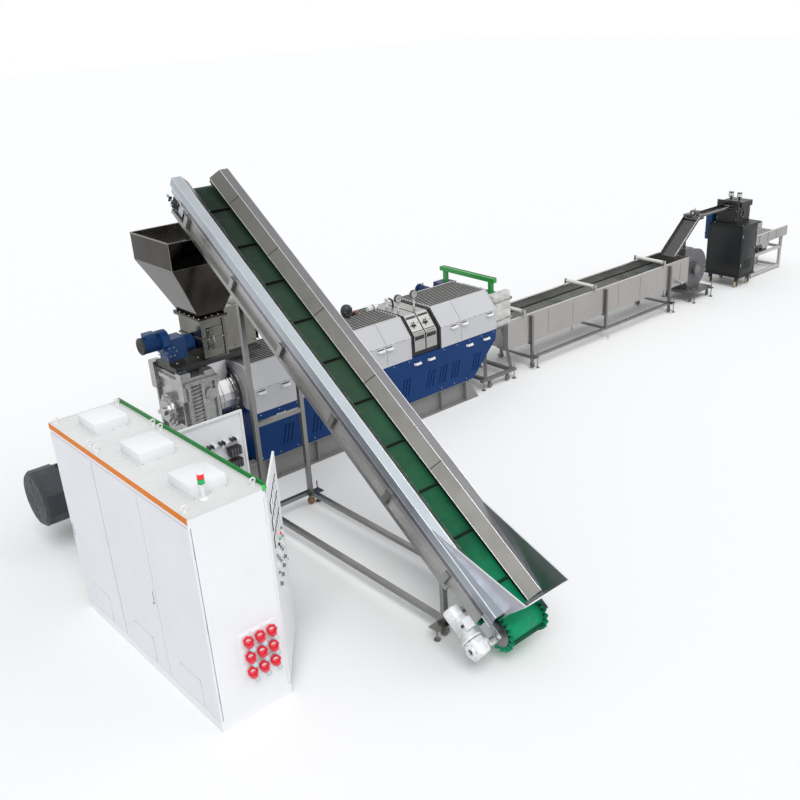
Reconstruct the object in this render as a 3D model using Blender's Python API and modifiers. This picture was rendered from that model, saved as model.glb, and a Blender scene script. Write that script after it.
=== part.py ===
"""A plastic pelletizing line: control cabinet, belt conveyor, extruder, cooling tank, drier and pelletizer.

Metres, +Z up. +X runs down the line, from the extruder's motor to the vibrating screen, +Y points
away from the conveyor's side, and the origin is at the middle of the underside of the extruder
frame's foot at its die end. Every sub-part is one closed solid in an object of its own.
"""
import math

import bmesh
import bpy
from mathutils import Matrix, Vector

# Clearances
SEAT = 0.0003
SHAFT_PLAY = 0.0008
BITE = 0.004

# Control cabinet
CABINET_BACK_X = -6.23
CABINET_DEPTH = 0.68
CABINET_NEAR_Y = -3.85
NEAR_SECTION_WIDTH = 1.66
FAR_SECTION_WIDTH = 0.85
CABINET_HEIGHT = 2.0
PLINTH_HEIGHT = 0.1
CABINET_WALL = 0.02
FRAME_RIM = 0.03
TOP_BAND = 0.07
ROOF_THICKNESS = 0.016
TRIM_THICKNESS = 0.006
TRIM_HEIGHT = 0.05
DOOR_THICKNESS = 0.018
DOOR_TO_FRAME = 0.009
DOOR_EDGE_GAP = 0.006
DOOR_SKIN = 0.003
DOOR_FOLD = 0.022
SECTION_SEAM = 0.02
LEAF_SEAM = 0.009
PIVOT_RADIUS = 0.007
FRONT_NEAR_OPEN = math.radians(38.0)
FRONT_MIDDLE_OPEN = math.radians(90.0)
HANDLE_SIZE = (0.005, 0.024, 0.12)
HANDLE_HEIGHT = 0.455 * CABINET_HEIGHT
GRILLE_SIZE = (0.005, 0.33, 0.25)
GRILLE_CENTRE_Z = 0.13 * CABINET_HEIGHT
COWL_SIZE = (0.31, 0.35, 0.1)
COWL_FLANGE = 0.02
LAMP_X = CABINET_BACK_X + 0.25
LAMP_TO_COWL = 0.045
LAMP_Y = CABINET_NEAR_Y + NEAR_SECTION_WIDTH / 4 - COWL_SIZE[1] / 2 - COWL_FLANGE - LAMP_TO_COWL
LAMP_RADIUS = 0.028
LAMP_MODULE = 0.042
LAMP_CAP = 0.022
LAMP_STEM = 0.135
DEVICE_PLATE_THICKNESS = 0.004
DEVICE_PLATE_X = CABINET_BACK_X + 0.3
DEVICE_ROWS = tuple(CABINET_HEIGHT * share for share in (0.225, 0.425, 0.625, 0.81))
METER_SIZE = (0.012, 0.048 * CABINET_HEIGHT, 0.048 * CABINET_HEIGHT)
METER_PITCH = 0.07 * CABINET_HEIGHT
METER_COLUMNS = 4
METER_ROW_HEIGHTS = tuple(CABINET_HEIGHT * share for share in (0.86, 0.78, 0.7))
KNOB_RADIUS = 0.015
SWITCH_HEIGHT = 0.6 * CABINET_HEIGHT
SOCKET_COLUMNS = tuple(CABINET_BACK_X + reach for reach in (0.32, 0.43, 0.54))
SOCKET_ROWS = (0.75, 0.60, 0.45)
SOCKET_RADIUS = 0.038
SOCKET_LENGTH = 0.06
SOCKET_COLLAR = 0.022
SOCKET_PLATE = (0.098, 0.008, 0.13)

# Extruder frame, drive and gearbox
BASE_START_X = -5.65
FOOT_HALF_LENGTH = 0.12
BASE_HALF_WIDTH = 0.448
BASE_HEIGHT = 0.32
BEAM_FLANGE_WIDTH = 0.13
BEAM_FLANGE_THICKNESS = 0.018
BEAM_WEB = 0.014
PAD_LIFT = 0.002
RIB_PITCH = 0.72
SCREW_AXIS_Z = 1.15
MOTOR_AXIS_Z = 0.65
MOTOR_RADIUS = 0.315
MOTOR_END_X = -6.12
MOTOR_FRAME_START_X = -5.86
MOTOR_FRAME_END_X = -5.08
MOTOR_FIN_COUNT = 6
MOTOR_FIN_HEIGHT = 0.022
COUPLING_RADIUS = 0.13
GEARBOX_BACK_X = -4.4
GEARBOX_FRONT_X = -3.98
GEARBOX_HALF_WIDTH = 0.4
GEARBOX_TOP_Z = 1.6
GEARBOX_SPLIT_Z = 1.0
HUB_RADIUS = 0.2
NECK_RADIUS = 0.275
NECK_FLANGE_RADIUS = 0.33
BARREL_START_X = -3.66

# Extruder guard
GUARD_BACK_X = -3.63
VENT_START_X = -1.2
VENT_END_X = -0.66
GUARD_END_X = 0.42
SKIRT_SPLIT_X = -1.72
SKIRT_FOOT_END_X = 0.02
SKIRT_TOE_Z = 0.83
GUARD_HALF_WIDTH = 0.552
SKIRT_FOOT_HALF_WIDTH = 0.46
SKIRT_BOTTOM_Z = 0.335
SEAM_Z = 0.99
FOLD_Z = 1.29
GUARD_TOP_Z = 1.53
GUARD_TOP_HALF_WIDTH = 0.35
GUARD_SHEET = 0.012
LOUVRE_COUNT = 12
LOUVRE_HEIGHT = 0.018
VENT_SLOT = (0.016, 0.26)
GRIP_SIZE = (0.1, 0.035, 0.022)
VENT_BOX_LENGTH = 0.19

# Hopper and side feeder
HOPPER_X = -3.88
HOPPER_HALF_LENGTH = 0.47
HOPPER_HALF_WIDTH = 0.43
HOPPER_TOP_Z = 3.14
HOPPER_COLLAR_Z = 2.84
HOPPER_OUTLET_Z = 2.2
OUTLET_HALF_LENGTH = 0.15
OUTLET_HALF_WIDTH = 0.25
HOPPER_SHEET = 0.006
FLANGE_THICKNESS = 0.02
FLANGE_MARGIN = 0.035
FEEDER_BOTTOM_Z = 1.7
ADAPTER_THICKNESS = 0.06
SIDE_BOX_END_X = -3.3
SIDE_BOX_HALF_WIDTH = 0.19
SIDE_BOX_TOP_Z = 2.24
DRIVE_X = -4.3
DRIVE_Z = 1.9

# Screen changer and die
CHANGER_X = 0.68
CHANGER_LENGTH = 0.3
CHANGER_NEAR_Y = -0.25
CHANGER_FAR_Y = 0.52
CHANGER_HEIGHT = 0.44
YOKE_Y = 0.67
RAM_FAR_Y = 1.4
RAM_RADIUS = 0.08
RAIL_START_Y = -0.29
RAIL_END_Y = 0.86
RAIL_Z = 1.59
DIE_RADIUS = 0.2
STAND_X = 0.66
STAND_TOP_Z = 0.88
STAND_TOP_SIZE = (0.44, 0.56)
STAND_BASE_SIZE = (0.56, 0.7)

# Belt conveyor, in its own frame: s up the slope, n square to the belt
CONVEYOR_X = -3.79
CONVEYOR_ANGLE = math.radians(34.9)
DRUM_Y = -4.8347
DRUM_Z = 0.2897
DRUM_SPACING = 5.59
DRUM_RADIUS = 0.12
DRUM_PLAY = 0.002
SHAFT_RADIUS = 0.02
BELT_THICKNESS = 0.006
BELT_HALF_WIDTH = 0.235
SIDEWALL_HEIGHT = 0.044
SIDEWALL_WIDTH = 0.022
CLEAT_PHASE = 0.369
CLEAT_COUNT = 22
CLEAT_HEIGHT = 0.032
CLEAT_THICKNESS = 0.012
BOARD_THICKNESS = 0.006
BOARD_OVERLAP = 0.107
BOARD_LIFT = 0.037
COVER_TOP_N = 0.263
COVER_BOTTOM_N = 0.17
COVER_REACH = 0.1
PLATE_REACH = 0.07
PLATE_BOTTOM_N = 0.065
LOWER_TUBE_N = -0.1
LOWER_TUBE = 0.05
TIE_HEIGHT = 0.036
STRUT_COUNT = 6
CHUTE_START_S = 1.065
CHUTE_END_Y = -5.196
CHUTE_END_Z = 0.781
CHUTE_RIM_REACH = 0.035
CHUTE_SHEET = 0.004
DRIVE_END_X = -0.58
DRIVE_WIDTH = 0.18
CHUTE_LIFT = 0.001
LEG_TUBE = 0.05
NEAR_LEG_Y = -4.22
FAR_LEG_Y = -1.28
FLOOR_RAIL_Z = 0.17

# Wheels and levelling feet
JACK_RADIUS = 0.009
JACK_PAD_RADIUS = 0.035
JACK_PAD_HEIGHT = 0.012
PARKED_WHEEL_RADIUS = 0.045
PARKED_WHEEL_WIDTH = 0.03
PARKED_WHEEL_LIFT = 0.006

# Cooling tank
TANK_START_X = 0.97
TANK_END_X = 5.74
TANK_NEAR_Y = -0.26
TANK_FAR_Y = 0.365
TANK_TOP_Z = 0.896
TANK_BOTTOM_Z = 0.436
TANK_SHEET = 0.005
TANK_RIM = 0.025
TANK_LEGS = (1.49, 3.33, 5.16)
TANK_RAIL_Z = 0.177
TANK_TUBE = 0.04
ROLLER_POSITIONS = (1.33, 3.05, 4.98)
ROLLER_RADIUS = 0.03
ROLLER_Z = 0.955
ROLLER_BRACKET = 0.012

# Blower, strand chute and pump
BLOWER_X = 6.2
BLOWER_Y = 0.02
BLOWER_Z = 0.57
BLOWER_RADIUS = 0.36
BLOWER_WIDTH = 0.26
BLOWER_BASE_TOP_Z = 0.2
BLOWER_OUTLET_REACH = 0.23
BLOWER_OUTLET_HEIGHT = 0.42
BLOWER_BASE_SIZE = (0.66, 0.6)
CHUTE_LOW = (5.47, 0.93)
CHUTE_HIGH = (6.18, 1.5)
CHUTE_HALF_WIDTH = 0.16
CHUTE_WALL = 0.005
CHUTE_SIDE = 0.05

# Pelletizer and vibrating screen
PELLETIZER_X = 7.22
PELLETIZER_END_X = 7.76
PELLETIZER_NEAR_Y = -0.44
PELLETIZER_FAR_Y = 0.29
PELLETIZER_BOTTOM_Z = 0.226
PELLETIZER_TOP_Z = 1.171
WHEEL_RADIUS = 0.06
WHEEL_WIDTH = 0.032
FORK_GAP = 0.006
AXLE_RADIUS = 0.008
HEAD_START_X = 7.36
HEAD_END_X = 7.86
HEAD_HALF_WIDTH = 0.19
HEAD_TOP_Z = 1.62
SCREEN_START_X = 7.98
SCREEN_END_X = 9.1
SCREEN_NEAR_Y = -0.28
SCREEN_FAR_Y = 0.26
SCREEN_TOP_Z = 0.86
SCREEN_TUBE = 0.05

AXIS_TURN = {"X": Matrix(((0, 0, 1, 0), (1, 0, 0, 0), (0, 1, 0, 0), (0, 0, 0, 1))),
             "Y": Matrix(((1, 0, 0, 0), (0, 0, -1, 0), (0, 1, 0, 0), (0, 0, 0, 1))),
             "Z": Matrix.Identity(4)}

parts = bpy.data.collections.new("plastic_pelletizing_line")
scratch = bpy.data.collections.new("operands")


def clear_scene():
    """Remove what the file opened with, and link the two collections."""
    for thing in list(bpy.data.objects):
        bpy.data.objects.remove(thing, do_unlink=True)
    bpy.context.scene.collection.children.link(parts)
    bpy.context.scene.collection.children.link(scratch)


def new_piece(mesh):
    """Wrap a mesh in a scratch object."""
    piece = bpy.data.objects.new("piece", mesh)
    scratch.objects.link(piece)
    return piece


def from_bmesh(cells):
    """Turn a bmesh into a scratch piece."""
    mesh = bpy.data.meshes.new("piece")
    cells.to_mesh(mesh)
    cells.free()
    return new_piece(mesh)


def block(low, high):
    """A box from its low corner to its high corner."""
    cells = bmesh.new()
    bmesh.ops.create_cube(cells, size=1.0)
    size = [top - bottom for bottom, top in zip(low, high)]
    middle = [(top + bottom) / 2 for bottom, top in zip(low, high)]
    bmesh.ops.scale(cells, vec=size, verts=cells.verts)
    bmesh.ops.translate(cells, vec=middle, verts=cells.verts)
    return from_bmesh(cells)


def centred(middle, size):
    """A box from its middle and its size."""
    return block([m - s / 2 for m, s in zip(middle, size)], [m + s / 2 for m, s in zip(middle, size)])


def rod(start, end, radius, sides=12, end_radius=None):
    """A cylinder or cone between two points."""
    start, end = Vector(start), Vector(end)
    cells = bmesh.new()
    top = radius if end_radius is None else end_radius
    length = (end - start).length
    bmesh.ops.create_cone(cells, cap_ends=True, segments=sides, radius1=radius, radius2=top, depth=length)
    turn = (end - start).to_track_quat("Z", "Y").to_matrix().to_4x4()
    bmesh.ops.transform(cells, matrix=Matrix.Translation((start + end) / 2) @ turn, verts=cells.verts)
    return from_bmesh(cells)


def bar(start, end, width, depth=None, up=(0, 0, 1)):
    """A square bar between two points, its depth turned towards up."""
    start, end = Vector(start), Vector(end)
    depth = width if depth is None else depth
    along = (end - start).normalized()
    side = along.cross(Vector(up))
    side = side.normalized() if side.length > 1e-6 else Vector((1, 0, 0))
    lift = along.cross(side)
    cells = bmesh.new()
    bmesh.ops.create_cube(cells, size=1.0)
    bmesh.ops.scale(cells, vec=((end - start).length, width, depth), verts=cells.verts)
    turn = Matrix((along, side, lift)).transposed().to_4x4()
    bmesh.ops.transform(cells, matrix=Matrix.Translation((start + end) / 2) @ turn, verts=cells.verts)
    return from_bmesh(cells)


def to_mesh_piece(source):
    """Make a curve or a modified object a plain welded mesh in world space."""
    bpy.context.view_layer.update()
    seen = source.evaluated_get(bpy.context.evaluated_depsgraph_get())
    mesh = bpy.data.meshes.new_from_object(seen)
    mesh.transform(source.matrix_world)
    cells = bmesh.new()
    cells.from_mesh(mesh)
    bmesh.ops.remove_doubles(cells, verts=cells.verts, dist=1e-6)
    bmesh.ops.recalc_face_normals(cells, faces=cells.faces)
    cells.to_mesh(mesh)
    cells.free()
    bpy.data.objects.remove(source, do_unlink=True)
    return new_piece(mesh)


def prism(outline, axis, low, high, holes=()):
    """A flat outline pushed along an axis from low to high. X takes (y, z), Y takes (x, z), Z (x, y)."""
    curve = bpy.data.curves.new("outline", "CURVE")
    curve.dimensions = "2D"
    curve.fill_mode = "BOTH"
    curve.extrude = (high - low) / 2
    for ring in (outline, *holes):
        spline = curve.splines.new("POLY")
        spline.points.add(len(ring) - 1)
        for point, place in zip(spline.points, ring):
            point.co = (place[0], place[1], 0.0, 1.0)
        spline.use_cyclic_u = True
    piece = bpy.data.objects.new("outline", curve)
    scratch.objects.link(piece)
    middle = (low + high) / 2
    piece.matrix_world = AXIS_TURN[axis] @ Matrix.Translation((0, 0, -middle if axis == "Y" else middle))
    return to_mesh_piece(piece)


def turned(profile, middle, axis, steps=24):
    """A turned shape: (radius, height) points from the top down, spun round an axis through middle."""
    mesh = bpy.data.meshes.new("profile")
    edges = [(index, index + 1) for index in range(len(profile) - 1)]
    mesh.from_pydata([(radius, 0.0, height) for radius, height in profile], edges, [])
    piece = new_piece(mesh)
    screw = piece.modifiers.new("Turn", "SCREW")
    screw.steps = steps
    screw.render_steps = steps
    screw.use_merge_vertices = True
    screw.merge_threshold = 0.00001
    turn = Vector(axis).to_track_quat("Z", "Y").to_matrix().to_4x4()
    piece.matrix_world = Matrix.Translation(middle) @ turn
    return to_mesh_piece(piece)


def boolean(piece, operands, operation):
    """Apply one exact Boolean of several operands to a piece, and use them up."""
    group = bpy.data.collections.new("group")
    for operand in operands:
        group.objects.link(operand)
    bpy.context.view_layer.update()
    step = piece.modifiers.new(operation, "BOOLEAN")
    step.operation = operation
    step.solver = "EXACT"
    step.operand_type = "COLLECTION"
    step.collection = group
    result = to_mesh_piece(piece)
    for operand in operands:
        bpy.data.objects.remove(operand, do_unlink=True)
    bpy.data.collections.remove(group)
    return result


def joined(pieces, cuts=()):
    """Union a list of pieces, then cut it."""
    result = pieces[0]
    if len(pieces) > 1:
        result = boolean(result, pieces[1:], "UNION")
    if cuts:
        result = boolean(result, list(cuts), "DIFFERENCE")
    return result


def merge_flats(mesh):
    """Merge the flat faces that the Booleans split, so that each plane is one face again."""
    cells = bmesh.new()
    cells.from_mesh(mesh)
    bmesh.ops.dissolve_limit(cells, angle_limit=math.radians(0.3), verts=cells.verts, edges=cells.edges)
    cells.to_mesh(mesh)
    cells.free()


def finish(name, piece, colour, roughness, metallic=0.0, origin=(0, 0, 0), turn=None, smooth=False):
    """Name a piece, give it a material and an origin, and move it to the model's collection.

    The piece is built in place. Its origin goes to origin, and turn then swings it about that point.
    """
    piece.name = name
    piece.data.name = name
    merge_flats(piece.data)
    piece.data.transform(Matrix.Translation(-Vector(origin)))
    piece.location = origin
    if turn is not None:
        piece.rotation_euler = turn
    if smooth:
        piece.data.shade_smooth()
        piece.data.set_sharp_from_angle(angle=math.radians(35))
    material = bpy.data.materials.new(name)
    material.use_nodes = True
    shader = material.node_tree.nodes["Principled BSDF"]
    shader.inputs["Base Color"].default_value = (*colour, 1.0)
    shader.inputs["Roughness"].default_value = roughness
    shader.inputs["Metallic"].default_value = metallic
    piece.data.materials.clear()
    piece.data.materials.append(material)
    scratch.objects.unlink(piece)
    parts.objects.link(piece)
    return piece


def jack(x, y, top):
    """A levelling foot: a threaded stem on a round pad."""
    return [rod((x, y, 0), (x, y, JACK_PAD_HEIGHT), JACK_PAD_RADIUS, 6),
            rod((x, y, JACK_PAD_HEIGHT / 2), (x, y, top), JACK_RADIUS, 4)]


def parked_wheel(x, y, top, along="X"):
    """A small caster that hangs just clear of the floor, as one piece with its fork."""
    z = PARKED_WHEEL_RADIUS + PARKED_WHEEL_LIFT
    half = PARKED_WHEEL_WIDTH / 2
    ends = ((x, y - half, z), (x, y + half, z)) if along == "X" else ((x - half, y, z), (x + half, y, z))
    wheel = rod(ends[0], ends[1], PARKED_WHEEL_RADIUS, 6)
    fork = block((x - half - 0.004, y - half - 0.004, z - 0.012), (x + half + 0.004, y + half + 0.004, top))
    return [wheel, fork]


# Control cabinet
CABINET_FRONT_X = CABINET_BACK_X + CABINET_DEPTH
FRAME_BACK_X = CABINET_BACK_X + DOOR_THICKNESS + DOOR_TO_FRAME
FRAME_FRONT_X = CABINET_FRONT_X - DOOR_THICKNESS - DOOR_TO_FRAME
SEAM_Y = CABINET_NEAR_Y + NEAR_SECTION_WIDTH
CABINET_FAR_Y = SEAM_Y + FAR_SECTION_WIDTH
LEAF_MEET_Y = CABINET_NEAR_Y + NEAR_SECTION_WIDTH / 2
CARCASS_TOP_Z = CABINET_HEIGHT - ROOF_THICKNESS - SEAT
DOOR_LOW_Z = PLINTH_HEIGHT + DOOR_EDGE_GAP
DOOR_HIGH_Z = CARCASS_TOP_Z - TOP_BAND - DOOR_EDGE_GAP
HINGE_INSET = DOOR_THICKNESS / 2
FRONT_AXIS_X = CABINET_FRONT_X - HINGE_INSET
BACK_AXIS_X = CABINET_BACK_X + HINGE_INSET
NEAR_HINGE_Y = CABINET_NEAR_Y + HINGE_INSET
SEAM_NEAR_HINGE_Y = SEAM_Y - SECTION_SEAM / 2 - HINGE_INSET
SEAM_FAR_HINGE_Y = SEAM_Y + SECTION_SEAM / 2 + HINGE_INSET
FAR_HINGE_Y = CABINET_FAR_Y - HINGE_INSET


def build_cabinet_carcass():
    """The welded frame on its plinth, open at the front and back where the doors close it."""
    pieces = [block((FRAME_BACK_X, CABINET_NEAR_Y, PLINTH_HEIGHT / 2),
                    (FRAME_FRONT_X, CABINET_FAR_Y, CARCASS_TOP_Z)),
              block((CABINET_BACK_X, CABINET_NEAR_Y, 0), (CABINET_FRONT_X, CABINET_FAR_Y, PLINTH_HEIGHT)),
              block((CABINET_BACK_X + TRIM_THICKNESS, CABINET_NEAR_Y, CARCASS_TOP_Z - TOP_BAND),
                    (CABINET_FRONT_X - TRIM_THICKNESS, CABINET_FAR_Y, CARCASS_TOP_Z))]
    axes = [(FRONT_AXIS_X, y) for y in (NEAR_HINGE_Y, SEAM_NEAR_HINGE_Y, FAR_HINGE_Y)]
    axes += [(BACK_AXIS_X, y) for y in (NEAR_HINGE_Y, SEAM_NEAR_HINGE_Y, SEAM_FAR_HINGE_Y)]
    for x, y in axes:
        pieces.append(rod((x, y, PLINTH_HEIGHT - BITE), (x, y, DOOR_LOW_Z - SEAT), PIVOT_RADIUS, 6))
        pieces.append(rod((x, y, DOOR_HIGH_Z + SEAT), (x, y, CARCASS_TOP_Z - TOP_BAND + BITE), PIVOT_RADIUS,
                          6))
    low, high = PLINTH_HEIGHT + FRAME_RIM, CARCASS_TOP_Z - TOP_BAND - FRAME_RIM
    cuts = []
    for start, end in ((CABINET_NEAR_Y + CABINET_WALL, SEAM_Y - CABINET_WALL),
                       (SEAM_Y + CABINET_WALL, CABINET_FAR_Y - CABINET_WALL)):
        cuts.append(block((FRAME_BACK_X - BITE, start, low), (FRAME_FRONT_X + BITE, end, high)))
    finish("cabinet_carcass", joined(pieces, cuts), (0.88, 0.89, 0.9), 0.45)


def build_cabinet_roof():
    """The roof sheet with its three ventilation cowls."""
    roof_low = CARCASS_TOP_Z + SEAT
    pieces = [block((CABINET_BACK_X + TRIM_THICKNESS, CABINET_NEAR_Y, roof_low),
                    (CABINET_FRONT_X - TRIM_THICKNESS, CABINET_FAR_Y, CABINET_HEIGHT))]
    centre_x = (CABINET_BACK_X + CABINET_FRONT_X) / 2
    leaf = NEAR_SECTION_WIDTH / 2
    for y in (CABINET_NEAR_Y + leaf / 2, LEAF_MEET_Y + leaf / 2, SEAM_Y + FAR_SECTION_WIDTH / 2):
        length, width, height = COWL_SIZE
        pieces.append(centred((centre_x, y, CABINET_HEIGHT + height / 2 - BITE / 2),
                              (length, width, height + BITE)))
        pieces.append(centred((centre_x, y, CABINET_HEIGHT),
                              (length + 2 * COWL_FLANGE, width + 2 * COWL_FLANGE, 2 * BITE)))
    finish("cabinet_roof", joined(pieces), (0.88, 0.89, 0.9), 0.4)


def build_cabinet_trims():
    """The coloured strips along the top edges of the two long sides."""
    top = CABINET_HEIGHT
    for name, low_x, colour in (("cabinet_back_trim", CABINET_BACK_X, (0.88, 0.42, 0.2)),
                                ("cabinet_front_trim", CABINET_FRONT_X - TRIM_THICKNESS, (0.1, 0.4, 0.17))):
        if low_x == CABINET_BACK_X:
            low_x, high_x = low_x, low_x + TRIM_THICKNESS - SEAT
        else:
            low_x, high_x = low_x + SEAT, low_x + TRIM_THICKNESS
        strip = block((low_x, CABINET_NEAR_Y, top - TRIM_HEIGHT), (high_x, CABINET_FAR_Y, top))
        finish(name, strip, colour, 0.4)


def door_leaf(axis_x, hinge_y, free_y, outward):
    """A folded sheet leaf in its closed place, its fold and pocket on the inner side."""
    away = 1 if free_y > hinge_y else -1
    edge_y = hinge_y - away * HINGE_INSET
    low_y, high_y = min(edge_y, free_y), max(edge_y, free_y)
    outer_x = axis_x + outward * HINGE_INSET
    inner_x = axis_x - outward * HINGE_INSET
    leaf = block((min(inner_x, outer_x), low_y, DOOR_LOW_Z), (max(inner_x, outer_x), high_y, DOOR_HIGH_Z))
    pocket_x = sorted((inner_x - outward * BITE, outer_x - outward * DOOR_SKIN))
    pocket = block((pocket_x[0], low_y + DOOR_FOLD, DOOR_LOW_Z + DOOR_FOLD),
                   (pocket_x[1], high_y - DOOR_FOLD, DOOR_HIGH_Z - DOOR_FOLD))
    return leaf, pocket


def proud_block(face_x, outward, y, z, size):
    """A block that stands out from a door's face by its first size."""
    depth, width, height = size
    near, far = sorted((face_x - outward * DOOR_SKIN / 2, face_x + outward * depth))
    return block((near, y - width / 2, z - height / 2), (far, y + width / 2, z + height / 2))


def instruments(face_x, low_y, high_y):
    """Rows of panel meters with a row of push buttons below them, on a front leaf."""
    pieces = []
    middle = (low_y + high_y) / 2
    for row in METER_ROW_HEIGHTS:
        for column in range(METER_COLUMNS):
            y = middle + (column - (METER_COLUMNS - 1) / 2) * METER_PITCH
            pieces.append(proud_block(face_x, 1, y, row, METER_SIZE))
            z = row - METER_PITCH * 3
            if row == METER_ROW_HEIGHTS[-1]:
                pieces.append(rod((face_x - DOOR_SKIN / 2, y, z), (face_x + METER_SIZE[0], y, z),
                                  KNOB_RADIUS, 12))
    return pieces


def build_front_doors():
    """The three front leaves: the near pair stands open as photographed, the far one is shut."""
    leaves = (("front_door_near", NEAR_HINGE_Y, LEAF_MEET_Y - LEAF_SEAM / 2, -FRONT_NEAR_OPEN),
              ("front_door_middle", SEAM_NEAR_HINGE_Y, LEAF_MEET_Y + LEAF_SEAM / 2, FRONT_MIDDLE_OPEN),
              ("front_door_far", FAR_HINGE_Y, SEAM_Y + SECTION_SEAM / 2, 0.0))
    for name, hinge_y, free_y, angle in leaves:
        leaf, pocket = door_leaf(FRONT_AXIS_X, hinge_y, free_y, 1)
        away = 1 if free_y > hinge_y else -1
        body = joined([leaf], [pocket])
        handle_y = free_y - away * 0.045
        extras = [proud_block(CABINET_FRONT_X, 1, handle_y, HANDLE_HEIGHT, HANDLE_SIZE)]
        if name == "front_door_near":
            extras += instruments(CABINET_FRONT_X, min(hinge_y, free_y), max(hinge_y, free_y))
        if name == "front_door_middle":
            inner = CABINET_FRONT_X - DOOR_SKIN
            for step in (-1, 0, 1):
                y = (hinge_y + free_y) / 2 + step * METER_PITCH
                extras.append(rod((inner - 0.05, y, SWITCH_HEIGHT + 0.21 * CABINET_HEIGHT),
                                  (CABINET_FRONT_X + 0.03, y, SWITCH_HEIGHT + 0.21 * CABINET_HEIGHT),
                                  KNOB_RADIUS, 12))
            for z in (SWITCH_HEIGHT, SWITCH_HEIGHT + 0.22):
                extras.append(centred((inner - 0.045, hinge_y + away * 0.2, z), (0.1, 0.16, 0.12)))
        finish(name, joined([body, *extras]), (0.9, 0.91, 0.92), 0.42,
               origin=(FRONT_AXIS_X, hinge_y, DOOR_LOW_Z), turn=(0, 0, angle))


def build_back_doors():
    """The three rear leaves, each with a filter grille low down."""
    leaves = (("back_door_near", NEAR_HINGE_Y, LEAF_MEET_Y - LEAF_SEAM / 2, False),
              ("back_door_middle", SEAM_NEAR_HINGE_Y, LEAF_MEET_Y + LEAF_SEAM / 2, True),
              ("back_door_far", SEAM_FAR_HINGE_Y, CABINET_FAR_Y, True))
    for name, hinge_y, free_y, has_handle in leaves:
        leaf, pocket = door_leaf(BACK_AXIS_X, hinge_y, free_y, -1)
        away = 1 if free_y > hinge_y else -1
        middle = (hinge_y + free_y) / 2
        extras = [proud_block(CABINET_BACK_X, -1, middle, GRILLE_CENTRE_Z, GRILLE_SIZE)]
        if has_handle:
            extras.append(proud_block(CABINET_BACK_X, -1, free_y - away * 0.03, HANDLE_HEIGHT, HANDLE_SIZE))
        body = joined([leaf], [pocket])
        finish(name, joined([body, *extras]), (0.86, 0.87, 0.89), 0.42,
               origin=(BACK_AXIS_X, hinge_y, DOOR_LOW_Z))


def build_device_plate():
    """The mounting plate behind the open leaves, with rows of plain switchgear and cable ducts."""
    start, end = CABINET_NEAR_Y + CABINET_WALL + SEAT, SEAM_Y - CABINET_WALL - SEAT
    low, high = PLINTH_HEIGHT + FRAME_RIM + SEAT, CARCASS_TOP_Z - TOP_BAND - FRAME_RIM - SEAT
    face = DEVICE_PLATE_X + DEVICE_PLATE_THICKNESS
    pieces = [block((DEVICE_PLATE_X, start, low), (face, end, high))]
    count = 5
    pitch = (end - start - 0.16) / count
    for index, row in enumerate(DEVICE_ROWS):
        pieces.append(block((face - BITE / 2, start + 0.06, row - 0.2),
                            (face + 0.06, end - 0.06, row - 0.15)))
        for column in range(count):
            height = 0.12 if (column + index) % 3 else 0.2
            depth = 0.08 if (column + 2 * index) % 4 else 0.13
            y = start + 0.08 + pitch * (column + 0.5)
            pieces.append(block((face - BITE / 2, y - pitch * 0.4, row - height / 2),
                                (face + depth, y + pitch * 0.4, row + height / 2)))
    finish("device_plate", joined(pieces), (0.5, 0.51, 0.52), 0.5, 0.3)


def build_power_sockets():
    """Nine round power connectors on pale plates, low on the near end wall."""
    wall = CABINET_NEAR_Y - SEAT
    length, depth, height = SOCKET_PLATE
    low = (min(SOCKET_COLUMNS) - length / 2, wall - depth, min(SOCKET_ROWS) - height / 2)
    high = (max(SOCKET_COLUMNS) + length / 2, wall, max(SOCKET_ROWS) + height / 2)
    pieces = [block(low, high)]
    for x in SOCKET_COLUMNS:
        for z in SOCKET_ROWS:
            collar = wall - depth - SOCKET_COLLAR
            pieces.append(rod((x, wall - depth / 2, z), (x, collar, z), SOCKET_RADIUS * 1.1, 6))
            tip = (x + 0.012, collar - SOCKET_LENGTH, z - 0.035)
            pieces.append(rod((x, collar + BITE, z), tip, SOCKET_RADIUS * 0.9, 6, SOCKET_RADIUS * 0.8))
    finish("power_sockets", joined(pieces), (0.75, 0.03, 0.06), 0.35)


def build_signal_lamp():
    """A stacked signal lamp on a short stem: green, red and a white cap."""
    base = CABINET_HEIGHT + SEAT
    top = base + LAMP_STEM + 2 * LAMP_MODULE + LAMP_CAP
    profile = [(0.0, top), (LAMP_RADIUS, top), (LAMP_RADIUS, base + LAMP_STEM),
               (LAMP_RADIUS * 0.4, base + LAMP_STEM),
               (LAMP_RADIUS * 0.4, base + 0.008), (LAMP_RADIUS * 1.3, base + 0.008),
               (LAMP_RADIUS * 1.3, base),
               (0.0, base)]
    finish("signal_lamp", turned(profile, (LAMP_X, LAMP_Y, 0), (0, 0, 1), 12), (0.7, 0.1, 0.08), 0.3,
           smooth=True)


# Extruder frame, drive and gearbox
BEAM_TOP_LOW = BASE_HEIGHT - BEAM_FLANGE_THICKNESS


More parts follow.
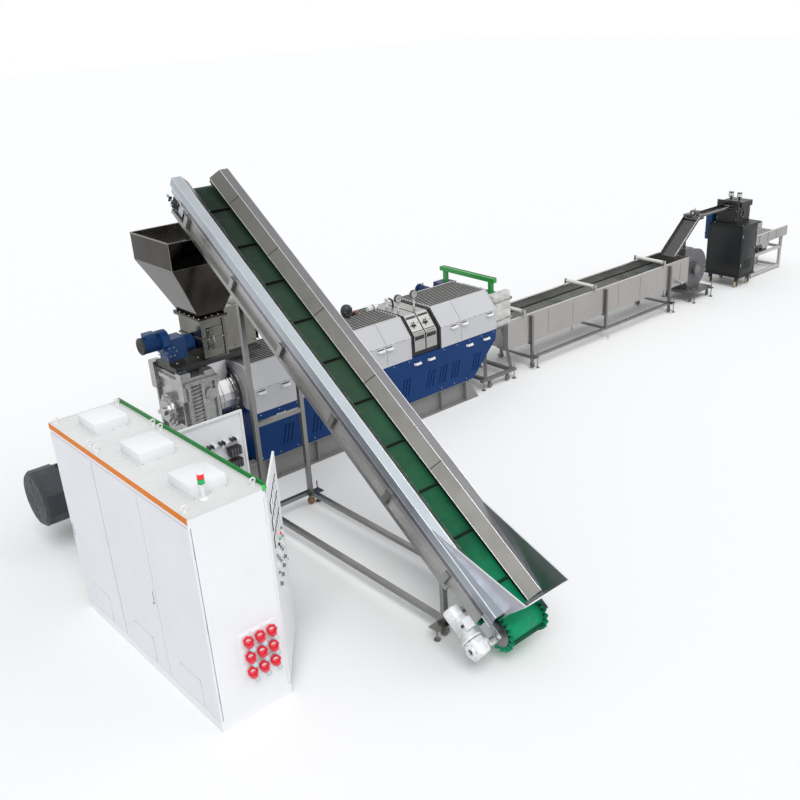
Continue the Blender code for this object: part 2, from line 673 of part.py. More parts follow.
def build_base_frame():
    """Two flanged beams tied by cross boxes, flared out into a broad foot at the die end."""
    pieces = []
    end = FOOT_HALF_LENGTH
    for side in (-1, 1):
        outer = side * BASE_HALF_WIDTH
        inner = side * (BASE_HALF_WIDTH - BEAM_FLANGE_WIDTH)
        low_y, high_y = min(outer, inner), max(outer, inner)
        web_y = side * (BASE_HALF_WIDTH - BEAM_FLANGE_WIDTH / 2)
        start = BASE_START_X + BITE
        pieces.append(block((start, low_y, PAD_LIFT), (0, high_y, BEAM_FLANGE_THICKNESS)))
        pieces.append(block((start, low_y, BEAM_TOP_LOW), (-end + BITE, high_y, BASE_HEIGHT)))
        pieces.append(block((start, web_y - BEAM_WEB / 2, 0.004),
                            (0, web_y + BEAM_WEB / 2, BASE_HEIGHT - 0.004)))
        ribs = int((-end - BASE_START_X) / RIB_PITCH)
        for index in range(1, ribs + 1):
            x = BASE_START_X + BEAM_WEB + index * RIB_PITCH
            pieces.append(block((x - BEAM_WEB / 2, low_y + 0.004, 0.004),
                                (x + BEAM_WEB / 2, high_y - 0.004, BASE_HEIGHT - 0.004)))
    broad = BASE_HALF_WIDTH + PAD_LIFT
    foot_top = BASE_HEIGHT - PAD_LIFT
    foot = [(-end, 0.0), (end, 0.0), (end, BEAM_FLANGE_THICKNESS + PAD_LIFT), (-end + BEAM_WEB, foot_top),
            (-end, foot_top)]
    pieces.append(prism(foot, "Y", -broad, broad))
    pieces.append(block((BASE_START_X, -broad, 0.0), (BASE_START_X + 0.1, broad, foot_top)))
    deck_start, deck_end = BASE_START_X + 0.05, GEARBOX_FRONT_X + 0.02
    inner_width = BASE_HALF_WIDTH - BEAM_FLANGE_WIDTH + PAD_LIFT
    pieces.append(block((deck_start, -inner_width, BEAM_TOP_LOW + PAD_LIFT),
                        (deck_end, inner_width, BASE_HEIGHT - PAD_LIFT / 4)))
    finish("base_frame", joined(pieces), (0.42, 0.42, 0.41), 0.5, 0.2)


def build_main_motor():
    """A finned drive motor with its fan cowl, feet, terminal box and the shaft coupling."""
    end_bell = MOTOR_RADIUS * 0.94
    profile = [(0.0, MOTOR_FRAME_END_X + 0.36), (0.045, MOTOR_FRAME_END_X + 0.36),
               (0.045, MOTOR_FRAME_END_X + 0.3),
               (COUPLING_RADIUS, MOTOR_FRAME_END_X + 0.3), (COUPLING_RADIUS, MOTOR_FRAME_END_X + 0.12),
               (0.05, MOTOR_FRAME_END_X + 0.12), (0.05, MOTOR_FRAME_END_X + 0.06),
               (end_bell * 0.7, MOTOR_FRAME_END_X + 0.06),
               (end_bell, MOTOR_FRAME_END_X), (end_bell, MOTOR_FRAME_START_X),
               (MOTOR_RADIUS, MOTOR_FRAME_START_X),
               (MOTOR_RADIUS, MOTOR_END_X + 0.03), (MOTOR_RADIUS - 0.03, MOTOR_END_X), (0.0, MOTOR_END_X)]
    pieces = [turned(profile, (0, 0, MOTOR_AXIS_Z), (1, 0, 0), 16)]
    outer = end_bell + MOTOR_FIN_HEIGHT
    for index in range(MOTOR_FIN_COUNT):
        angle = 2 * math.pi * (index + 0.5) / MOTOR_FIN_COUNT
        middle = (MOTOR_FRAME_START_X + MOTOR_FRAME_END_X) / 2
        reach = (end_bell - 0.02 + outer) / 2
        start = Vector((MOTOR_FRAME_START_X + 0.02, reach * math.cos(angle),
                        MOTOR_AXIS_Z + reach * math.sin(angle)))
        stop = start + Vector((2 * (middle - MOTOR_FRAME_START_X) - 0.04, 0, 0))
        out = (0, math.cos(angle), math.sin(angle))
        pieces.append(bar(start, stop, 0.006, outer - end_bell + 0.02, out))
    foot_top = MOTOR_AXIS_Z - MOTOR_RADIUS * 0.7
    for x in (BASE_START_X + 0.16, MOTOR_FRAME_END_X - 0.1):
        pieces.append(block((x - 0.06, -MOTOR_RADIUS, BASE_HEIGHT + SEAT),
                            (x + 0.06, MOTOR_RADIUS, foot_top)))
    box_x = MOTOR_FRAME_END_X - 0.26
    pieces.append(block((box_x - 0.14, MOTOR_RADIUS * 0.5, MOTOR_AXIS_Z - 0.12),
                        (box_x + 0.14, MOTOR_RADIUS + 0.14, MOTOR_AXIS_Z + 0.12)))
    finish("main_motor", joined(pieces), (0.06, 0.065, 0.07), 0.55, smooth=True)


def build_gearbox():
    """The reduction gearbox: a split casting with bosses, ribs, lifting lugs and the thrust-bearing hub."""
    half = GEARBOX_HALF_WIDTH
    x0, x1 = GEARBOX_BACK_X, GEARBOX_FRONT_X
    base = BASE_HEIGHT + SEAT
    pieces = [block((x0 + 0.02, -half + 0.03, base), (x1 - 0.02, half - 0.03, GEARBOX_TOP_Z)),
              block((x0 - 0.05, -half - 0.03, base), (x1 + 0.03, half + 0.03, base + 0.04)),
              block((x0 - 0.01, -half, GEARBOX_SPLIT_Z - 0.02), (x1, half, GEARBOX_SPLIT_Z + 0.02)),
              block((x0 - 0.005, -half - 0.005, GEARBOX_TOP_Z - 0.09),
                    (x1, half + 0.005, GEARBOX_TOP_Z - 0.04))]
    for side in (-1, 1):
        face = side * (half - 0.03)
        low, high = sorted((face, side * half))
        for x in (x0 + 0.04, (x0 + x1) / 2, x1 - 0.04):
            pieces.append(block((x - 0.018, low - 0.002, base + 0.01),
                                (x + 0.018, high, GEARBOX_TOP_Z - 0.05)))
        pieces.append(rod((x1 - 0.12, side * (half - 0.04), 1.36), (x1 - 0.12, side * (half + 0.01), 1.36),
                          0.075, 8))
        lug_low, lug_high = sorted((side * (half - 0.14), side * (half - 0.02)))
        pieces.append(block((x0 - 0.03, lug_low, GEARBOX_TOP_Z - 0.26),
                            (x0 + 0.09, lug_high, GEARBOX_TOP_Z + 0.07)))
        pieces.append(block((x1 - 0.16, lug_low, GEARBOX_TOP_Z - 0.02),
                            (x1 - 0.04, lug_high, GEARBOX_TOP_Z + 0.04)))
    for y in (-half + 0.1, half - 0.1):
        pieces.append(block((x0 - 0.012, y - 0.014, base + 0.04),
                            (x0 + 0.03, y + 0.014, GEARBOX_TOP_Z - 0.06)))
    hub = [(0.0, 0.12), (0.05, 0.12), (0.05, 0.105), (HUB_RADIUS * 0.62, 0.105), (HUB_RADIUS * 0.66, 0.075),
           (HUB_RADIUS * 0.8, 0.075), (HUB_RADIUS * 0.84, 0.045), (HUB_RADIUS, 0.045), (HUB_RADIUS, -0.03),
           (0.0, -0.03)]
    pieces.append(turned(hub, (x0, 0, SCREW_AXIS_Z), (-1, 0, 0), 16))
    input_hub = [(0.0, 0.08), (0.06, 0.08), (0.12, 0.06), (0.14, 0.0), (0.14, -0.03), (0.0, -0.03)]
    pieces.append(turned(input_hub, (x0, 0, MOTOR_AXIS_Z), (-1, 0, 0), 8))
    finish("gearbox", joined(pieces), (0.5, 0.5, 0.49), 0.42, 0.55, smooth=True)


def build_feed_barrel():
    """The bright neck between the gearbox and the guard, with its dark flange and feed mouth."""
    profile = [(0.0, BARREL_START_X + 0.02), (NECK_FLANGE_RADIUS, BARREL_START_X + 0.02),
               (NECK_FLANGE_RADIUS, BARREL_START_X - 0.05), (NECK_RADIUS, BARREL_START_X - 0.05),
               (NECK_RADIUS, GEARBOX_FRONT_X + 0.05), (NECK_RADIUS - 0.02, GEARBOX_FRONT_X + SEAT),
               (0.0, GEARBOX_FRONT_X + SEAT)]
    neck = turned(profile, (0, 0, SCREW_AXIS_Z), (1, 0, 0), 20)
    mouth_x = HOPPER_X
    mouth = block((mouth_x - 0.09, -OUTLET_HALF_WIDTH * 0.6, SCREW_AXIS_Z),
                  (mouth_x + OUTLET_HALF_LENGTH, OUTLET_HALF_WIDTH * 0.6,
                   FEEDER_BOTTOM_Z - ADAPTER_THICKNESS - SEAT))
    finish("feed_barrel", joined([neck, mouth]), (0.62, 0.62, 0.63), 0.28, 0.9, smooth=True)


# Extruder guard
SKIRT_LOW_Z = BASE_HEIGHT + SEAT
COVER_LOW_Z = SEAM_Z + SEAT
REAR_GRIPS = (-3.54, -3.2, -1.72, -1.58)
FRONT_GRIPS = (-0.42, -0.22, 0.28)
REAR_SLOT_GROUPS = (-3.2, -2.76, -2.3, -1.95)
FRONT_SLOT_GROUPS = (-1.28, -0.83, -0.6, -0.36, 0.05)
SKIRT_GRIPS = (-3.3, -2.5, -1.1, -0.85, -0.12, 0.22)
VENT_BOX_STARTS = (VENT_START_X + 0.07, VENT_START_X + 0.28)


def guard_outline(inset, low, toothed):
    """The guard's section as (y, z) points, with saw-tooth louvres along the top if toothed."""
    side, top_side = GUARD_HALF_WIDTH - inset, GUARD_TOP_HALF_WIDTH - inset * 0.6
    fold, top = FOLD_Z - inset * 0.5, GUARD_TOP_Z - inset
    points = [(-side, low), (side, low), (side, fold), (top_side, top)]
    if toothed:
        pitch = 2 * (top_side - 0.03) / LOUVRE_COUNT
        for index in range(LOUVRE_COUNT):
            start = top_side - 0.03 - index * pitch
            points += [(start, top), (start - pitch * 0.55, top + LOUVRE_HEIGHT),
                       (start - pitch * 0.6, top)]
    points += [(-top_side, top), (-side, fold)]
    return points


def grips(places, y, z):
    """Small turn handles on both sides of the guard."""
    length, depth, height = GRIP_SIZE
    pieces = []
    for x in places:
        for side in (-1, 1):
            near, far = sorted((side * (y - 0.01), side * (y + depth)))
            pieces.append(block((x - length / 2, near, z - height / 2),
                                (x + length / 2, far, z + height / 2)))
    return pieces


def build_guard_covers():
    """The grey upper covers before and behind the vent zone."""
    for name, start, end, places in (("guard_cover_rear", GUARD_BACK_X, VENT_START_X, REAR_GRIPS),
                                     ("guard_cover_front", VENT_END_X, GUARD_END_X, FRONT_GRIPS)):
        cover = prism(guard_outline(0.0, COVER_LOW_Z, True), "X", start, end)
        pieces = [cover, *grips(places, GUARD_HALF_WIDTH, FOLD_Z - 0.055)]
        finish(name, joined(pieces), (0.72, 0.73, 0.74), 0.4, 0.1)


def skirt_half_width(z):
    """Half the width of the blue skirts at a height: they lean in towards the floor."""
    share = (z - SKIRT_LOW_Z) / (SEAM_Z - SKIRT_LOW_Z)
    return SKIRT_FOOT_HALF_WIDTH + share * (GUARD_HALF_WIDTH - SKIRT_FOOT_HALF_WIDTH)


def build_guard_skirts():
    """The blue lower panels with groups of upright vent slots and white handles."""
    outline = [(-GUARD_HALF_WIDTH, SEAM_Z), (-SKIRT_FOOT_HALF_WIDTH, SKIRT_LOW_Z),
               (SKIRT_FOOT_HALF_WIDTH, SKIRT_LOW_Z), (GUARD_HALF_WIDTH, SEAM_Z)]
    width, height = VENT_SLOT
    for name, start, end, groups in (("guard_skirt_rear", GUARD_BACK_X, SKIRT_SPLIT_X - SEAT,
                                      REAR_SLOT_GROUPS),
                                     ("guard_skirt_front", SKIRT_SPLIT_X, GUARD_END_X, FRONT_SLOT_GROUPS)):
        cuts = []
        slot_z = (SKIRT_LOW_Z + SEAM_Z) / 2 - 0.08
        for group in groups:
            for step in (-1, 0, 1):
                x = group + step * 0.055
                for side in (-1, 1):
                    low_y = side * (skirt_half_width(slot_z - height / 2) - 0.012)
                    high_y = side * (skirt_half_width(slot_z + height / 2) - 0.012)
                    cuts.append(bar((x - 0.02, low_y + side * 0.03, slot_z - height / 2),
                                    (x + 0.02, high_y + side * 0.03, slot_z + height / 2), 0.06, width,
                                    (1, 0, 0)))
        if end == GUARD_END_X:
            wedge = [(SKIRT_FOOT_END_X, SKIRT_LOW_Z), (GUARD_END_X + BITE, SKIRT_TOE_Z + BITE),
                     (GUARD_END_X + 0.2, SKIRT_TOE_Z), (GUARD_END_X + 0.2, SKIRT_LOW_Z - 0.1),
                     (SKIRT_FOOT_END_X, SKIRT_LOW_Z - 0.1)]
            cuts.append(prism(wedge, "Y", -GUARD_HALF_WIDTH - 0.1, GUARD_HALF_WIDTH + 0.1))
        places = [x for x in SKIRT_GRIPS if start < x < end]
        handle_z = SEAM_Z - 0.1
        body = joined([prism(outline, "X", start, end)], cuts)
        pieces = [body, *grips(places, skirt_half_width(handle_z), handle_z)]
        finish(name, joined(pieces), (0.02, 0.06, 0.27), 0.35)


def build_vent_zone():
    """The black well between the covers and the two stainless vent boxes that stand in it."""
    wells = []
    for start in VENT_BOX_STARTS:
        wells.append(block((start - SEAT, -1.0, SEAM_Z + 0.07), (start + VENT_BOX_LENGTH + SEAT, 1.0, 2.0)))
    core = prism(guard_outline(0.03, COVER_LOW_Z, False), "X", VENT_START_X + SEAT, VENT_END_X - SEAT)
    finish("vent_well", joined([core], wells), (0.015, 0.015, 0.016), 0.6)
    slope = Vector((0, GUARD_HALF_WIDTH - GUARD_TOP_HALF_WIDTH, GUARD_TOP_Z - FOLD_Z)).normalized()
    normal = Vector((0, -slope.z, slope.y))
    for name, start, dial_x in (("vent_box_rear", VENT_BOX_STARTS[0], -1.1),
                                ("vent_box_front", VENT_BOX_STARTS[1], -0.82)):
        end = start + VENT_BOX_LENGTH
        middle = (start + end) / 2
        pieces = [prism(guard_outline(0.012, SEAM_Z + 0.07 + SEAT, False), "X", start, end)]
        knob = Vector((middle, -(GUARD_HALF_WIDTH + GUARD_TOP_HALF_WIDTH) / 2, (FOLD_Z + GUARD_TOP_Z) / 2))
        pieces.append(rod(knob - normal * 0.03, knob + normal * 0.03, 0.022, 8))
        pieces.append(bar(knob + normal * 0.022 - slope * 0.05, knob + normal * 0.022 + slope * 0.05, 0.016,
                          0.014, normal))
        pieces.append(centred(knob + normal * 0.022, (0.1, 0.012, 0.014)))
        dial_z = GUARD_TOP_Z + 0.2
        pieces.append(rod((dial_x, -0.2, GUARD_TOP_Z - 0.03), (dial_x, -0.2, dial_z), 0.01, 6))
        pieces.append(rod((dial_x, -0.18, dial_z), (dial_x, -0.225, dial_z), 0.055, 12))
        finish(name, joined(pieces), (0.62, 0.62, 0.61), 0.3, 0.9)


# Hopper, feeder and its drive
FEEDER_TOP_Z = HOPPER_OUTLET_Z - FLANGE_THICKNESS - SEAT
ADAPTER_LOW_Z = FEEDER_BOTTOM_Z - ADAPTER_THICKNESS
OUTLET_START_X = HOPPER_X - OUTLET_HALF_LENGTH
OUTLET_END_X = HOPPER_X + OUTLET_HALF_LENGTH


def rectangle(half_length, half_width, z):
    """The corners of a level rectangle centred on the hopper."""
    return [(HOPPER_X + sx * half_length, sy * half_width, z) for sx,
            sy in ((-1, -1), (1, -1), (1, 1), (-1, 1))]


def build_hopper():
    """The feed hopper: an upright collar on a four-sided funnel of thin sheet, with an outlet flange."""
    rings = [rectangle(HOPPER_HALF_LENGTH, HOPPER_HALF_WIDTH, HOPPER_TOP_Z),
             rectangle(HOPPER_HALF_LENGTH, HOPPER_HALF_WIDTH, HOPPER_COLLAR_Z),
             rectangle(OUTLET_HALF_LENGTH, OUTLET_HALF_WIDTH, HOPPER_OUTLET_Z)]
    points = [point for ring in rings for point in ring]
    faces = []
    for level in range(2):
        for corner in range(4):
            after = (corner + 1) % 4
            faces.append((4 * level + corner, 4 * level + after, 4 * level + 4 + after,
                          4 * level + 4 + corner)[::-1])
    mesh = bpy.data.meshes.new("funnel")
    mesh.from_pydata(points, [], faces)
    funnel = new_piece(mesh)
    shell = funnel.modifiers.new("Sheet", "SOLIDIFY")
    shell.thickness = HOPPER_SHEET
    shell.offset = -1
    flange = block((OUTLET_START_X - FLANGE_MARGIN, -OUTLET_HALF_WIDTH - FLANGE_MARGIN,
                    HOPPER_OUTLET_Z - FLANGE_THICKNESS),
                   (OUTLET_END_X + FLANGE_MARGIN, OUTLET_HALF_WIDTH + FLANGE_MARGIN,
                    HOPPER_OUTLET_Z + BITE))
    mouth = block((OUTLET_START_X + 0.02, -OUTLET_HALF_WIDTH + 0.02, HOPPER_OUTLET_Z - 0.1),
                  (OUTLET_END_X - 0.02, OUTLET_HALF_WIDTH - 0.02, HOPPER_OUTLET_Z + 0.05))
    finish("hopper", joined([to_mesh_piece(funnel), flange], [mouth]), (0.3, 0.29, 0.28), 0.18, 1.0)


def build_feeder():
    """The stainless feeder casing below the hopper, the side box beside it and the black adapter plate."""
    wide = OUTLET_HALF_WIDTH
    casing = [block((OUTLET_START_X, -wide, FEEDER_BOTTOM_Z + SEAT), (OUTLET_END_X, wide, FEEDER_TOP_Z)),
              block((OUTLET_START_X - FLANGE_MARGIN, -wide - FLANGE_MARGIN,
                     FEEDER_TOP_Z - FLANGE_THICKNESS),
                    (OUTLET_END_X + FLANGE_MARGIN, wide + FLANGE_MARGIN, FEEDER_TOP_Z)),
              block((OUTLET_START_X - 0.015, -wide - 0.015, 1.93),
                    (OUTLET_END_X + 0.015, wide + 0.015, 1.955)),
              block((OUTLET_END_X - 0.03, -wide - 0.015, FEEDER_BOTTOM_Z + 0.01),
                    (OUTLET_END_X, wide + 0.015, FEEDER_TOP_Z - 0.01))]
    pocket = block((OUTLET_START_X + 0.02, -wide + 0.02, FEEDER_BOTTOM_Z + 0.1),
                   (OUTLET_END_X - 0.02, wide - 0.02, FEEDER_TOP_Z + 0.05))
    finish("feeder_casing", joined(casing, [pocket]), (0.56, 0.56, 0.53), 0.3, 0.9)
    start = OUTLET_END_X + FLANGE_MARGIN + SEAT
    side = [block((start, -SIDE_BOX_HALF_WIDTH, FEEDER_BOTTOM_Z + SEAT),
                  (SIDE_BOX_END_X, SIDE_BOX_HALF_WIDTH, SIDE_BOX_TOP_Z)),
            block((start, -SIDE_BOX_HALF_WIDTH - 0.03, SIDE_BOX_TOP_Z - 0.02),
                  (SIDE_BOX_END_X + 0.03, SIDE_BOX_HALF_WIDTH + 0.03, SIDE_BOX_TOP_Z))]
    finish("side_box", joined(side), (0.35, 0.35, 0.3), 0.35, 0.8)
    adapter = [block((DRIVE_X - 0.1, -0.24, ADAPTER_LOW_Z), (SIDE_BOX_END_X + 0.02, 0.24, FEEDER_BOTTOM_Z)),
               prism([(DRIVE_X - 0.1, FEEDER_BOTTOM_Z - BITE), (DRIVE_X + 0.1, FEEDER_BOTTOM_Z - BITE),
                      (DRIVE_X + 0.1, DRIVE_Z - 0.15),
                      (DRIVE_X - 0.1, DRIVE_Z - 0.15)], "Y", -0.1, 0.1)]
    finish("feeder_adapter", joined(adapter), (0.02, 0.02, 0.021), 0.5)


def build_feeder_drive():
    """The blue worm gear-motor that turns the feeder, flanged to the casing."""
    axis_z = DRIVE_Z + 0.08
    pieces = [block((DRIVE_X - 0.1, -0.1, DRIVE_Z - 0.15 + SEAT), (DRIVE_X + 0.14, 0.1, DRIVE_Z + 0.1)),
              rod((DRIVE_X + 0.13, 0, DRIVE_Z - 0.02), (OUTLET_START_X - SEAT - 0.016, 0, DRIVE_Z - 0.02),
                  0.1, 14),
              rod((DRIVE_X - 0.14, 0, axis_z), (DRIVE_X - 0.05, 0, axis_z), 0.13, 14),
              rod((DRIVE_X - 0.06, -0.13, DRIVE_Z - 0.03), (DRIVE_X - 0.06, 0.13, DRIVE_Z - 0.03), 0.07,
                  10),
              rod((DRIVE_X - 0.36, 0, axis_z), (DRIVE_X - 0.13, 0, axis_z), 0.088, 12),
              block((DRIVE_X - 0.3, -0.06, axis_z + 0.05), (DRIVE_X - 0.18, 0.06, axis_z + 0.13))]
    finish("feeder_gearmotor", joined(pieces), (0.03, 0.1, 0.36), 0.4, smooth=True)


# Screen changer, die and stand
CHANGER_LOW_X = CHANGER_X - CHANGER_LENGTH / 2
CHANGER_HIGH_X = CHANGER_X + CHANGER_LENGTH / 2
CHANGER_LOW_Z = SCREW_AXIS_Z - CHANGER_HEIGHT / 2
CHANGER_TOP_Z = SCREW_AXIS_Z + CHANGER_HEIGHT / 2
YOKE_FAR_Y = YOKE_Y + 0.24


def build_screen_changer():
    """The steel screen-changer block across the barrel's end, with the strand die on its +X face."""
    pieces = [block((CHANGER_LOW_X, CHANGER_NEAR_Y, CHANGER_LOW_Z),
                    (CHANGER_HIGH_X, CHANGER_FAR_Y, CHANGER_TOP_Z)),
              rod((GUARD_END_X + SEAT, 0, SCREW_AXIS_Z), (CHANGER_LOW_X + BITE, 0, SCREW_AXIS_Z), 0.14, 14),
              block((CHANGER_HIGH_X - BITE, -DIE_RADIUS, SCREW_AXIS_Z - 0.13),
                    (CHANGER_HIGH_X + 0.1, DIE_RADIUS, SCREW_AXIS_Z + 0.09)),
              block((CHANGER_LOW_X + 0.04, -0.12, STAND_TOP_Z + SEAT),
                    (CHANGER_HIGH_X - 0.04, 0.12, CHANGER_LOW_Z + BITE))]
    finish("screen_changer", joined(pieces), (0.5, 0.5, 0.49), 0.35, 0.85)
    cover = block((CHANGER_LOW_X - 0.06, CHANGER_NEAR_Y - 0.17, STAND_TOP_Z + SEAT),
                  (CHANGER_HIGH_X + 0.1, CHANGER_NEAR_Y - SEAT, CHANGER_TOP_Z + 0.09))
    bevel = cover.modifiers.new("Soft", "BEVEL")
    bevel.width = 0.03
    bevel.segments = 2
    finish("insulated_cover", to_mesh_piece(cover), (0.8, 0.79, 0.76), 0.8, smooth=True)


def build_changer_ram():
    """The blue hydraulic yoke and ram on the far side, tied to the block by four rods."""
    pieces = [block((CHANGER_LOW_X + 0.02, YOKE_Y, CHANGER_LOW_Z + 0.02),
                    (CHANGER_HIGH_X - 0.02, YOKE_FAR_Y, CHANGER_TOP_Z + 0.02)),
              rod((CHANGER_X, YOKE_FAR_Y - BITE, SCREW_AXIS_Z), (CHANGER_X, RAM_FAR_Y, SCREW_AXIS_Z),
                  RAM_RADIUS, 14)]
    for dx in (-0.1, 0.1):
        for dz in (-0.15, 0.15):
            pieces.append(rod((CHANGER_X + dx, CHANGER_FAR_Y + SEAT, SCREW_AXIS_Z + dz),
                              (CHANGER_X + dx, YOKE_Y + BITE, SCREW_AXIS_Z + dz), 0.022, 6))
    pieces.append(rod((CHANGER_X, CHANGER_FAR_Y + SEAT, SCREW_AXIS_Z),
                      (CHANGER_X, YOKE_Y + BITE, SCREW_AXIS_Z), 0.035, 8))
    finish("changer_ram", joined(pieces), (0.02, 0.05, 0.2), 0.4, smooth=True)
    rail = [block((CHANGER_X - 0.03, RAIL_START_Y, RAIL_Z - 0.03),
                  (CHANGER_X + 0.03, RAIL_END_Y, RAIL_Z + 0.03)),
            block((CHANGER_X - 0.03, YOKE_Y + 0.06, CHANGER_TOP_Z + 0.02 + SEAT),
                  (CHANGER_X + 0.03, YOKE_Y + 0.12, RAIL_Z)),
            block((CHANGER_X - 0.03, RAIL_START_Y + 0.06, CHANGER_TOP_Z + SEAT),
                  (CHANGER_X + 0.03, RAIL_START_Y + 0.12, RAIL_Z))]
    finish("changer_rail", joined(rail), (0.03, 0.3, 0.06), 0.4)


def build_die_stand():
    """The splayed stand under the screen changer, parked on its levelling feet."""
    top_x, top_y = STAND_TOP_SIZE[0] / 2, STAND_TOP_SIZE[1] / 2
    base_x, base_y = STAND_BASE_SIZE[0] / 2, STAND_BASE_SIZE[1] / 2
    rail = FLOOR_RAIL_Z - 0.02
    pieces = [block((STAND_X - top_x, -top_y, STAND_TOP_Z - 0.05), (STAND_X + top_x, top_y, STAND_TOP_Z))]
    for sx in (-1, 1):
        for sy in (-1, 1):
            foot = (STAND_X + sx * base_x, sy * base_y, rail)
            pieces.append(bar(foot,
                              (STAND_X + sx * (top_x - 0.03), sy * (top_y - 0.03), STAND_TOP_Z - 0.02),
                              0.05))
            pieces += jack(STAND_X + sx * (base_x + 0.05), sy * (base_y + 0.01), rail + 0.09)
            pieces.append(centred((STAND_X + sx * (base_x + 0.02), sy * base_y, rail), (0.13, 0.06, 0.04)))
            pieces += parked_wheel(STAND_X + sx * (base_x - 0.09), sy * base_y, rail)
        pieces.append(bar((STAND_X + sx * base_x, -base_y, rail), (STAND_X + sx * base_x, base_y, rail),
                          0.05))
    for sy in (-1, 1):
        pieces.append(bar((STAND_X - base_x, sy * base_y, rail), (STAND_X + base_x, sy * base_y, rail),
                          0.05))
    finish("die_stand", joined(pieces), (0.3, 0.3, 0.3), 0.45, 0.5)


# Belt conveyor
SLOPE = Matrix.Translation((CONVEYOR_X, DRUM_Y, DRUM_Z)) @ Matrix.Rotation(CONVEYOR_ANGLE, 4, "X")
BELT_RADIUS = DRUM_RADIUS + DRUM_PLAY
BELT_OUTER = BELT_RADIUS + BELT_THICKNESS
BED_TOP_N = BELT_RADIUS - SEAT
TROUGH_START_S = 0.09
TROUGH_END_S = DRUM_SPACING + 0.12
PLATE_X = BELT_HALF_WIDTH + PLATE_REACH
COVER_X = BELT_HALF_WIDTH + COVER_REACH
TUBE_X = PLATE_X


def place_on_slope(piece):
    """Move a piece from the conveyor's own frame to the model's."""
    piece.data.transform(SLOPE)
    return piece


def on_slope(x, s, n):
    """A point of the conveyor's own frame in the model's."""
    return SLOPE @ Vector((x, s, n))


def folded(points, thickness):
    """The outline of a folded sheet whose middle line runs through the points."""
    line = [Vector(point) for point in points]
    ways = [(after - before).normalized() for before, after in zip(line, line[1:])]
    near, far = [], []
    for index, point in enumerate(line):
        before = ways[max(index - 1, 0)]
        after = ways[min(index, len(ways) - 1)]
        before_normal, after_normal = Vector((-before.y, before.x)), Vector((-after.y, after.x))
        mitre = (before_normal + after_normal) / (1 + before_normal.dot(after_normal))
        near.append(point + mitre * thickness / 2)
        far.append(point - mitre * thickness / 2)
    return [tuple(point) for point in near + far[::-1]]


def build_conveyor_trough():
    """The folded side boards that cover the belt's side walls, the slider bed and the drum bearings.

    Each side is one sheet: it leans out and up from over the cleats, runs flat outwards, drops as a
    skirt, turns in and drops again as the frame's side plate.
    """
    start, end = TROUGH_START_S, TROUGH_END_S
    bed_low = BED_TOP_N - 0.004
    pieces = [block((-PLATE_X, start + 0.12, bed_low), (PLATE_X, end - 0.3, BED_TOP_N))]
    cuts = []
    tip_x, tip_n = BELT_HALF_WIDTH - BOARD_OVERLAP, BELT_OUTER + BOARD_LIFT
    profile = [(tip_x, tip_n), (BELT_HALF_WIDTH, COVER_TOP_N), (COVER_X, COVER_TOP_N),
               (COVER_X, COVER_BOTTOM_N), (PLATE_X, COVER_BOTTOM_N), (PLATE_X, PLATE_BOTTOM_N)]
    half_sheet = BOARD_THICKNESS / 2
    bearing_radius = 0.055
    for side in (-1, 1):
        sheet = folded([(side * x, n) for x, n in profile], BOARD_THICKNESS)
        pieces.append(prism(sheet, "Y", start, end))
        inner, outer = side * (PLATE_X - half_sheet), side * (PLATE_X + 2 * half_sheet)
        for s, along in ((0.0, 0.05), (DRUM_SPACING, -0.05)):
            pieces.append(rod((inner, s, 0), (outer, s, 0), bearing_radius, 8))
            pieces.append(centred((side * PLATE_X, s + along, 0.03), (BOARD_THICKNESS, 0.2, 0.17)))
            hole = rod((inner - side * 0.01, s, 0), (outer + side * 0.01, s, 0),
                       SHAFT_RADIUS + SHAFT_PLAY, 12)
            cuts.append(hole)
    trough = place_on_slope(joined(pieces, cuts))
    finish("conveyor_trough", trough, (0.62, 0.65, 0.68), 0.35, 0.6, origin=tuple(on_slope(0, 0, 0)))


def build_conveyor_frame():
    """The lower longitudinal tubes, with struts up to the side plates and ties inside the belt's loop."""
    start, end = 0.6, DRUM_SPACING + 0.02
    first, last = start + 0.08, DRUM_SPACING - 0.25
    pitch = (last - first) / (STRUT_COUNT - 1)
    strut_places = [first + index * pitch for index in range(STRUT_COUNT)]
    half = LOWER_TUBE / 2
    tie_low, tie_high = LOWER_TUBE_N - TIE_HEIGHT / 2, LOWER_TUBE_N + TIE_HEIGHT / 2
    strut_top = PLATE_BOTTOM_N - SEAT
    pieces = []
    for side in (-1, 1):
        x = side * TUBE_X
        pieces.append(block((x - half, start, LOWER_TUBE_N - half), (x + half, end, LOWER_TUBE_N + half)))
        for s in strut_places:
            low, high = sorted((side * (PLATE_X + 0.029), side * (PLATE_X - 0.01)))
            pieces.append(block((low, s - 0.03, LOWER_TUBE_N), (high, s + 0.03, strut_top)))
    for s in strut_places:
        pieces.append(block((-TUBE_X, s - half, tie_low), (TUBE_X, s + half, tie_high)))
    frame = place_on_slope(joined(pieces))
    finish("conveyor_frame", frame, (0.55, 0.56, 0.56), 0.35, 0.6, origin=tuple(on_slope(0, 0, 0)))


def lower_tube_z(y):
    """The height of the lower tubes' underside at a place along the line's cross direction."""
    half = LOWER_TUBE / 2
    drop = (LOWER_TUBE_N - half) / math.cos(CONVEYOR_ANGLE)
    return DRUM_Z + (y - DRUM_Y) * math.tan(CONVEYOR_ANGLE) + drop


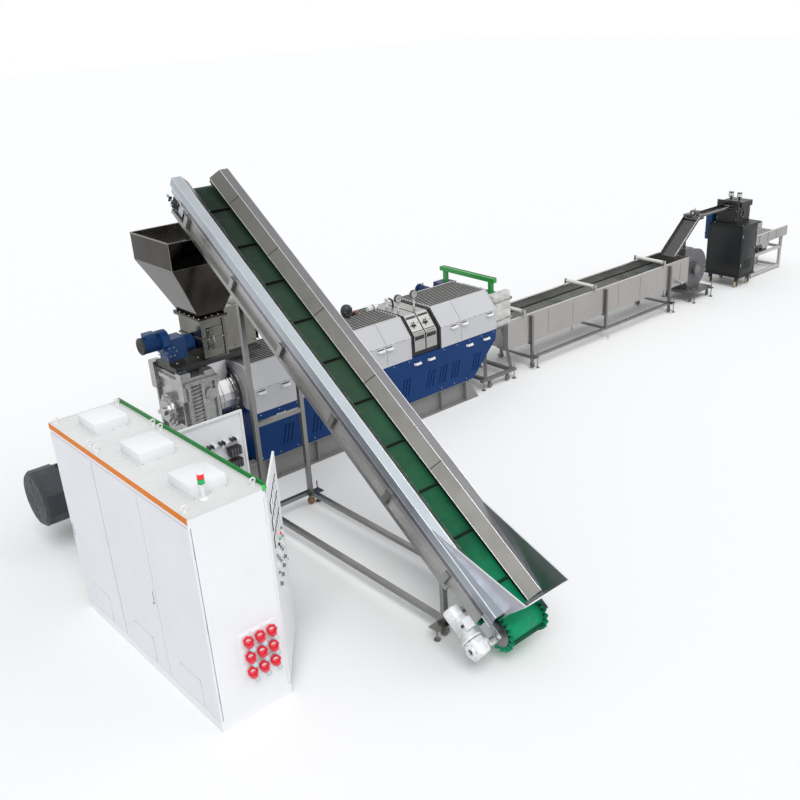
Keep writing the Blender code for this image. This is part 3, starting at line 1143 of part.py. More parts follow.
def build_conveyor_legs():
    """Two tall and two short legs on a floor frame with levelling feet and parked casters."""
    half = LEG_TUBE / 2
    x_side = TUBE_X
    rail = FLOOR_RAIL_Z
    pieces = []
    for sx in (-1, 1):
        x = CONVEYOR_X + sx * x_side
        for y in (NEAR_LEG_Y, FAR_LEG_Y):
            post = block((x - half, y - half, rail - half), (x + half, y + half, lower_tube_z(y) + 0.02))
            slope_cut = prism([(y - 0.2, lower_tube_z(y - 0.2) - SEAT * 1.3),
                               (y + 0.2, lower_tube_z(y + 0.2) - SEAT * 1.3),
                               (y + 0.2, lower_tube_z(y) + 0.5), (y - 0.2, lower_tube_z(y) + 0.5)], "X",
                               x - 0.1, x + 0.1)
            pieces.append(joined([post], [slope_cut]))
            out = -1 if y == NEAR_LEG_Y else 1
            pieces.append(centred((x + sx * 0.05, y, rail - half - 0.002), (0.2, 0.12, 0.008)))
            pieces += jack(x + sx * 0.1, y, rail + 0.1)
            pieces += parked_wheel(x, y + out * 0.005, rail - half)
        pieces.append(block((x - half, NEAR_LEG_Y, rail - half), (x + half, FAR_LEG_Y, rail + half)))
    for y in (NEAR_LEG_Y, FAR_LEG_Y):
        pieces.append(block((CONVEYOR_X - x_side, y - half, rail - half + 0.002),
                            (CONVEYOR_X + x_side, y + half, rail + half - 0.002)))
    pieces.append(block((CONVEYOR_X - x_side, FAR_LEG_Y - half + 0.002, 1.2),
                        (CONVEYOR_X + x_side, FAR_LEG_Y + half - 0.002, 1.25)))
    finish("conveyor_legs", joined(pieces), (0.4, 0.4, 0.4), 0.4, 0.5)


def racetrack(radius, half_turn_steps=9):
    """The outline of a belt round both drums at a radius, as (s, n) points."""
    points = []
    for middle, first in ((DRUM_SPACING, -math.pi / 2), (0.0, math.pi / 2)):
        for step in range(half_turn_steps + 1):
            angle = first + math.pi * step / half_turn_steps
            points.append((middle + radius * math.cos(angle), radius * math.sin(angle)))
    return points


def belt_point(distance, lift):
    """A point at a distance along the belt from the drive drum's top, raised by lift, and its outward way."""
    arc = math.pi * BELT_OUTER
    loop = 2 * (DRUM_SPACING + arc)
    along = distance % loop
    reach = BELT_OUTER + lift
    if along < DRUM_SPACING:
        return Vector((0, along, reach)), Vector((0, 0, 1))
    if along < DRUM_SPACING + arc:
        angle = math.pi / 2 - (along - DRUM_SPACING) / BELT_OUTER
        way = Vector((0, math.cos(angle), math.sin(angle)))
        return Vector((0, DRUM_SPACING, 0)) + way * reach, way
    if along < 2 * DRUM_SPACING + arc:
        return Vector((0, 2 * DRUM_SPACING + arc - along, -reach)), Vector((0, 0, -1))
    angle = -math.pi / 2 - (along - 2 * DRUM_SPACING - arc) / BELT_OUTER
    way = Vector((0, math.cos(angle), math.sin(angle)))
    return way * reach, way


def build_conveyor_belt():
    """The cleated belt as one closed loop, with an upright side wall along each edge."""
    band = prism(racetrack(BELT_OUTER), "X", -BELT_HALF_WIDTH, BELT_HALF_WIDTH, [racetrack(BELT_RADIUS)])
    pieces = [band]
    wall_top = BELT_OUTER + SIDEWALL_HEIGHT
    for side in (-1, 1):
        low, high = sorted((side * (BELT_HALF_WIDTH - 0.01),
                            side * (BELT_HALF_WIDTH - 0.01 - SIDEWALL_WIDTH)))
        pieces.append(prism(racetrack(wall_top), "X", low, high, [racetrack(BELT_OUTER - 0.002)]))
    loop = 2 * (DRUM_SPACING + math.pi * BELT_OUTER)
    span = BELT_HALF_WIDTH - 0.02 - SIDEWALL_WIDTH
    for index in range(CLEAT_COUNT):
        foot, way = belt_point(CLEAT_PHASE + index * loop / CLEAT_COUNT, -0.002)
        tip = foot + way * CLEAT_HEIGHT
        middle = (foot + tip) / 2
        cleat = bar(middle - Vector((span, 0, 0)), middle + Vector((span, 0, 0)), CLEAT_THICKNESS,
                    (tip - foot).length, way)
        pieces.append(cleat)
    finish("conveyor_belt", place_on_slope(joined(pieces)), (0.0, 0.22, 0.1), 0.45,
           origin=tuple(on_slope(0, 0, 0)))


def build_drums():
    """The drive drum at the foot and the tail drum at the head, each with its shaft."""
    shaft_reach = PLATE_X + 0.03
    for name, s, shaft_end in (("drive_drum", 0.0, DRIVE_END_X + 0.02),
                               ("head_drum", DRUM_SPACING, -shaft_reach)):
        pieces = [rod((-BELT_HALF_WIDTH, 0, 0), (BELT_HALF_WIDTH, 0, 0), DRUM_RADIUS, 16),
                  rod((shaft_end, 0, 0), (shaft_reach, 0, 0), SHAFT_RADIUS, 12)]
        drum = joined(pieces)
        drum.data.transform(Matrix.Rotation(CONVEYOR_ANGLE, 4, "X"))
        drum.data.transform(Matrix.Translation(on_slope(0, s, 0)))
        finish(name, drum, (0.3, 0.3, 0.31), 0.4, 0.8, origin=tuple(on_slope(0, s, 0)), smooth=True)


def build_conveyor_drive():
    """The pale hollow-shaft gear-motor on the drive drum's left end."""
    low_x, high_x = DRIVE_END_X, DRIVE_END_X + DRIVE_WIDTH
    middle = (low_x + high_x) / 2
    neck_x = -PLATE_X - BOARD_THICKNESS - SEAT
    pieces = [centred((middle, 0, 0), (DRIVE_WIDTH, 0.22, 0.2)),
              rod((low_x - 0.012, 0, 0), (low_x + BITE, 0, 0), 0.07, 12),
              rod((high_x - BITE, 0, 0), (neck_x, 0, 0), 0.075, 12),
              rod((middle, 0.1, 0), (middle, 0.16, 0), 0.1, 12),
              rod((middle, 0.15, 0), (middle, 0.42, 0), 0.08, 12),
              centred((middle, 0.27, 0.085), (0.11, 0.13, 0.07))]
    bore = rod((low_x - 0.1, 0, 0), (neck_x + 0.1, 0, 0), SHAFT_RADIUS + SHAFT_PLAY, 12)
    drive = place_on_slope(joined(pieces, [bore]))
    finish("conveyor_gearmotor", drive, (0.78, 0.78, 0.77), 0.4, origin=tuple(on_slope(0, 0, 0)),
           smooth=True)


def sheet_piece(points, faces, thickness):
    """A thin sheet through a few points, thickened by the same amount on both sides."""
    mesh = bpy.data.meshes.new("sheet")
    mesh.from_pydata(points, [], faces)
    sheet = new_piece(mesh)
    solid = sheet.modifiers.new("Sheet", "SOLIDIFY")
    solid.thickness = thickness
    solid.offset = 0
    return to_mesh_piece(sheet)


def build_loading_chute():
    """The loading chute over the belt's foot: two rising side walls and a leaning end wall."""
    base_n = COVER_TOP_N + BOARD_THICKNESS / 2 + CHUTE_LIFT
    rim = SLOPE.inverted() @ Vector((CONVEYOR_X, CHUTE_END_Y, CHUTE_END_Z))
    low_s = TROUGH_START_S - 0.02
    foot_x = BELT_HALF_WIDTH + 0.005
    rim_x = BELT_HALF_WIDTH + CHUTE_RIM_REACH
    pieces = []
    for side in (-1, 1):
        points = [(side * (COVER_X - BOARD_THICKNESS), CHUTE_START_S, base_n),
                  (side * foot_x, low_s, base_n),
                  (side * rim_x, rim.y, rim.z)]
        pieces.append(sheet_piece(points, [(0, 1, 2)], CHUTE_SHEET))
    foot_n = BELT_OUTER + SIDEWALL_HEIGHT + 0.012
    points = [(-foot_x, low_s, foot_n), (foot_x, low_s, foot_n), (foot_x, low_s, base_n),
              (rim_x, rim.y, rim.z), (-rim_x, rim.y, rim.z), (-foot_x, low_s, base_n)]
    pieces.append(sheet_piece(points, [(0, 1, 2, 5), (5, 2, 3, 4)], CHUTE_SHEET))
    chute = place_on_slope(joined(pieces))
    finish("loading_chute", chute, (0.6, 0.62, 0.64), 0.35, 0.6, origin=tuple(on_slope(0, 0, 0)))


# Cooling tank
def build_water_tank():
    """The open cooling tank of thin sheet with a folded rim, end plates and the roller brackets."""
    outer = block((TANK_START_X, TANK_NEAR_Y, TANK_BOTTOM_Z), (TANK_END_X, TANK_FAR_Y, TANK_TOP_Z))
    rim = block((TANK_START_X - 0.004, TANK_NEAR_Y - TANK_RIM / 2, TANK_TOP_Z - 0.006),
                (TANK_END_X + 0.004, TANK_FAR_Y + TANK_RIM / 2, TANK_TOP_Z))
    inner = block((TANK_START_X + TANK_SHEET, TANK_NEAR_Y + TANK_SHEET, TANK_BOTTOM_Z + TANK_SHEET),
                  (TANK_END_X - TANK_SHEET, TANK_FAR_Y - TANK_SHEET, TANK_TOP_Z + 0.1))
    pieces = [joined([outer, rim], [inner])]
    holes = []
    for x in ROLLER_POSITIONS:
        for y in (TANK_NEAR_Y, TANK_FAR_Y):
            low, high = sorted((y, y + (TANK_RIM / 2 if y == TANK_FAR_Y else -TANK_RIM / 2)))
            pieces.append(block((x - 0.025, low, TANK_TOP_Z - 0.03), (x + 0.025, high, ROLLER_Z + 0.03)))
            holes.append(rod((x, low - 0.05, ROLLER_Z), (x, high + 0.05, ROLLER_Z),
                             AXLE_RADIUS + SHAFT_PLAY, 8))
    finish("water_tank", joined(pieces, holes), (0.62, 0.61, 0.59), 0.32, 0.85)


def build_tank_frame():
    """The tank's legs, cross ties and floor rails, parked on levelling feet beside its casters."""
    half = TANK_TUBE / 2
    near, far = TANK_NEAR_Y - half - SEAT, TANK_FAR_Y + half + SEAT
    pieces = []
    for x in TANK_LEGS:
        for y in (near, far):
            pieces.append(centred((x, y, (TANK_RAIL_Z + TANK_TOP_Z) / 2 - 0.03),
                                  (TANK_TUBE, TANK_TUBE, TANK_TOP_Z - TANK_RAIL_Z - 0.02)))
            if x != TANK_LEGS[1]:
                out = -1 if y == near else 1
                pieces += jack(x + 0.06, y + out * 0.06, TANK_RAIL_Z + 0.1)
                pieces.append(centred((x + 0.03, y + out * 0.03, TANK_RAIL_Z), (0.1, 0.1, 0.02)))
                pieces += parked_wheel(x, y, TANK_RAIL_Z)
        pieces.append(block((x - half + 0.001, near, TANK_BOTTOM_Z - TANK_TUBE - SEAT),
                            (x + half - 0.001, far, TANK_BOTTOM_Z - SEAT)))
        pieces.append(block((x - half + 0.001, near, TANK_RAIL_Z - half),
                            (x + half - 0.001, far, TANK_RAIL_Z + half - 0.001)))
    pieces.append(block((TANK_LEGS[0], near - half + 0.001, TANK_RAIL_Z - half + 0.001),
                        (TANK_LEGS[2], near + half - 0.001, TANK_RAIL_Z + half - 0.002)))
    pieces.append(block((TANK_LEGS[0], far - half + 0.001, TANK_RAIL_Z - half + 0.001),
                        (TANK_LEGS[2], far + half - 0.001, TANK_RAIL_Z + half - 0.002)))
    finish("tank_frame", joined(pieces), (0.4, 0.4, 0.4), 0.4, 0.6)


def build_guide_rollers():
    """The three pale rollers that hold the strands down in the tank, on axles through the brackets."""
    for index, x in enumerate(ROLLER_POSITIONS, start=1):
        middle = (TANK_NEAR_Y + TANK_FAR_Y) / 2
        half = (TANK_FAR_Y - TANK_NEAR_Y) / 2
        pieces = [rod((x, middle - half + 0.04, ROLLER_Z), (x, middle + half - 0.04, ROLLER_Z),
                      ROLLER_RADIUS, 10),
                  rod((x, TANK_NEAR_Y - TANK_RIM / 2, ROLLER_Z), (x, TANK_FAR_Y + TANK_RIM / 2, ROLLER_Z),
                      AXLE_RADIUS, 8)]
        finish(f"guide_roller_{index}", joined(pieces), (0.8, 0.8, 0.78), 0.4, origin=(x, middle, ROLLER_Z),
               smooth=True)


# Blower, strand chute and pump
def build_blower():
    """The suction blower: a round volute on a wheeled base, with its inlet, motor and side stay."""
    length, width = BLOWER_BASE_SIZE
    half = BLOWER_WIDTH / 2
    base_low = BLOWER_BASE_TOP_Z - 0.05
    pieces = [rod((BLOWER_X, BLOWER_Y - half, BLOWER_Z), (BLOWER_X, BLOWER_Y + half, BLOWER_Z),
                  BLOWER_RADIUS, 20),
              rod((BLOWER_X, BLOWER_Y - half - 0.07, BLOWER_Z),
                  (BLOWER_X, BLOWER_Y - half + 0.01, BLOWER_Z), 0.12, 10),
              rod((BLOWER_X, BLOWER_Y + half - 0.01, BLOWER_Z), (BLOWER_X, BLOWER_Y + half + 0.3, BLOWER_Z),
                  0.13, 10),
              block((BLOWER_X - BLOWER_OUTLET_REACH - 0.11, BLOWER_Y - half + 0.001, BLOWER_Z),
                    (BLOWER_X - BLOWER_OUTLET_REACH + 0.11, BLOWER_Y + half - 0.001,
                     BLOWER_Z + BLOWER_OUTLET_HEIGHT)),
              block((BLOWER_X - 0.2, BLOWER_Y - half + 0.01, base_low + 0.01),
                    (BLOWER_X + 0.2, BLOWER_Y + half - 0.01, BLOWER_Z)),
              block((BLOWER_X - 0.1, BLOWER_Y + half, base_low + 0.01),
                    (BLOWER_X + 0.1, BLOWER_Y + half + 0.26, BLOWER_Z))]
    pieces.append(block((BLOWER_X - length / 2, BLOWER_Y - width / 2, base_low),
                        (BLOWER_X + length / 2, BLOWER_Y + width / 2, BLOWER_BASE_TOP_Z)))
    for sx in (-1, 1):
        for sy in (-1, 1):
            x, y = BLOWER_X + sx * (length / 2 - 0.05), BLOWER_Y + sy * (width / 2 - 0.05)
            pieces += parked_wheel(x, y, base_low + 0.01)
            out_y = BLOWER_Y + sy * (width / 2 + 0.04)
            pieces += jack(x, out_y, BLOWER_BASE_TOP_Z + 0.08)
            pieces.append(centred((x, out_y - sy * 0.02, BLOWER_BASE_TOP_Z - 0.03), (0.06, 0.1, 0.02)))
    finish("blower", joined(pieces), (0.36, 0.36, 0.36), 0.4, 0.5, smooth=True)


def build_strand_chute():
    """The sloping stainless chute that lifts the strands from the water to the cutter, and its post."""
    (x0, z0), (x1, z1) = CHUTE_LOW, CHUTE_HIGH
    along = Vector((x1 - x0, 0, z1 - z0)).normalized()
    lift = Vector((-along.z, 0, along.x))
    low, high = Vector((x0, 0, z0)), Vector((x1, 0, z1))
    pieces = [bar(low, high, 2 * CHUTE_HALF_WIDTH, CHUTE_WALL, lift)]
    for side in (-1, 1):
        shift = Vector((0, side * (CHUTE_HALF_WIDTH - CHUTE_WALL / 2), 0)) + lift * CHUTE_SIDE / 2
        pieces.append(bar(low + shift, high + shift, CHUTE_WALL, CHUTE_SIDE, lift))
    end_x = HEAD_START_X - SEAT
    pieces.append(block((x1 - 0.02, -0.1, z1 - 0.004), (end_x, 0.1, z1 + 0.004)))
    for side in (-1, 1):
        low_y, high_y = sorted((side * 0.1, side * 0.094))
        pieces.append(block((x1 - 0.02, low_y, z1 - 0.004), (end_x, high_y, z1 + 0.045)))
    pieces.append(block((x1 - 0.06, -CHUTE_HALF_WIDTH, z1 - 0.02),
                        (x1 + 0.12, CHUTE_HALF_WIDTH, z1 + 0.06)))
    pieces.append(block((x1 - 0.02, -0.09, z1 + 0.05), (x1 + 0.08, 0.05, z1 + 0.13)))
    post_x = BLOWER_X - BLOWER_OUTLET_REACH
    post_top = z0 + (post_x - x0) * along.z / along.x
    pieces.append(block((post_x - 0.02, -0.02, BLOWER_Z + BLOWER_OUTLET_HEIGHT + SEAT),
                        (post_x + 0.02, 0.02, post_top)))
    passage = block((x1 - 0.1, -0.09, z1 + 0.006), (x1 + 0.2, 0.09, z1 + 0.05))
    finish("strand_chute", joined(pieces, [passage]), (0.4, 0.4, 0.39), 0.35, 0.8)


# Pelletizer
TABLE_TOP_Z = PELLETIZER_TOP_Z + 0.03
WHEEL_PLACES = [(x, y) for x in (PELLETIZER_X + 0.07, PELLETIZER_END_X - 0.07)
                for y in (PELLETIZER_NEAR_Y + 0.08, PELLETIZER_FAR_Y - 0.08)]


def build_pelletizer_cabinet():
    """The dark pelletizer cabinet on its base plate, with the four caster forks."""
    base_low = PELLETIZER_BOTTOM_Z - 0.02
    pieces = [block((PELLETIZER_X, PELLETIZER_NEAR_Y, PELLETIZER_BOTTOM_Z - BITE),
                    (PELLETIZER_END_X, PELLETIZER_FAR_Y, PELLETIZER_TOP_Z)),
              block((PELLETIZER_X - 0.02, PELLETIZER_NEAR_Y - 0.02, base_low),
                    (PELLETIZER_END_X + 0.02, PELLETIZER_FAR_Y + 0.02, PELLETIZER_BOTTOM_Z)),
              block((PELLETIZER_X - 0.006, PELLETIZER_FAR_Y - 0.05, base_low),
                    (PELLETIZER_X + BITE, PELLETIZER_FAR_Y - BITE, PELLETIZER_TOP_Z)),
              block((PELLETIZER_X + 0.02, PELLETIZER_NEAR_Y, PELLETIZER_TOP_Z - BITE),
                    (PELLETIZER_END_X + 0.12, PELLETIZER_FAR_Y - 0.06, TABLE_TOP_Z))]
    cheek = WHEEL_WIDTH / 2 + FORK_GAP
    holes = []
    for x, y in WHEEL_PLACES:
        crown = 2 * WHEEL_RADIUS + FORK_GAP
        pieces.append(block((x - 0.03, y - cheek - 0.004, crown),
                            (x + 0.03, y + cheek + 0.004, base_low + BITE)))
        for side in (-1, 1):
            low, high = sorted((side * cheek, side * (cheek + 0.004)))
            pieces.append(block((x - 0.02, y + low, WHEEL_RADIUS - 0.02),
                                (x + 0.02, y + high, crown + BITE)))
        holes.append(rod((x, y - 0.1, WHEEL_RADIUS), (x, y + 0.1, WHEEL_RADIUS), AXLE_RADIUS + SHAFT_PLAY,
                         8))
    finish("pelletizer_cabinet", joined(pieces, holes), (0.03, 0.032, 0.033), 0.45)


def build_pelletizer_wheels():
    """The four cream caster wheels, each with its axle."""
    for index, (x, y) in enumerate(WHEEL_PLACES, start=1):
        half = WHEEL_WIDTH / 2
        reach = half + FORK_GAP + 0.006
        pieces = [rod((x, y - half, WHEEL_RADIUS), (x, y + half, WHEEL_RADIUS), WHEEL_RADIUS, 14),
                  rod((x, y - reach, WHEEL_RADIUS), (x, y + reach, WHEEL_RADIUS), AXLE_RADIUS, 8)]
        finish(f"caster_wheel_{index}", joined(pieces), (0.6, 0.52, 0.36), 0.5, origin=(x, y, WHEEL_RADIUS),
               smooth=True)


def build_cutter_head():
    """The cutter head with its infeed plate and two pressure knobs, and the switch box on the far side."""
    top = TABLE_TOP_Z + SEAT
    middle = (HEAD_START_X + HEAD_END_X) / 2
    pieces = [block((HEAD_START_X + 0.02, -HEAD_HALF_WIDTH, top),
                    (HEAD_END_X, HEAD_HALF_WIDTH, HEAD_TOP_Z - 0.06)),
              block((HEAD_START_X, -HEAD_HALF_WIDTH - 0.04, top),
                    (HEAD_START_X + 0.03, HEAD_HALF_WIDTH + 0.04, HEAD_TOP_Z)),
              block((middle - 0.12, -HEAD_HALF_WIDTH - 0.03, HEAD_TOP_Z - 0.14),
                    (HEAD_END_X + 0.02, HEAD_HALF_WIDTH + 0.03, HEAD_TOP_Z - 0.04)),
              block((middle - 0.05, HEAD_HALF_WIDTH - 0.01, top + 0.06),
                    (middle + 0.12, HEAD_HALF_WIDTH + 0.08, top + 0.24))]
    mouth = block((HEAD_START_X - 0.01, -0.1, CHUTE_HIGH[1] - 0.05),
                  (HEAD_START_X + 0.1, 0.1, CHUTE_HIGH[1] + 0.07))
    body = joined(pieces, [mouth])
    knobs = []
    for y in (-0.09, 0.09):
        knobs.append(rod((middle, y, HEAD_TOP_Z - 0.05), (middle, y, HEAD_TOP_Z + 0.03), 0.02, 8))
        knobs.append(rod((middle, y, HEAD_TOP_Z + 0.03 - BITE), (middle, y, HEAD_TOP_Z + 0.12), 0.045, 12))
    finish("cutter_head", joined([body, *knobs]), (0.05, 0.05, 0.052), 0.4)
    box = block((PELLETIZER_X + 0.1, PELLETIZER_FAR_Y + SEAT, 0.84),
                (PELLETIZER_X + 0.4, PELLETIZER_FAR_Y + 0.13, 1.38))
    finish("pelletizer_switch_box", box, (0.03, 0.1, 0.3), 0.4)


# Vibrating screen
def build_vibrating_screen():
    """The welded frame of the vibrating screen, and the sieve tray on its four springs
    with the exciter hung below it."""
    tube = SCREEN_TUBE
    spring_top = SCREEN_TOP_Z - 0.2
    frame = []
    for y in (SCREEN_NEAR_Y, SCREEN_FAR_Y - tube):
        frame.append(block((SCREEN_START_X, y, 0.03), (SCREEN_END_X, y + tube, 0.03 + tube)))
        frame.append(block((SCREEN_START_X, y, 0.42), (SCREEN_END_X, y + tube, 0.42 + tube)))
        for x in (SCREEN_START_X, SCREEN_END_X - tube):
            frame.append(block((x, y, 0.0), (x + tube, y + tube, 0.46)))
            frame.append(rod((x + tube / 2, y + tube / 2, 0.45), (x + tube / 2, y + tube / 2, spring_top),
                             0.03, 8))
    for x in (SCREEN_START_X, SCREEN_END_X - tube):
        frame.append(block((x + 0.001, SCREEN_NEAR_Y, 0.031),
                           (x + tube - 0.001, SCREEN_FAR_Y, 0.029 + tube)))
        frame.append(block((x + 0.001, SCREEN_NEAR_Y, 0.421),
                           (x + tube - 0.001, SCREEN_FAR_Y, 0.419 + tube)))
    finish("screen_frame", joined(frame), (0.7, 0.7, 0.69), 0.4, 0.3)
    low = spring_top + SEAT
    tray = block((SCREEN_START_X - 0.02, SCREEN_NEAR_Y - 0.02, low),
                 (SCREEN_END_X + 0.12, SCREEN_FAR_Y + 0.02, SCREEN_TOP_Z))
    deck = block((SCREEN_START_X, SCREEN_NEAR_Y, low + 0.06),
                 (SCREEN_END_X + 0.2, SCREEN_FAR_Y, SCREEN_TOP_Z + 0.1))
    motor_x = (SCREEN_START_X + SCREEN_END_X) / 2
    hung = [prism([(motor_x - 0.2, low + 0.01), (motor_x + 0.2, low + 0.01), (motor_x + 0.08, 0.5),
                   (motor_x - 0.08, 0.5)], "Y",
                  SCREEN_NEAR_Y + 0.06, SCREEN_FAR_Y - 0.06),
            rod((motor_x, SCREEN_NEAR_Y + 0.07, 0.5), (motor_x, SCREEN_FAR_Y - 0.07, 0.5), 0.09, 12)]
    finish("screen_tray", joined([joined([tray], [deck]), *hung]), (0.66, 0.66, 0.64), 0.35, 0.7)


def main():
    """Build every sub-part, then drop the empty scratch collection."""
    clear_scene()
    build_cabinet_carcass()
    build_cabinet_roof()
    build_cabinet_trims()
    build_front_doors()
    build_back_doors()
    build_device_plate()
    build_power_sockets()
    build_signal_lamp()
    build_base_frame()
    build_main_motor()
    build_gearbox()
    build_feed_barrel()
    build_guard_covers()
    build_guard_skirts()
    build_vent_zone()
    build_hopper()
    build_feeder()
    build_feeder_drive()
    build_screen_changer()
    build_changer_ram()
    build_die_stand()
    build_conveyor_trough()
    build_conveyor_frame()
    build_conveyor_legs()
    build_conveyor_belt()
    build_drums()
    build_conveyor_drive()
    build_loading_chute()
    build_water_tank()
    build_tank_frame()
    build_guide_rollers()
    build_blower()
    build_strand_chute()
    build_pelletizer_cabinet()
    build_pelletizer_wheels()
    build_cutter_head()
    build_vibrating_screen()
    bpy.data.collections.remove(scratch)


main()
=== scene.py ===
"""Studio scene of a plastic pelletizing line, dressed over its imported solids.

The solids give every station its shape and place. This script gives each of them a finish, adds the
fittings that are too fine for them, and sets the floor, the lights and the camera.
"""

import logging
import math
from dataclasses import dataclass, field
from enum import Enum

import bmesh
import bpy
import numpy as np
from mathutils import Matrix, Vector


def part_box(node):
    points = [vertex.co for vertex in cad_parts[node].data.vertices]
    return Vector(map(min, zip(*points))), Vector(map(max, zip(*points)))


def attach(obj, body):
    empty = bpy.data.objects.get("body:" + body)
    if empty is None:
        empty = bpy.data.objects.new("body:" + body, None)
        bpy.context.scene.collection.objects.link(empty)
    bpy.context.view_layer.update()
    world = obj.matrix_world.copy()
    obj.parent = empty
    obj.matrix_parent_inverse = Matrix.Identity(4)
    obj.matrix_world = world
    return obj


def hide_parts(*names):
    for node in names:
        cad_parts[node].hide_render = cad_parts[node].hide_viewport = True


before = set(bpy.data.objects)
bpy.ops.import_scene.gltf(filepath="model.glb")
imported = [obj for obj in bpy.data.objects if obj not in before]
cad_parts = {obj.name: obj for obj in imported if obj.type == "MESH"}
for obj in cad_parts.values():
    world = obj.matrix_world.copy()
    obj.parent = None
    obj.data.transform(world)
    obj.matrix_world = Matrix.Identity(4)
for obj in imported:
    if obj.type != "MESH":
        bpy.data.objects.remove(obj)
log = logging.getLogger("pelletizing_line")

Point = tuple[float, float, float]
Colour = tuple[float, float, float]


# Surfaces
@dataclass
class Surface:
    """A patch of quads: its points, its faces and the finish that it takes."""

    points: np.ndarray
    faces: np.ndarray
    finish: "Finish"


def grid_faces(rows: int, columns: int, wrap_rows: bool, wrap_columns: bool) -> np.ndarray:
    """Index the quads of a grid of points.

    Args:
        rows: Number of points along the first parameter.
        columns: Number of points along the second parameter.
        wrap_rows: Whether the last row meets the first.
        wrap_columns: Whether the last column meets the first.

    Returns:
        One row of four point numbers a quad.
    """
    row = np.arange(rows if wrap_rows else rows - 1)
    column = np.arange(columns if wrap_columns else columns - 1)
    first, second = np.meshgrid(row, column, indexing="ij")
    after, beside = (first + 1) % rows, (second + 1) % columns
    corners = (first * columns + second, after * columns + second, after * columns + beside,
        first * columns + beside)
    return np.stack([corner.ravel() for corner in corners], axis=1)


def frame_of(direction: Point) -> np.ndarray:
    """Two unit vectors square to a direction, and the direction itself, as rows."""
    along = np.asarray(direction, float)
    along = along / np.linalg.norm(along)
    helper = np.array((0.0, 0.0, 1.0)) if abs(along[2]) < 0.9 else np.array((1.0, 0.0, 0.0))
    side = np.cross(helper, along)
    side /= np.linalg.norm(side)
    return np.stack((side, np.cross(along, side), along))


def turned(profile: list[tuple[float, float]], base: Point, axis: Point, finish: "Finish",
        steps: int = 32) -> Surface:
    """Spin a profile round an axis: point (u, v) is the profile's point u turned by the angle v.

    Args:
        profile: (radius, height) pairs, from the axis at the low end to the axis at the high end.
        base: The point of the axis where the height is zero.
        axis: The way that the height grows.
        finish: The finish of the surface.
        steps: Number of steps round the axis.

    Returns:
        The closed surface.
    """
    shape = np.asarray(profile, float)
    angle = np.linspace(0.0, 2.0 * math.pi, steps, endpoint=False)
    side, lift, along = frame_of(axis)
    ring = np.cos(angle)[:, None] * side + np.sin(angle)[:, None] * lift
    points = (np.asarray(base) + shape[:, 0, None, None] * ring[None] + shape[:, 1, None, None] * along)
    faces = grid_faces(len(shape), steps, False, True)[:, ::-1]
    return Surface(points.reshape(-1, 3), faces, finish)


def tube(path: np.ndarray, radius: float, finish: "Finish", steps: int = 12, closed: bool = False) -> Surface:
    """Carry a circle along a path: point (u, v) is the path's point u plus the radius at the angle v.

    Args:
        path: The points of the centre line.
        radius: The circle's radius.
        finish: The finish of the surface.
        steps: Number of steps round the circle.
        closed: Whether the path's end meets its start.

    Returns:
        The surface, with its ends drawn in to a point where the path is open.
    """
    line = np.asarray(path, float)
    reach = np.full(len(line), radius)
    if not closed:
        line = np.concatenate((line[:1], line, line[-1:]))
        reach = np.concatenate(([0.0], reach, [0.0]))
    ahead = np.roll(line, -1, 0) - np.roll(line, 1, 0)
    if not closed:
        ahead[:2] = line[2] - line[1]
        ahead[-2:] = line[-2] - line[-3]
    ahead /= np.linalg.norm(ahead, axis=1)[:, None]
    first = frame_of(tuple(ahead[0]))
    sides = np.empty_like(line)
    sides[0] = first[0]
    for step in range(1, len(line)):
        side = sides[step - 1] - ahead[step] * (sides[step - 1] @ ahead[step])
        sides[step] = side / np.linalg.norm(side)
    lifts = np.cross(ahead, sides)
    angle = np.linspace(0.0, 2.0 * math.pi, steps, endpoint=False)
    points = (line[:, None] + reach[:, None, None] * (np.cos(angle)[None, :, None] * sides[:,
        None] + np.sin(angle)[None, :, None] * lifts[:, None]))
    faces = grid_faces(len(line), steps, closed, True)[:, ::-1]
    return Surface(points.reshape(-1, 3), faces, finish)


def soft_box(low: Point, high: Point, radius: float, finish: "Finish", corner_steps: int = 3) -> Surface:
    """A box with rounded edges: point (u, v) lies at the turn v of a rounded rectangle, on the level u.

    The levels run up through the lower rounding, the wall and the upper rounding, and each rounding
    draws the rectangle in by a quarter circle.

    Args:
        low: The low corner.
        high: The high corner.
        radius: The radius of the edges.
        finish: The finish of the surface.
        corner_steps: Number of steps in each quarter circle.

    Returns:
        The closed surface.
    """
    low_corner, high_corner = np.asarray(low, float), np.asarray(high, float)
    half = (high_corner - low_corner) / 2
    middle = (high_corner + low_corner) / 2
    bend = min(radius, *(half * 0.98))
    quarter = np.linspace(0.0, math.pi / 2, corner_steps + 1)
    inset = np.concatenate(([1.0], 1 - np.sin(quarter), 1 - np.cos(quarter), [1.0]))
    level = np.concatenate(([0.0], bend * (1 - np.cos(quarter)), 2 * half[2] - bend * (1 - np.sin(quarter)),
        [2 * half[2]]))
    sign = np.array([(1, 1), (-1, 1), (-1, -1), (1, -1)], float)
    start = np.array([0.0, 0.5, 1.0, 1.5]) * math.pi
    angle = (start[:, None] + quarter[None]).ravel()
    centre = np.repeat(sign * (half[:2] - bend), corner_steps + 1, axis=0)
    out = np.stack((np.cos(angle), np.sin(angle)), axis=1)
    reach = bend * (1 - inset)
    flat = centre[None] + reach[:, None, None] * out[None]
    flat[0] = flat[0] * 0.0
    flat[-1] = flat[-1] * 0.0
    points = np.concatenate((flat, np.broadcast_to(level[:, None, None], flat.shape[:2] + (1,))), axis=2)
    points += np.array((middle[0], middle[1], low_corner[2]))
    faces = grid_faces(len(level), len(angle), False, True)[:, ::-1]
    return Surface(points.reshape(-1, 3), faces, finish)


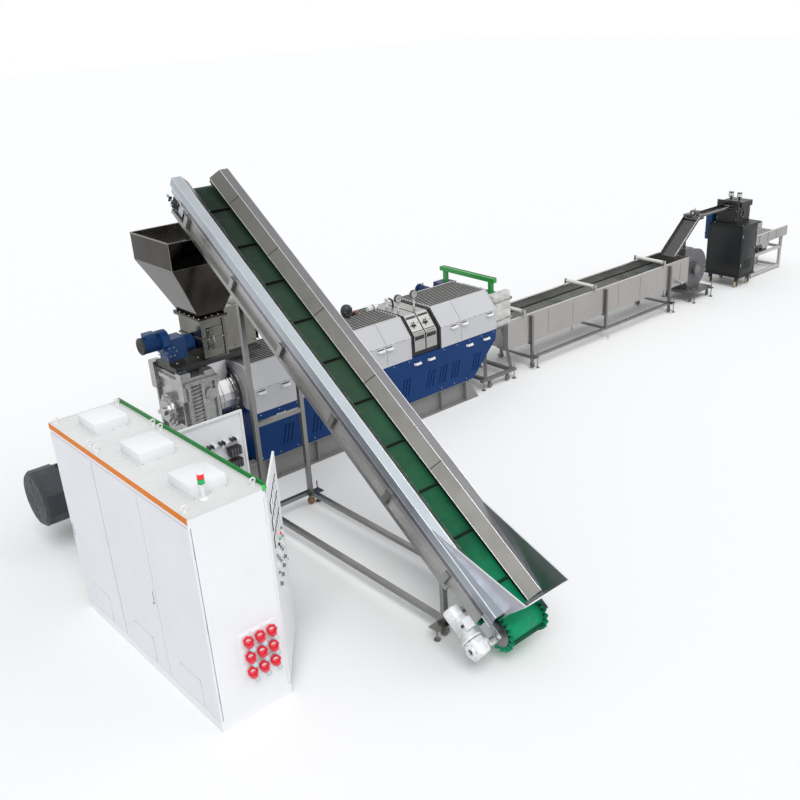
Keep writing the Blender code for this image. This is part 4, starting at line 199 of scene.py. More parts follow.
def moved(surface: Surface, turn: Matrix) -> Surface:
    """The same surface carried by a matrix."""
    matrix = np.array(turn)
    return Surface(surface.points @ matrix[:3, :3].T + matrix[:3, 3], surface.faces, surface.finish)


def bolt(base: Point, axis: Point, radius: float, height: float, finish: "Finish") -> Surface:
    """A hexagon head with a chamfered crown, spun in six steps."""
    profile = [(0.0, -0.001), (radius, -0.001), (radius, height * 0.8), (radius * 0.86, height),
        (0.0, height)]
    return turned(profile, base, axis, finish, 6)


def make_piece(name: str, surfaces: list[Surface], body: str, replaces: tuple[str, ...] = (),
        smooth_below: float = 40.0) -> bpy.types.Object:
    """Put surfaces into one mesh, give each its finish and let the object ride on a body.

    Args:
        name: The piece's name.
        surfaces: The surfaces of the piece.
        body: The body that it moves with.
        replaces: The solids that it stands for.
        smooth_below: The greatest angle, in degrees, that is shaded smooth.

    Returns:
        The new object.
    """
    points = np.concatenate([surface.points for surface in surfaces])
    counts = np.cumsum([0] + [len(surface.points) for surface in surfaces])
    faces = np.concatenate([surface.faces + shift for surface, shift in zip(surfaces, counts)])
    mesh = bpy.data.meshes.new(name)
    mesh.vertices.add(len(points))
    mesh.vertices.foreach_set("co", points.astype(np.float32).ravel())
    mesh.loops.add(faces.size)
    mesh.loops.foreach_set("vertex_index", faces.astype(np.int32).ravel())
    mesh.polygons.add(len(faces))
    mesh.polygons.foreach_set("loop_start", np.arange(0, faces.size, faces.shape[1], dtype=np.int32))
    finishes = list(dict.fromkeys(surface.finish for surface in surfaces))
    for finish in finishes:
        mesh.materials.append(finish.material())
    index = np.concatenate([np.full(len(surface.faces), finishes.index(surface.finish))
        for surface in surfaces])
    mesh.polygons.foreach_set("material_index", index.astype(np.int32))
    mesh.update(calc_edges=True)
    mesh.validate()
    weld(mesh)
    mesh.shade_smooth()
    mesh.set_sharp_from_angle(angle=math.radians(smooth_below))
    piece = bpy.data.objects.new(name, mesh)
    bpy.context.scene.collection.objects.link(piece)
    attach(piece, body)
    if replaces:
        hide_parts(*replaces)
    return piece


def weld(mesh: bpy.types.Mesh) -> None:
    """Merge points that coincide, such as those at a pole, drop what this empties, and turn shells outwards.

    Args:
        mesh: The mesh, which is changed in place.
    """
    cells = bmesh.new()
    cells.from_mesh(mesh)
    bmesh.ops.remove_doubles(cells, verts=cells.verts, dist=1e-6)
    bmesh.ops.recalc_face_normals(cells, faces=cells.faces)
    cells.to_mesh(mesh)
    cells.free()


# Finishes
class Grain(Enum):
    """The way that a brushed finish runs."""

    ALONG_X = (0.03, 1.0, 1.0)
    ALONG_Y = (1.0, 0.03, 1.0)
    ALONG_Z = (1.0, 1.0, 0.03)
    ALONG_SLOPE = (1.0, 0.03, 1.001)


SLOPE_ANGLE = math.radians(34.9)
MADE_FINISHES: dict[str, bpy.types.Material] = {}


class NodeDesk:
    """A short hand for laying out a material's nodes."""

    def __init__(self, name: str) -> None:
        """Start a material.

        Args:
            name: The material's name.
        """
        self.material = bpy.data.materials.new(name)
        self.material.use_nodes = True
        self.tree = self.material.node_tree
        self.shader = self.tree.nodes["Principled BSDF"]
        self.place = self.tree.nodes.new("ShaderNodeTexCoord").outputs["Object"]

    def node(self, kind: str, **settings: object) -> bpy.types.Node:
        """Add a node and set its own properties."""
        made = self.tree.nodes.new(kind)
        for key, value in settings.items():
            setattr(made, key, value)
        return made

    def link(self, start: bpy.types.NodeSocket, end: bpy.types.NodeSocket) -> None:
        """Join two sockets."""
        self.tree.links.new(start, end)

    def feed(self, name: str, value: bpy.types.NodeSocket | float | tuple[float, ...]) -> None:
        """Feed one of the shader's sockets with another socket, or set its plain number.

        Args:
            name: The shader socket's name.
            value: The socket that feeds it, or the number.
        """
        if isinstance(value, bpy.types.NodeSocket):
            self.link(value, self.shader.inputs[name])
        else:
            self.shader.inputs[name].default_value = value

    def feed_roughness(self, pattern: bpy.types.NodeSocket, middle: float, down: float, up: float) -> None:
        """Let a pattern carry the roughness from a share of its middle value to another."""
        self.feed("Roughness", self.span(pattern, middle * down, middle * up))

    def mapped(self, scale: Point, turn: Point = (0.0, 0.0, 0.0)) -> bpy.types.NodeSocket:
        """The object's coordinates, turned and then scaled.

        Args:
            scale: The scale along each axis.
            turn: The turn about each axis, in radians.

        Returns:
            The socket with the new coordinates.
        """
        turned_place = self.place
        if any(turn):
            first = self.node("ShaderNodeMapping")
            first.inputs["Rotation"].default_value = turn
            self.link(self.place, first.inputs["Vector"])
            turned_place = first.outputs["Vector"]
        mapping = self.node("ShaderNodeMapping")
        mapping.inputs["Scale"].default_value = scale
        self.link(turned_place, mapping.inputs["Vector"])
        return mapping.outputs["Vector"]

    def noise(self, scale: float, detail: float = 3.0, vector: bpy.types.NodeSocket | None = None,
            roughness: float = 0.55) -> bpy.types.NodeSocket:
        """A noise pattern.

        Args:
            scale: The pattern's scale, in cells a metre.
            detail: Its number of octaves.
            vector: Its coordinates, or the object's if left out.
            roughness: How strong the finer octaves are.

        Returns:
            The socket with the noise, from 0 to 1.
        """
        made = self.node("ShaderNodeTexNoise")
        made.inputs["Scale"].default_value = scale
        made.inputs["Detail"].default_value = detail
        made.inputs["Roughness"].default_value = roughness
        self.link(vector or self.place, made.inputs["Vector"])
        return made.outputs["Fac"]

    def ramp(self, value: bpy.types.NodeSocket, stops: list[tuple[float, Colour]]) -> bpy.types.NodeSocket:
        """A colour ramp over a value.

        Args:
            value: The value that is looked up.
            stops: Places from 0 to 1, each with its colour.

        Returns:
            The socket with the colour.
        """
        made = self.node("ShaderNodeValToRGB")
        steps = made.color_ramp.elements
        while len(steps) < len(stops):
            steps.new(0.5)
        for step, (spot, colour) in zip(steps, stops):
            step.position = spot
            step.color = (*colour, 1.0)
        self.link(value, made.inputs["Fac"])
        return made.outputs["Color"]

    def span(self, value: bpy.types.NodeSocket, low: float, high: float, start: float = 0.3,
            end: float = 0.7) -> bpy.types.NodeSocket:
        """Map a value from start and end to low and high.

        Args:
            value: The value that is mapped.
            low: The result at the start.
            high: The result at the end.
            start: The value that gives low.
            end: The value that gives high.

        Returns:
            The socket with the mapped value.
        """
        made = self.node("ShaderNodeMapRange")
        for key, number in (("From Min", start), ("From Max", end), ("To Min", low), ("To Max", high)):
            made.inputs[key].default_value = number
        self.link(value, made.inputs["Value"])
        return made.outputs["Result"]

    def blended(self, share: bpy.types.NodeSocket, first: bpy.types.NodeSocket | Colour,
            second: bpy.types.NodeSocket | Colour) -> bpy.types.NodeSocket:
        """Mix two colours.

        Args:
            share: The share of the second colour.
            first: The first colour, or a socket that gives it.
            second: The second colour, or a socket that gives it.

        Returns:
            The socket with the mixed colour.
        """
        made = self.node("ShaderNodeMix", data_type="RGBA")
        self.link(share, made.inputs[0])
        for socket, colour in ((made.inputs[6], first), (made.inputs[7], second)):
            if isinstance(colour, tuple):
                socket.default_value = (*colour, 1.0)
            else:
                self.link(colour, socket)
        return made.outputs[2]

    def bump(self, height: bpy.types.NodeSocket, strength: float, distance: float) -> None:
        """Raise the surface by a height pattern.

        Args:
            height: The pattern.
            strength: How far the normal follows it.
            distance: The height in metres that a value of 1 stands for.
        """
        made = self.node("ShaderNodeBump")
        made.inputs["Strength"].default_value = strength
        made.inputs["Distance"].default_value = distance
        self.link(height, made.inputs["Height"])
        self.link(made.outputs["Normal"], self.shader.inputs["Normal"])

    def height(self) -> bpy.types.NodeSocket:
        """The height above the floor, in metres."""
        made = self.node("ShaderNodeSeparateXYZ")
        self.link(self.place, made.inputs["Vector"])
        return made.outputs["Z"]


@dataclass(frozen=True)
class Finish:
    """What every finish has: a name, a colour and a roughness."""

    name: str
    colour: Colour
    roughness: float = 0.4

    def material(self) -> bpy.types.Material:
        """The material of this finish, made once.

        Returns:
            The material.
        """
        if self.name not in MADE_FINISHES:
            desk = NodeDesk(self.name)
            desk.feed("Base Color", (*self.colour, 1.0))
            self.lay_out(desk)
            MADE_FINISHES[self.name] = desk.material
        return MADE_FINISHES[self.name]

    def lay_out(self, desk: NodeDesk) -> None:
        """Lay out the nodes of the finish."""
        desk.feed_roughness(desk.noise(30.0), self.roughness, 0.85, 1.15)

    def shade(self, factor: float) -> Colour:
        """The finish's colour made lighter or darker by a factor."""
        return tuple(min(1.0, channel * factor) for channel in self.colour)


@dataclass(frozen=True)
class Paint(Finish):
    """Sprayed or powder-coated sheet: an orange-peel skin, faint clouds of dust and a dirtier foot."""

    peel: float = 420.0
    clouds: float = 0.05
    foot_dirt: float = 0.0
    coat: float = 0.0
    specular: float = 0.5

    def lay_out(self, desk: NodeDesk) -> None:
        """Lay out the clouds, the dirty foot, the gloss and the orange peel."""
        cloud = desk.span(desk.noise(2.3, 4.0), 0.0, 1.0, 0.35, 0.68)
        tone = desk.blended(cloud, self.shade(1.0 - self.clouds), self.shade(1.0 + self.clouds))
        if self.foot_dirt > 0.0:
            rise = desk.span(desk.height(), self.foot_dirt, 0.0, 0.0, 0.45)
            speckle = desk.node("ShaderNodeMath", operation="MULTIPLY")
            desk.link(rise, speckle.inputs[0])
            desk.link(desk.span(desk.noise(26.0, 5.0), 0.2, 1.0, 0.35, 0.65), speckle.inputs[1])
            tone = desk.blended(speckle.outputs[0], tone, (0.24, 0.22, 0.19))
        desk.feed("Base Color", tone)
        desk.feed_roughness(desk.noise(9.0, 4.0), self.roughness, 0.8, 1.2)
        desk.feed("Coat Weight", self.coat)
        desk.feed("Coat Roughness", 0.18)
        desk.feed("Specular IOR Level", self.specular)
        desk.bump(desk.noise(self.peel, 2.0), 0.12, 0.0006)


@dataclass(frozen=True)
class Brushed(Finish):
    """Brushed sheet or tube: fine grain along one way, smears across it and a soft reflection."""

    grain: Grain = Grain.ALONG_X
    smears: float = 0.1
    bite: float = 0.12
    painted_shade_by_height: float = 0.0

    def lay_out(self, desk: NodeDesk) -> None:
        """Lay out the grain, the smears, the metal and, where asked, a painted shade that darkens the sheet with
        height.
        """
        turn = (-SLOPE_ANGLE, 0.0, 0.0) if self.grain is Grain.ALONG_SLOPE else (0.0, 0.0, 0.0)
        stretched = desk.mapped(self.grain.value, turn)
        lines = desk.noise(260.0, 2.0, stretched)
        smear = desk.span(desk.noise(1.7, 5.0), 0.0, 1.0, 0.3, 0.7)
        tone = desk.blended(smear, self.shade(1.0 - self.smears), self.shade(1.0 + self.smears))
        streak = desk.blended(desk.span(lines, 0.0, 0.22, 0.35, 0.65), tone, self.shade(0.72))
        # Painted shade: above 0.9 m the sheet darkens with height, towards three tenths of its tone at 3.4 m.
        if self.painted_shade_by_height > 0.0:
            streak = desk.blended(desk.span(desk.height(), 0.0, self.painted_shade_by_height, 0.9, 3.4), streak, self.shade(0.3))
        desk.feed("Base Color", streak)
        desk.feed("Metallic", 1.0)
        desk.feed_roughness(desk.noise(5.0, 4.0), self.roughness, 0.8, 1.25)
        desk.bump(lines, self.bite, 0.0004)


@dataclass(frozen=True)
class Casting(Finish):
    """A painted or bare casting: a sandy skin, darker in its clouds, with a dull sheen."""

    metallic: float = 0.5
    sand: float = 160.0
    depth: float = 0.25

    def lay_out(self, desk: NodeDesk) -> None:
        """Lay out the sandy skin and its stains."""
        stain = desk.span(desk.noise(7.0, 6.0, roughness=0.7), 0.0, 1.0, 0.32, 0.66)
        tone = desk.blended(stain, self.shade(0.72), self.shade(1.12))
        desk.feed("Base Color", tone)
        desk.feed("Metallic", self.metallic)
        desk.feed_roughness(desk.noise(24.0, 3.0), self.roughness, 0.8, 1.3)
        desk.bump(desk.noise(self.sand, 4.0), self.depth, 0.0012)


@dataclass(frozen=True)
class BeltCover(Finish):
    """The belt's PVC: green, with a pressed weave, scuffs and random dust, and painted light and shade by height:
    brighter near the drive drum and darker towards the head.
    """

    def lay_out(self, desk: NodeDesk) -> None:
        """Lay out the weave, the scuffs, the painted light and shade by height, and the dust."""
        scuff = desk.span(desk.noise(3.2, 6.0, roughness=0.65), 0.0, 1.0, 0.34, 0.68)
        tone = desk.blended(scuff, self.shade(0.8), self.shade(1.2))
        # Painted light and shade: the green is multiplied brighter near the drive drum and darker towards the
        # head.
        rise = desk.span(desk.height(), 0.0, 1.0, 0.0, 3.6)
        shade = desk.ramp(rise, [(0.1, (1.0, 1.5, 1.6)), (0.24, (0.6, 0.5, 0.48)), (0.55, (6.0, 0.3, 0.4)),
            (0.95, (1.5, 0.08, 0.12))])
        toned = desk.node("ShaderNodeMix", data_type="RGBA", blend_type="MULTIPLY")
        toned.inputs[0].default_value = 1.0
        desk.link(tone, toned.inputs[6])
        desk.link(shade, toned.inputs[7])
        dust = desk.span(desk.noise(11.0, 7.0, roughness=0.7), 0.0, 0.35, 0.48, 0.72)
        desk.feed("Base Color", desk.blended(dust, toned.outputs[2], (0.03, 0.05, 0.036)))
        desk.feed("Specular IOR Level", 0.15)
        desk.feed_roughness(desk.noise(14.0, 3.0), self.roughness, 0.8, 1.2)
        weave = desk.node("ShaderNodeTexWave", wave_type="BANDS", bands_direction="DIAGONAL")
        weave.inputs["Scale"].default_value = 90.0
        weave.inputs["Distortion"].default_value = 1.5
        desk.link(desk.place, weave.inputs["Vector"])
        desk.bump(weave.outputs["Fac"], 0.12, 0.0005)


@dataclass(frozen=True)
class Cloth(Finish):
    """Woven insulating cloth: crossed threads, soft folds and a full sheen."""

    threads: float = 190.0

    def lay_out(self, desk: NodeDesk) -> None:
        """Lay out the folds and the threads."""
        folds = desk.span(desk.noise(9.0, 5.0), 0.0, 1.0, 0.3, 0.72)
        desk.feed("Base Color", desk.blended(folds, self.shade(0.66), self.shade(1.05)))
        desk.feed("Roughness", self.roughness)
        desk.feed("Sheen Weight", 0.25)
        heights = desk.node("ShaderNodeMath", operation="ADD")
        for direction, socket in (("X", heights.inputs[0]), ("Z", heights.inputs[1])):
            wave = desk.node("ShaderNodeTexWave", wave_type="BANDS", bands_direction=direction)
            wave.inputs["Scale"].default_value = self.threads
            desk.link(desk.place, wave.inputs["Vector"])
            desk.link(wave.outputs["Fac"], socket)
        desk.bump(heights.outputs[0], 0.3, 0.0008)


@dataclass(frozen=True)
class Plastic(Finish):
    """Moulded plastic: an even skin with a faint satin texture."""

    glow: float = 0.0

    def lay_out(self, desk: NodeDesk) -> None:
        """Lay out the texture and, for a lit lens, its glow."""
        cloud = desk.span(desk.noise(18.0, 3.0), 0.0, 1.0)
        desk.feed("Base Color", desk.blended(cloud, self.shade(0.93), self.shade(1.07)))
        desk.feed_roughness(desk.noise(60.0, 2.0), self.roughness, 0.85, 1.15)
        desk.bump(desk.noise(700.0, 2.0), 0.06, 0.0003)
        if self.glow > 0.0:
            desk.feed("Emission Color", (*self.colour, 1.0))
            desk.feed("Emission Strength", self.glow)


@dataclass(frozen=True)
class StillWater(Finish):
    """The tank's water: a green-blue body under a faint ripple."""

    def lay_out(self, desk: NodeDesk) -> None:
        """Lay out the depth's colour and the ripple."""
        depth = desk.span(desk.noise(1.4, 3.0), 0.0, 1.0)
        desk.feed("Base Color", desk.blended(depth, self.shade(0.85), self.shade(1.15)))
        desk.feed("Roughness", 0.04)
        desk.feed("IOR", 1.33)
        desk.bump(desk.noise(11.0, 3.0), 0.15, 0.004)


WHITE_COAT = Paint("white_powder_coat", (0.83, 0.835, 0.86), 0.42, clouds=0.02)
WHITE_ROOF = Paint("white_roof_sheet", (0.7, 0.7, 0.695), 0.3, clouds=0.02)
DOOR_COAT = Paint("door_powder_coat", (0.78, 0.79, 0.83), 0.42, clouds=0.02)
ORANGE_STRIP = Paint("orange_strip", (0.74, 0.2, 0.008), 0.42, specular=0.12)
GREEN_STRIP = Paint("green_strip", (0.012, 0.2, 0.035), 0.4, specular=0.2)
DEVICE_FACE = Plastic("switchgear_housings", (0.1, 0.1, 0.11), 0.42)
SOCKET_RED = Plastic("connector_red", (0.68, 0.008, 0.03), 0.3)
SOCKET_PALE = Plastic("connector_pale", (0.5, 0.6, 0.64), 0.35)
LAMP_RED = Plastic("lens_red", (0.75, 0.02, 0.02), 0.15, glow=0.25)
LAMP_GREEN = Plastic("lens_green", (0.02, 0.4, 0.12), 0.15, glow=0.15)
LAMP_WHITE = Plastic("lamp_white", (0.85, 0.85, 0.85), 0.3)
FRAME_GREY = Paint("frame_grey", (0.2, 0.2, 0.195), 0.5, foot_dirt=0.2)
MOTOR_GREY = Casting("motor_grey", (0.03, 0.036, 0.042), 0.5, metallic=0.1)
GEARBOX_SILVER = Casting("gearbox_silver", (0.42, 0.42, 0.415), 0.28, metallic=0.9, depth=0.15)
BRIGHT_STEEL = Brushed("turned_steel", (0.55, 0.55, 0.56), 0.22, grain=Grain.ALONG_Z)
GUARD_GREY = Paint("guard_grey", (0.5, 0.5, 0.52), 0.42, clouds=0.02)
GUARD_BLUE = Paint("guard_blue", (0.001, 0.034, 0.145), 0.42, clouds=0.06, specular=0.16)
WELL_BLACK = Paint("well_black", (0.014, 0.014, 0.015), 0.6)
STAINLESS_X = Brushed("stainless_along_line", (0.4, 0.4, 0.39), 0.26, grain=Grain.ALONG_X)
STAINLESS_Z = Brushed("stainless_upright", (0.14, 0.136, 0.122), 0.2, grain=Grain.ALONG_Z, smears=0.4)
MIRROR_SHEET = Brushed("hopper_sheet", (0.036, 0.031, 0.027), 0.12, grain=Grain.ALONG_Z, smears=0.55)
SIDE_SHEET = Brushed("side_box_sheet", (0.2, 0.195, 0.17), 0.22, grain=Grain.ALONG_Z, smears=0.3)
ADAPTER_BLACK = Paint("adapter_black", (0.02, 0.02, 0.021), 0.45)
DRIVE_BLUE = Paint("drive_blue", (0.008, 0.045, 0.15), 0.36, specular=0.3)
CHANGER_STEEL = Brushed("changer_steel", (0.33, 0.33, 0.32), 0.3, grain=Grain.ALONG_Y)
COVER_CLOTH = Cloth("insulating_cloth", (0.6, 0.59, 0.57), 0.85)
RAM_BLUE = Paint("ram_blue", (0.004, 0.018, 0.09), 0.35, specular=0.2)
RAIL_GREEN = Paint("rail_green", (0.02, 0.3, 0.05), 0.4)
STAND_GREY = Paint("stand_grey", (0.13, 0.13, 0.13), 0.45, foot_dirt=0.2)
TROUGH_SHEET = Brushed("trough_sheet", (0.5, 0.53, 0.56), 0.36, grain=Grain.ALONG_SLOPE, smears=0.06,
    bite=0.05)
# The inner boards darken with height: painted shade.
TROUGH_INNER = Brushed("trough_inner_sheet", (0.265, 0.26, 0.24), 0.36, grain=Grain.ALONG_SLOPE, smears=0.1,
    bite=0.05, painted_shade_by_height=0.6)
TUBE_STEEL = Brushed("tube_steel", (0.34, 0.34, 0.335), 0.3, grain=Grain.ALONG_SLOPE)
LEG_STEEL = Brushed("leg_steel", (0.26, 0.26, 0.25), 0.3, grain=Grain.ALONG_Z)
BELT_GREEN = BeltCover("belt_green", (0.004, 0.2, 0.085), 0.5)
DRUM_STEEL = Brushed("drum_steel", (0.3, 0.3, 0.31), 0.35, grain=Grain.ALONG_X)
DRIVE_ALUMINIUM = Casting("drive_aluminium", (0.6, 0.6, 0.6), 0.34, metallic=0.7, depth=0.15)
TANK_SHEET = Brushed("tank_sheet", (0.42, 0.4, 0.385), 0.3, grain=Grain.ALONG_X, smears=0.06, bite=0.015)
TANK_TUBE = Brushed("tank_tube", (0.24, 0.24, 0.235), 0.3, grain=Grain.ALONG_X)
ROLLER_WHITE = Plastic("roller_nylon", (0.72, 0.72, 0.69), 0.4)
BLOWER_GREY = Paint("blower_grey", (0.095, 0.096, 0.1), 0.35, foot_dirt=0.15)
CHUTE_SHEET = Brushed("chute_sheet", (0.12, 0.12, 0.12), 0.3, grain=Grain.ALONG_X)
PELLETIZER_BLACK = Paint("pelletizer_black", (0.012, 0.013, 0.014), 0.42, foot_dirt=0.1, specular=0.3)
CASTER_CREAM = Plastic("caster_cream", (0.55, 0.45, 0.28), 0.45)
HEAD_BLACK = Paint("head_black", (0.02, 0.02, 0.022), 0.4, specular=0.3)
BOX_BLUE = Paint("box_blue", (0.004, 0.045, 0.13), 0.38, specular=0.25)
SCREEN_GREY = Paint("screen_grey", (0.45, 0.45, 0.44), 0.42, foot_dirt=0.2)
SCREEN_SHEET = Brushed("screen_sheet", (0.4, 0.4, 0.38), 0.3, grain=Grain.ALONG_X)
TANK_WATER = StillWater("tank_water", (0.06, 0.075, 0.07), 0.05)
ZINC = Brushed("zinc_fastener", (0.45, 0.45, 0.44), 0.3, grain=Grain.ALONG_Z)
SOCKET_SOFT = Plastic("connector_body", (0.8, 0.06, 0.09), 0.35)
# Painted highlight: a much brighter copy of the green trim for the lit end of the roof strip.
GREEN_STRIP_PAINTED_HIGHLIGHT = Paint("green_strip_end_painted_highlight", (0.05, 0.55, 0.1), 0.36)
# Painted shade: the cleats take a darker copy of the belt's green, which stands in for the shadow behind each
# cleat.
CLEAT_PAINTED_SHADE_GREEN = BeltCover("cleat_green_painted_shade", (0.002, 0.05, 0.024), 0.5)
CLOSER_SHEET = Brushed("closer_sheet", (0.42, 0.42, 0.41), 0.4, grain=Grain.ALONG_SLOPE, smears=0.1,
    bite=0.05)
# Painted light: a paler copy of the chute's lining for its lit side, beside the painted shade of chute_shade.
CHUTE_PAINTED_LIGHT = Brushed("chute_painted_light", (0.5, 0.5, 0.54), 0.42, grain=Grain.ALONG_SLOPE, smears=0.05, bite=0.04)
# Painted light: a much paler copy of the hopper's sheet, lining its inside to stand in for the light seen there.
HOPPER_PAINTED_LIGHT_LINING = Brushed("hopper_lining_painted_light", (0.34, 0.33, 0.31), 0.22, grain=Grain.ALONG_Z, smears=0.3)
CHUTE_SHADE = Brushed("chute_shade", (0.33, 0.345, 0.36), 0.4, grain=Grain.ALONG_SLOPE, smears=0.1, bite=0.05)
LOUVRE_GREY = Paint("louvre_grey", (0.4, 0.39, 0.365), 0.5, clouds=0.06)
PLEAT_SHADE = Plastic("pleat_shade", (0.004, 0.012, 0.008), 0.7)
SEAM_DARK = Paint("seam_dark", (0.02, 0.02, 0.022), 0.6)
# Painted shade: the far flange and skirt take a darker copy of the trough sheet, for the darker reflection they
# show.
FAR_FLANGE_PAINTED_SHADE = Brushed("flange_far_painted_shade", (0.2, 0.2, 0.205), 0.34, grain=Grain.ALONG_SLOPE, smears=0.08, bite=0.05)
# Painted reflection: the near flange and skirt take a paler, bluer copy of the trough sheet, for the sky that
# they reflect.
NEAR_FLANGE_PAINTED_SKY_REFLECTION = Brushed("flange_near_painted_sky_reflection", (0.43, 0.475, 0.51), 0.4, grain=Grain.ALONG_SLOPE, smears=0.04,
    bite=0.04)
# Painted shade: the side plates and lowest folds take a darker, mauve copy of the trough sheet, for the shadow
# under the flange's lip.
SIDE_PLATE_PAINTED_SHADE = Brushed("side_plate_painted_shade", (0.25, 0.24, 0.27), 0.38, grain=Grain.ALONG_SLOPE, smears=0.08, bite=0.05)
# Painted highlight: a pale copy of the trough sheet on the rounded folds and the chute's rim.
FOLD_PAINTED_HIGHLIGHT = Brushed("fold_painted_highlight", (0.72, 0.74, 0.78), 0.3, grain=Grain.ALONG_SLOPE, smears=0.03, bite=0.03)
CAST_DARK = Casting("dark_casting", (0.03, 0.032, 0.034), 0.5, metallic=0.2)
DRIVE_WHITE = Casting("drive_white", (0.78, 0.79, 0.8), 0.4, metallic=0.1, depth=0.12)
TYRE_BROWN = Plastic("tyre_brown", (0.22, 0.09, 0.045), 0.5)
HOPPER_EDGE = Brushed("hopper_edge", (0.22, 0.21, 0.2), 0.25, grain=Grain.ALONG_Z)
# Painted highlight on the guards' fold and crest beads, and painted shade on the white leaves' grille frames.
GREY_PAINTED_HIGHLIGHT_AND_SHADE = Paint("grey_painted_highlight_and_shade", (0.58, 0.58, 0.6), 0.35)
STRAP_GREY = Cloth("strap_webbing", (0.3, 0.3, 0.28), 0.8, threads=420.0)
TANK_LIP = Brushed("tank_lip", (0.6, 0.59, 0.57), 0.22, grain=Grain.ALONG_X, smears=0.04)
BLACK_PLASTIC = Plastic("black_plastic", (0.015, 0.015, 0.016), 0.4)
WHITE_PLASTIC = Plastic("white_plastic", (0.8, 0.8, 0.79), 0.35)

NODE_FINISHES: dict[str, Finish] = {"cabinet_carcass": WHITE_COAT, "cabinet_roof": WHITE_ROOF,
    "cabinet_back_trim": ORANGE_STRIP, "cabinet_front_trim": GREEN_STRIP, "front_door_near": WHITE_COAT,
    "front_door_middle": WHITE_COAT, "front_door_far": WHITE_COAT, "back_door_near": DOOR_COAT,
    "back_door_middle": DOOR_COAT, "back_door_far": DOOR_COAT, "device_plate": DEVICE_FACE,
    "power_sockets": SOCKET_RED, "signal_lamp": LAMP_RED, "base_frame": FRAME_GREY, "main_motor": MOTOR_GREY,
    "gearbox": GEARBOX_SILVER, "feed_barrel": BRIGHT_STEEL, "guard_cover_rear": GUARD_GREY,
    "guard_cover_front": GUARD_GREY, "guard_skirt_rear": GUARD_BLUE, "guard_skirt_front": GUARD_BLUE,
    "vent_well": WELL_BLACK, "vent_box_rear": STAINLESS_X, "vent_box_front": STAINLESS_X,
    "hopper": MIRROR_SHEET, "feeder_casing": STAINLESS_Z, "side_box": SIDE_SHEET,
    "feeder_adapter": ADAPTER_BLACK, "feeder_gearmotor": DRIVE_BLUE, "screen_changer": CHANGER_STEEL,
    "insulated_cover": COVER_CLOTH, "changer_ram": RAM_BLUE, "changer_rail": RAIL_GREEN,
    "die_stand": STAND_GREY, "conveyor_trough": TROUGH_SHEET, "conveyor_frame": TUBE_STEEL,
    "conveyor_legs": LEG_STEEL, "conveyor_belt": BELT_GREEN, "drive_drum": DRUM_STEEL,
    "head_drum": DRUM_STEEL, "conveyor_gearmotor": DRIVE_ALUMINIUM, "loading_chute": TROUGH_SHEET,
    "water_tank": TANK_SHEET, "tank_frame": TANK_TUBE, "guide_roller_1": ROLLER_WHITE,
    "guide_roller_2": ROLLER_WHITE, "guide_roller_3": ROLLER_WHITE, "blower": BLOWER_GREY,
    "strand_chute": CHUTE_SHEET, "pelletizer_cabinet": PELLETIZER_BLACK, "caster_wheel_1": CASTER_CREAM,
    "caster_wheel_2": CASTER_CREAM, "caster_wheel_3": CASTER_CREAM, "caster_wheel_4": CASTER_CREAM,
    "cutter_head": HEAD_BLACK, "pelletizer_switch_box": BOX_BLUE, "screen_frame": SCREEN_GREY,
    "screen_tray": SCREEN_SHEET,}


def dress_solids() -> None:
    """Give every solid its finish."""
    for name, finish in NODE_FINISHES.items():
        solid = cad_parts[name]
        solid.data.materials.clear()
        solid.data.materials.append(finish.material())
    log.info("dressed %d solids", len(NODE_FINISHES))


def centred_box(centre: Point, size: Point, radius: float, finish: "Finish") -> Surface:
    """A box with rounded edges, given by its middle and its full size."""
    middle, half = np.asarray(centre, float), np.asarray(size, float) / 2
    return soft_box(tuple(middle - half), tuple(middle + half), radius, finish, 2)


def swept(outline: np.ndarray, path: np.ndarray, side: Point, finish: "Finish",
        closed: bool = False) -> Surface:
    """Carry an outline along a path: point (u, v) is the path's point u plus the outline's point v.

    The outline's first number lies along side, and its second stands square to side and to the path.

    Args:
        outline: The closed outline, as pairs.
        path: The points of the path.
        side: The direction of the outline's first number.
        finish: The finish of the surface.
        closed: Whether the path's end meets its start.

    Returns:
        The surface, closed at its ends where the path is open.
    """
    shape, line = np.asarray(outline, float), np.asarray(path, float)
    across = np.asarray(side, float) / np.linalg.norm(side)
    ahead = np.roll(line, -1, 0) - np.roll(line, 1, 0)
    if not closed:
        ahead[0], ahead[-1] = line[1] - line[0], line[-1] - line[-2]
    lift = np.cross(ahead, across)
    lift /= np.linalg.norm(lift, axis=1)[:, None]
    points = line[:, None] + shape[None, :, :1] * across + shape[None, :, 1:] * lift[:, None]
    if not closed:
        ends = np.broadcast_to(points.mean(axis=1, keepdims=True), points.shape)
        points = np.concatenate((ends[:1], points, ends[-1:]))
    return Surface(points.reshape(-1, 3), grid_faces(len(points), len(shape), closed, True), finish)


def rounded(half_width: float, half_height: float, radius: float, steps: int = 3) -> np.ndarray:
    """The outline of a rectangle with a quarter circle at each corner."""
    quarter = np.linspace(0.0, math.pi / 2, steps + 1)
    sign = np.array([(1, 1), (-1, 1), (-1, -1), (1, -1)], float)
    angle = (np.arange(4)[:, None] * math.pi / 2 + quarter).ravel()
    centre = np.repeat(sign * (half_width - radius, half_height - radius), steps + 1, axis=0)
    return centre + radius * np.stack((np.cos(angle), np.sin(angle)), axis=1)


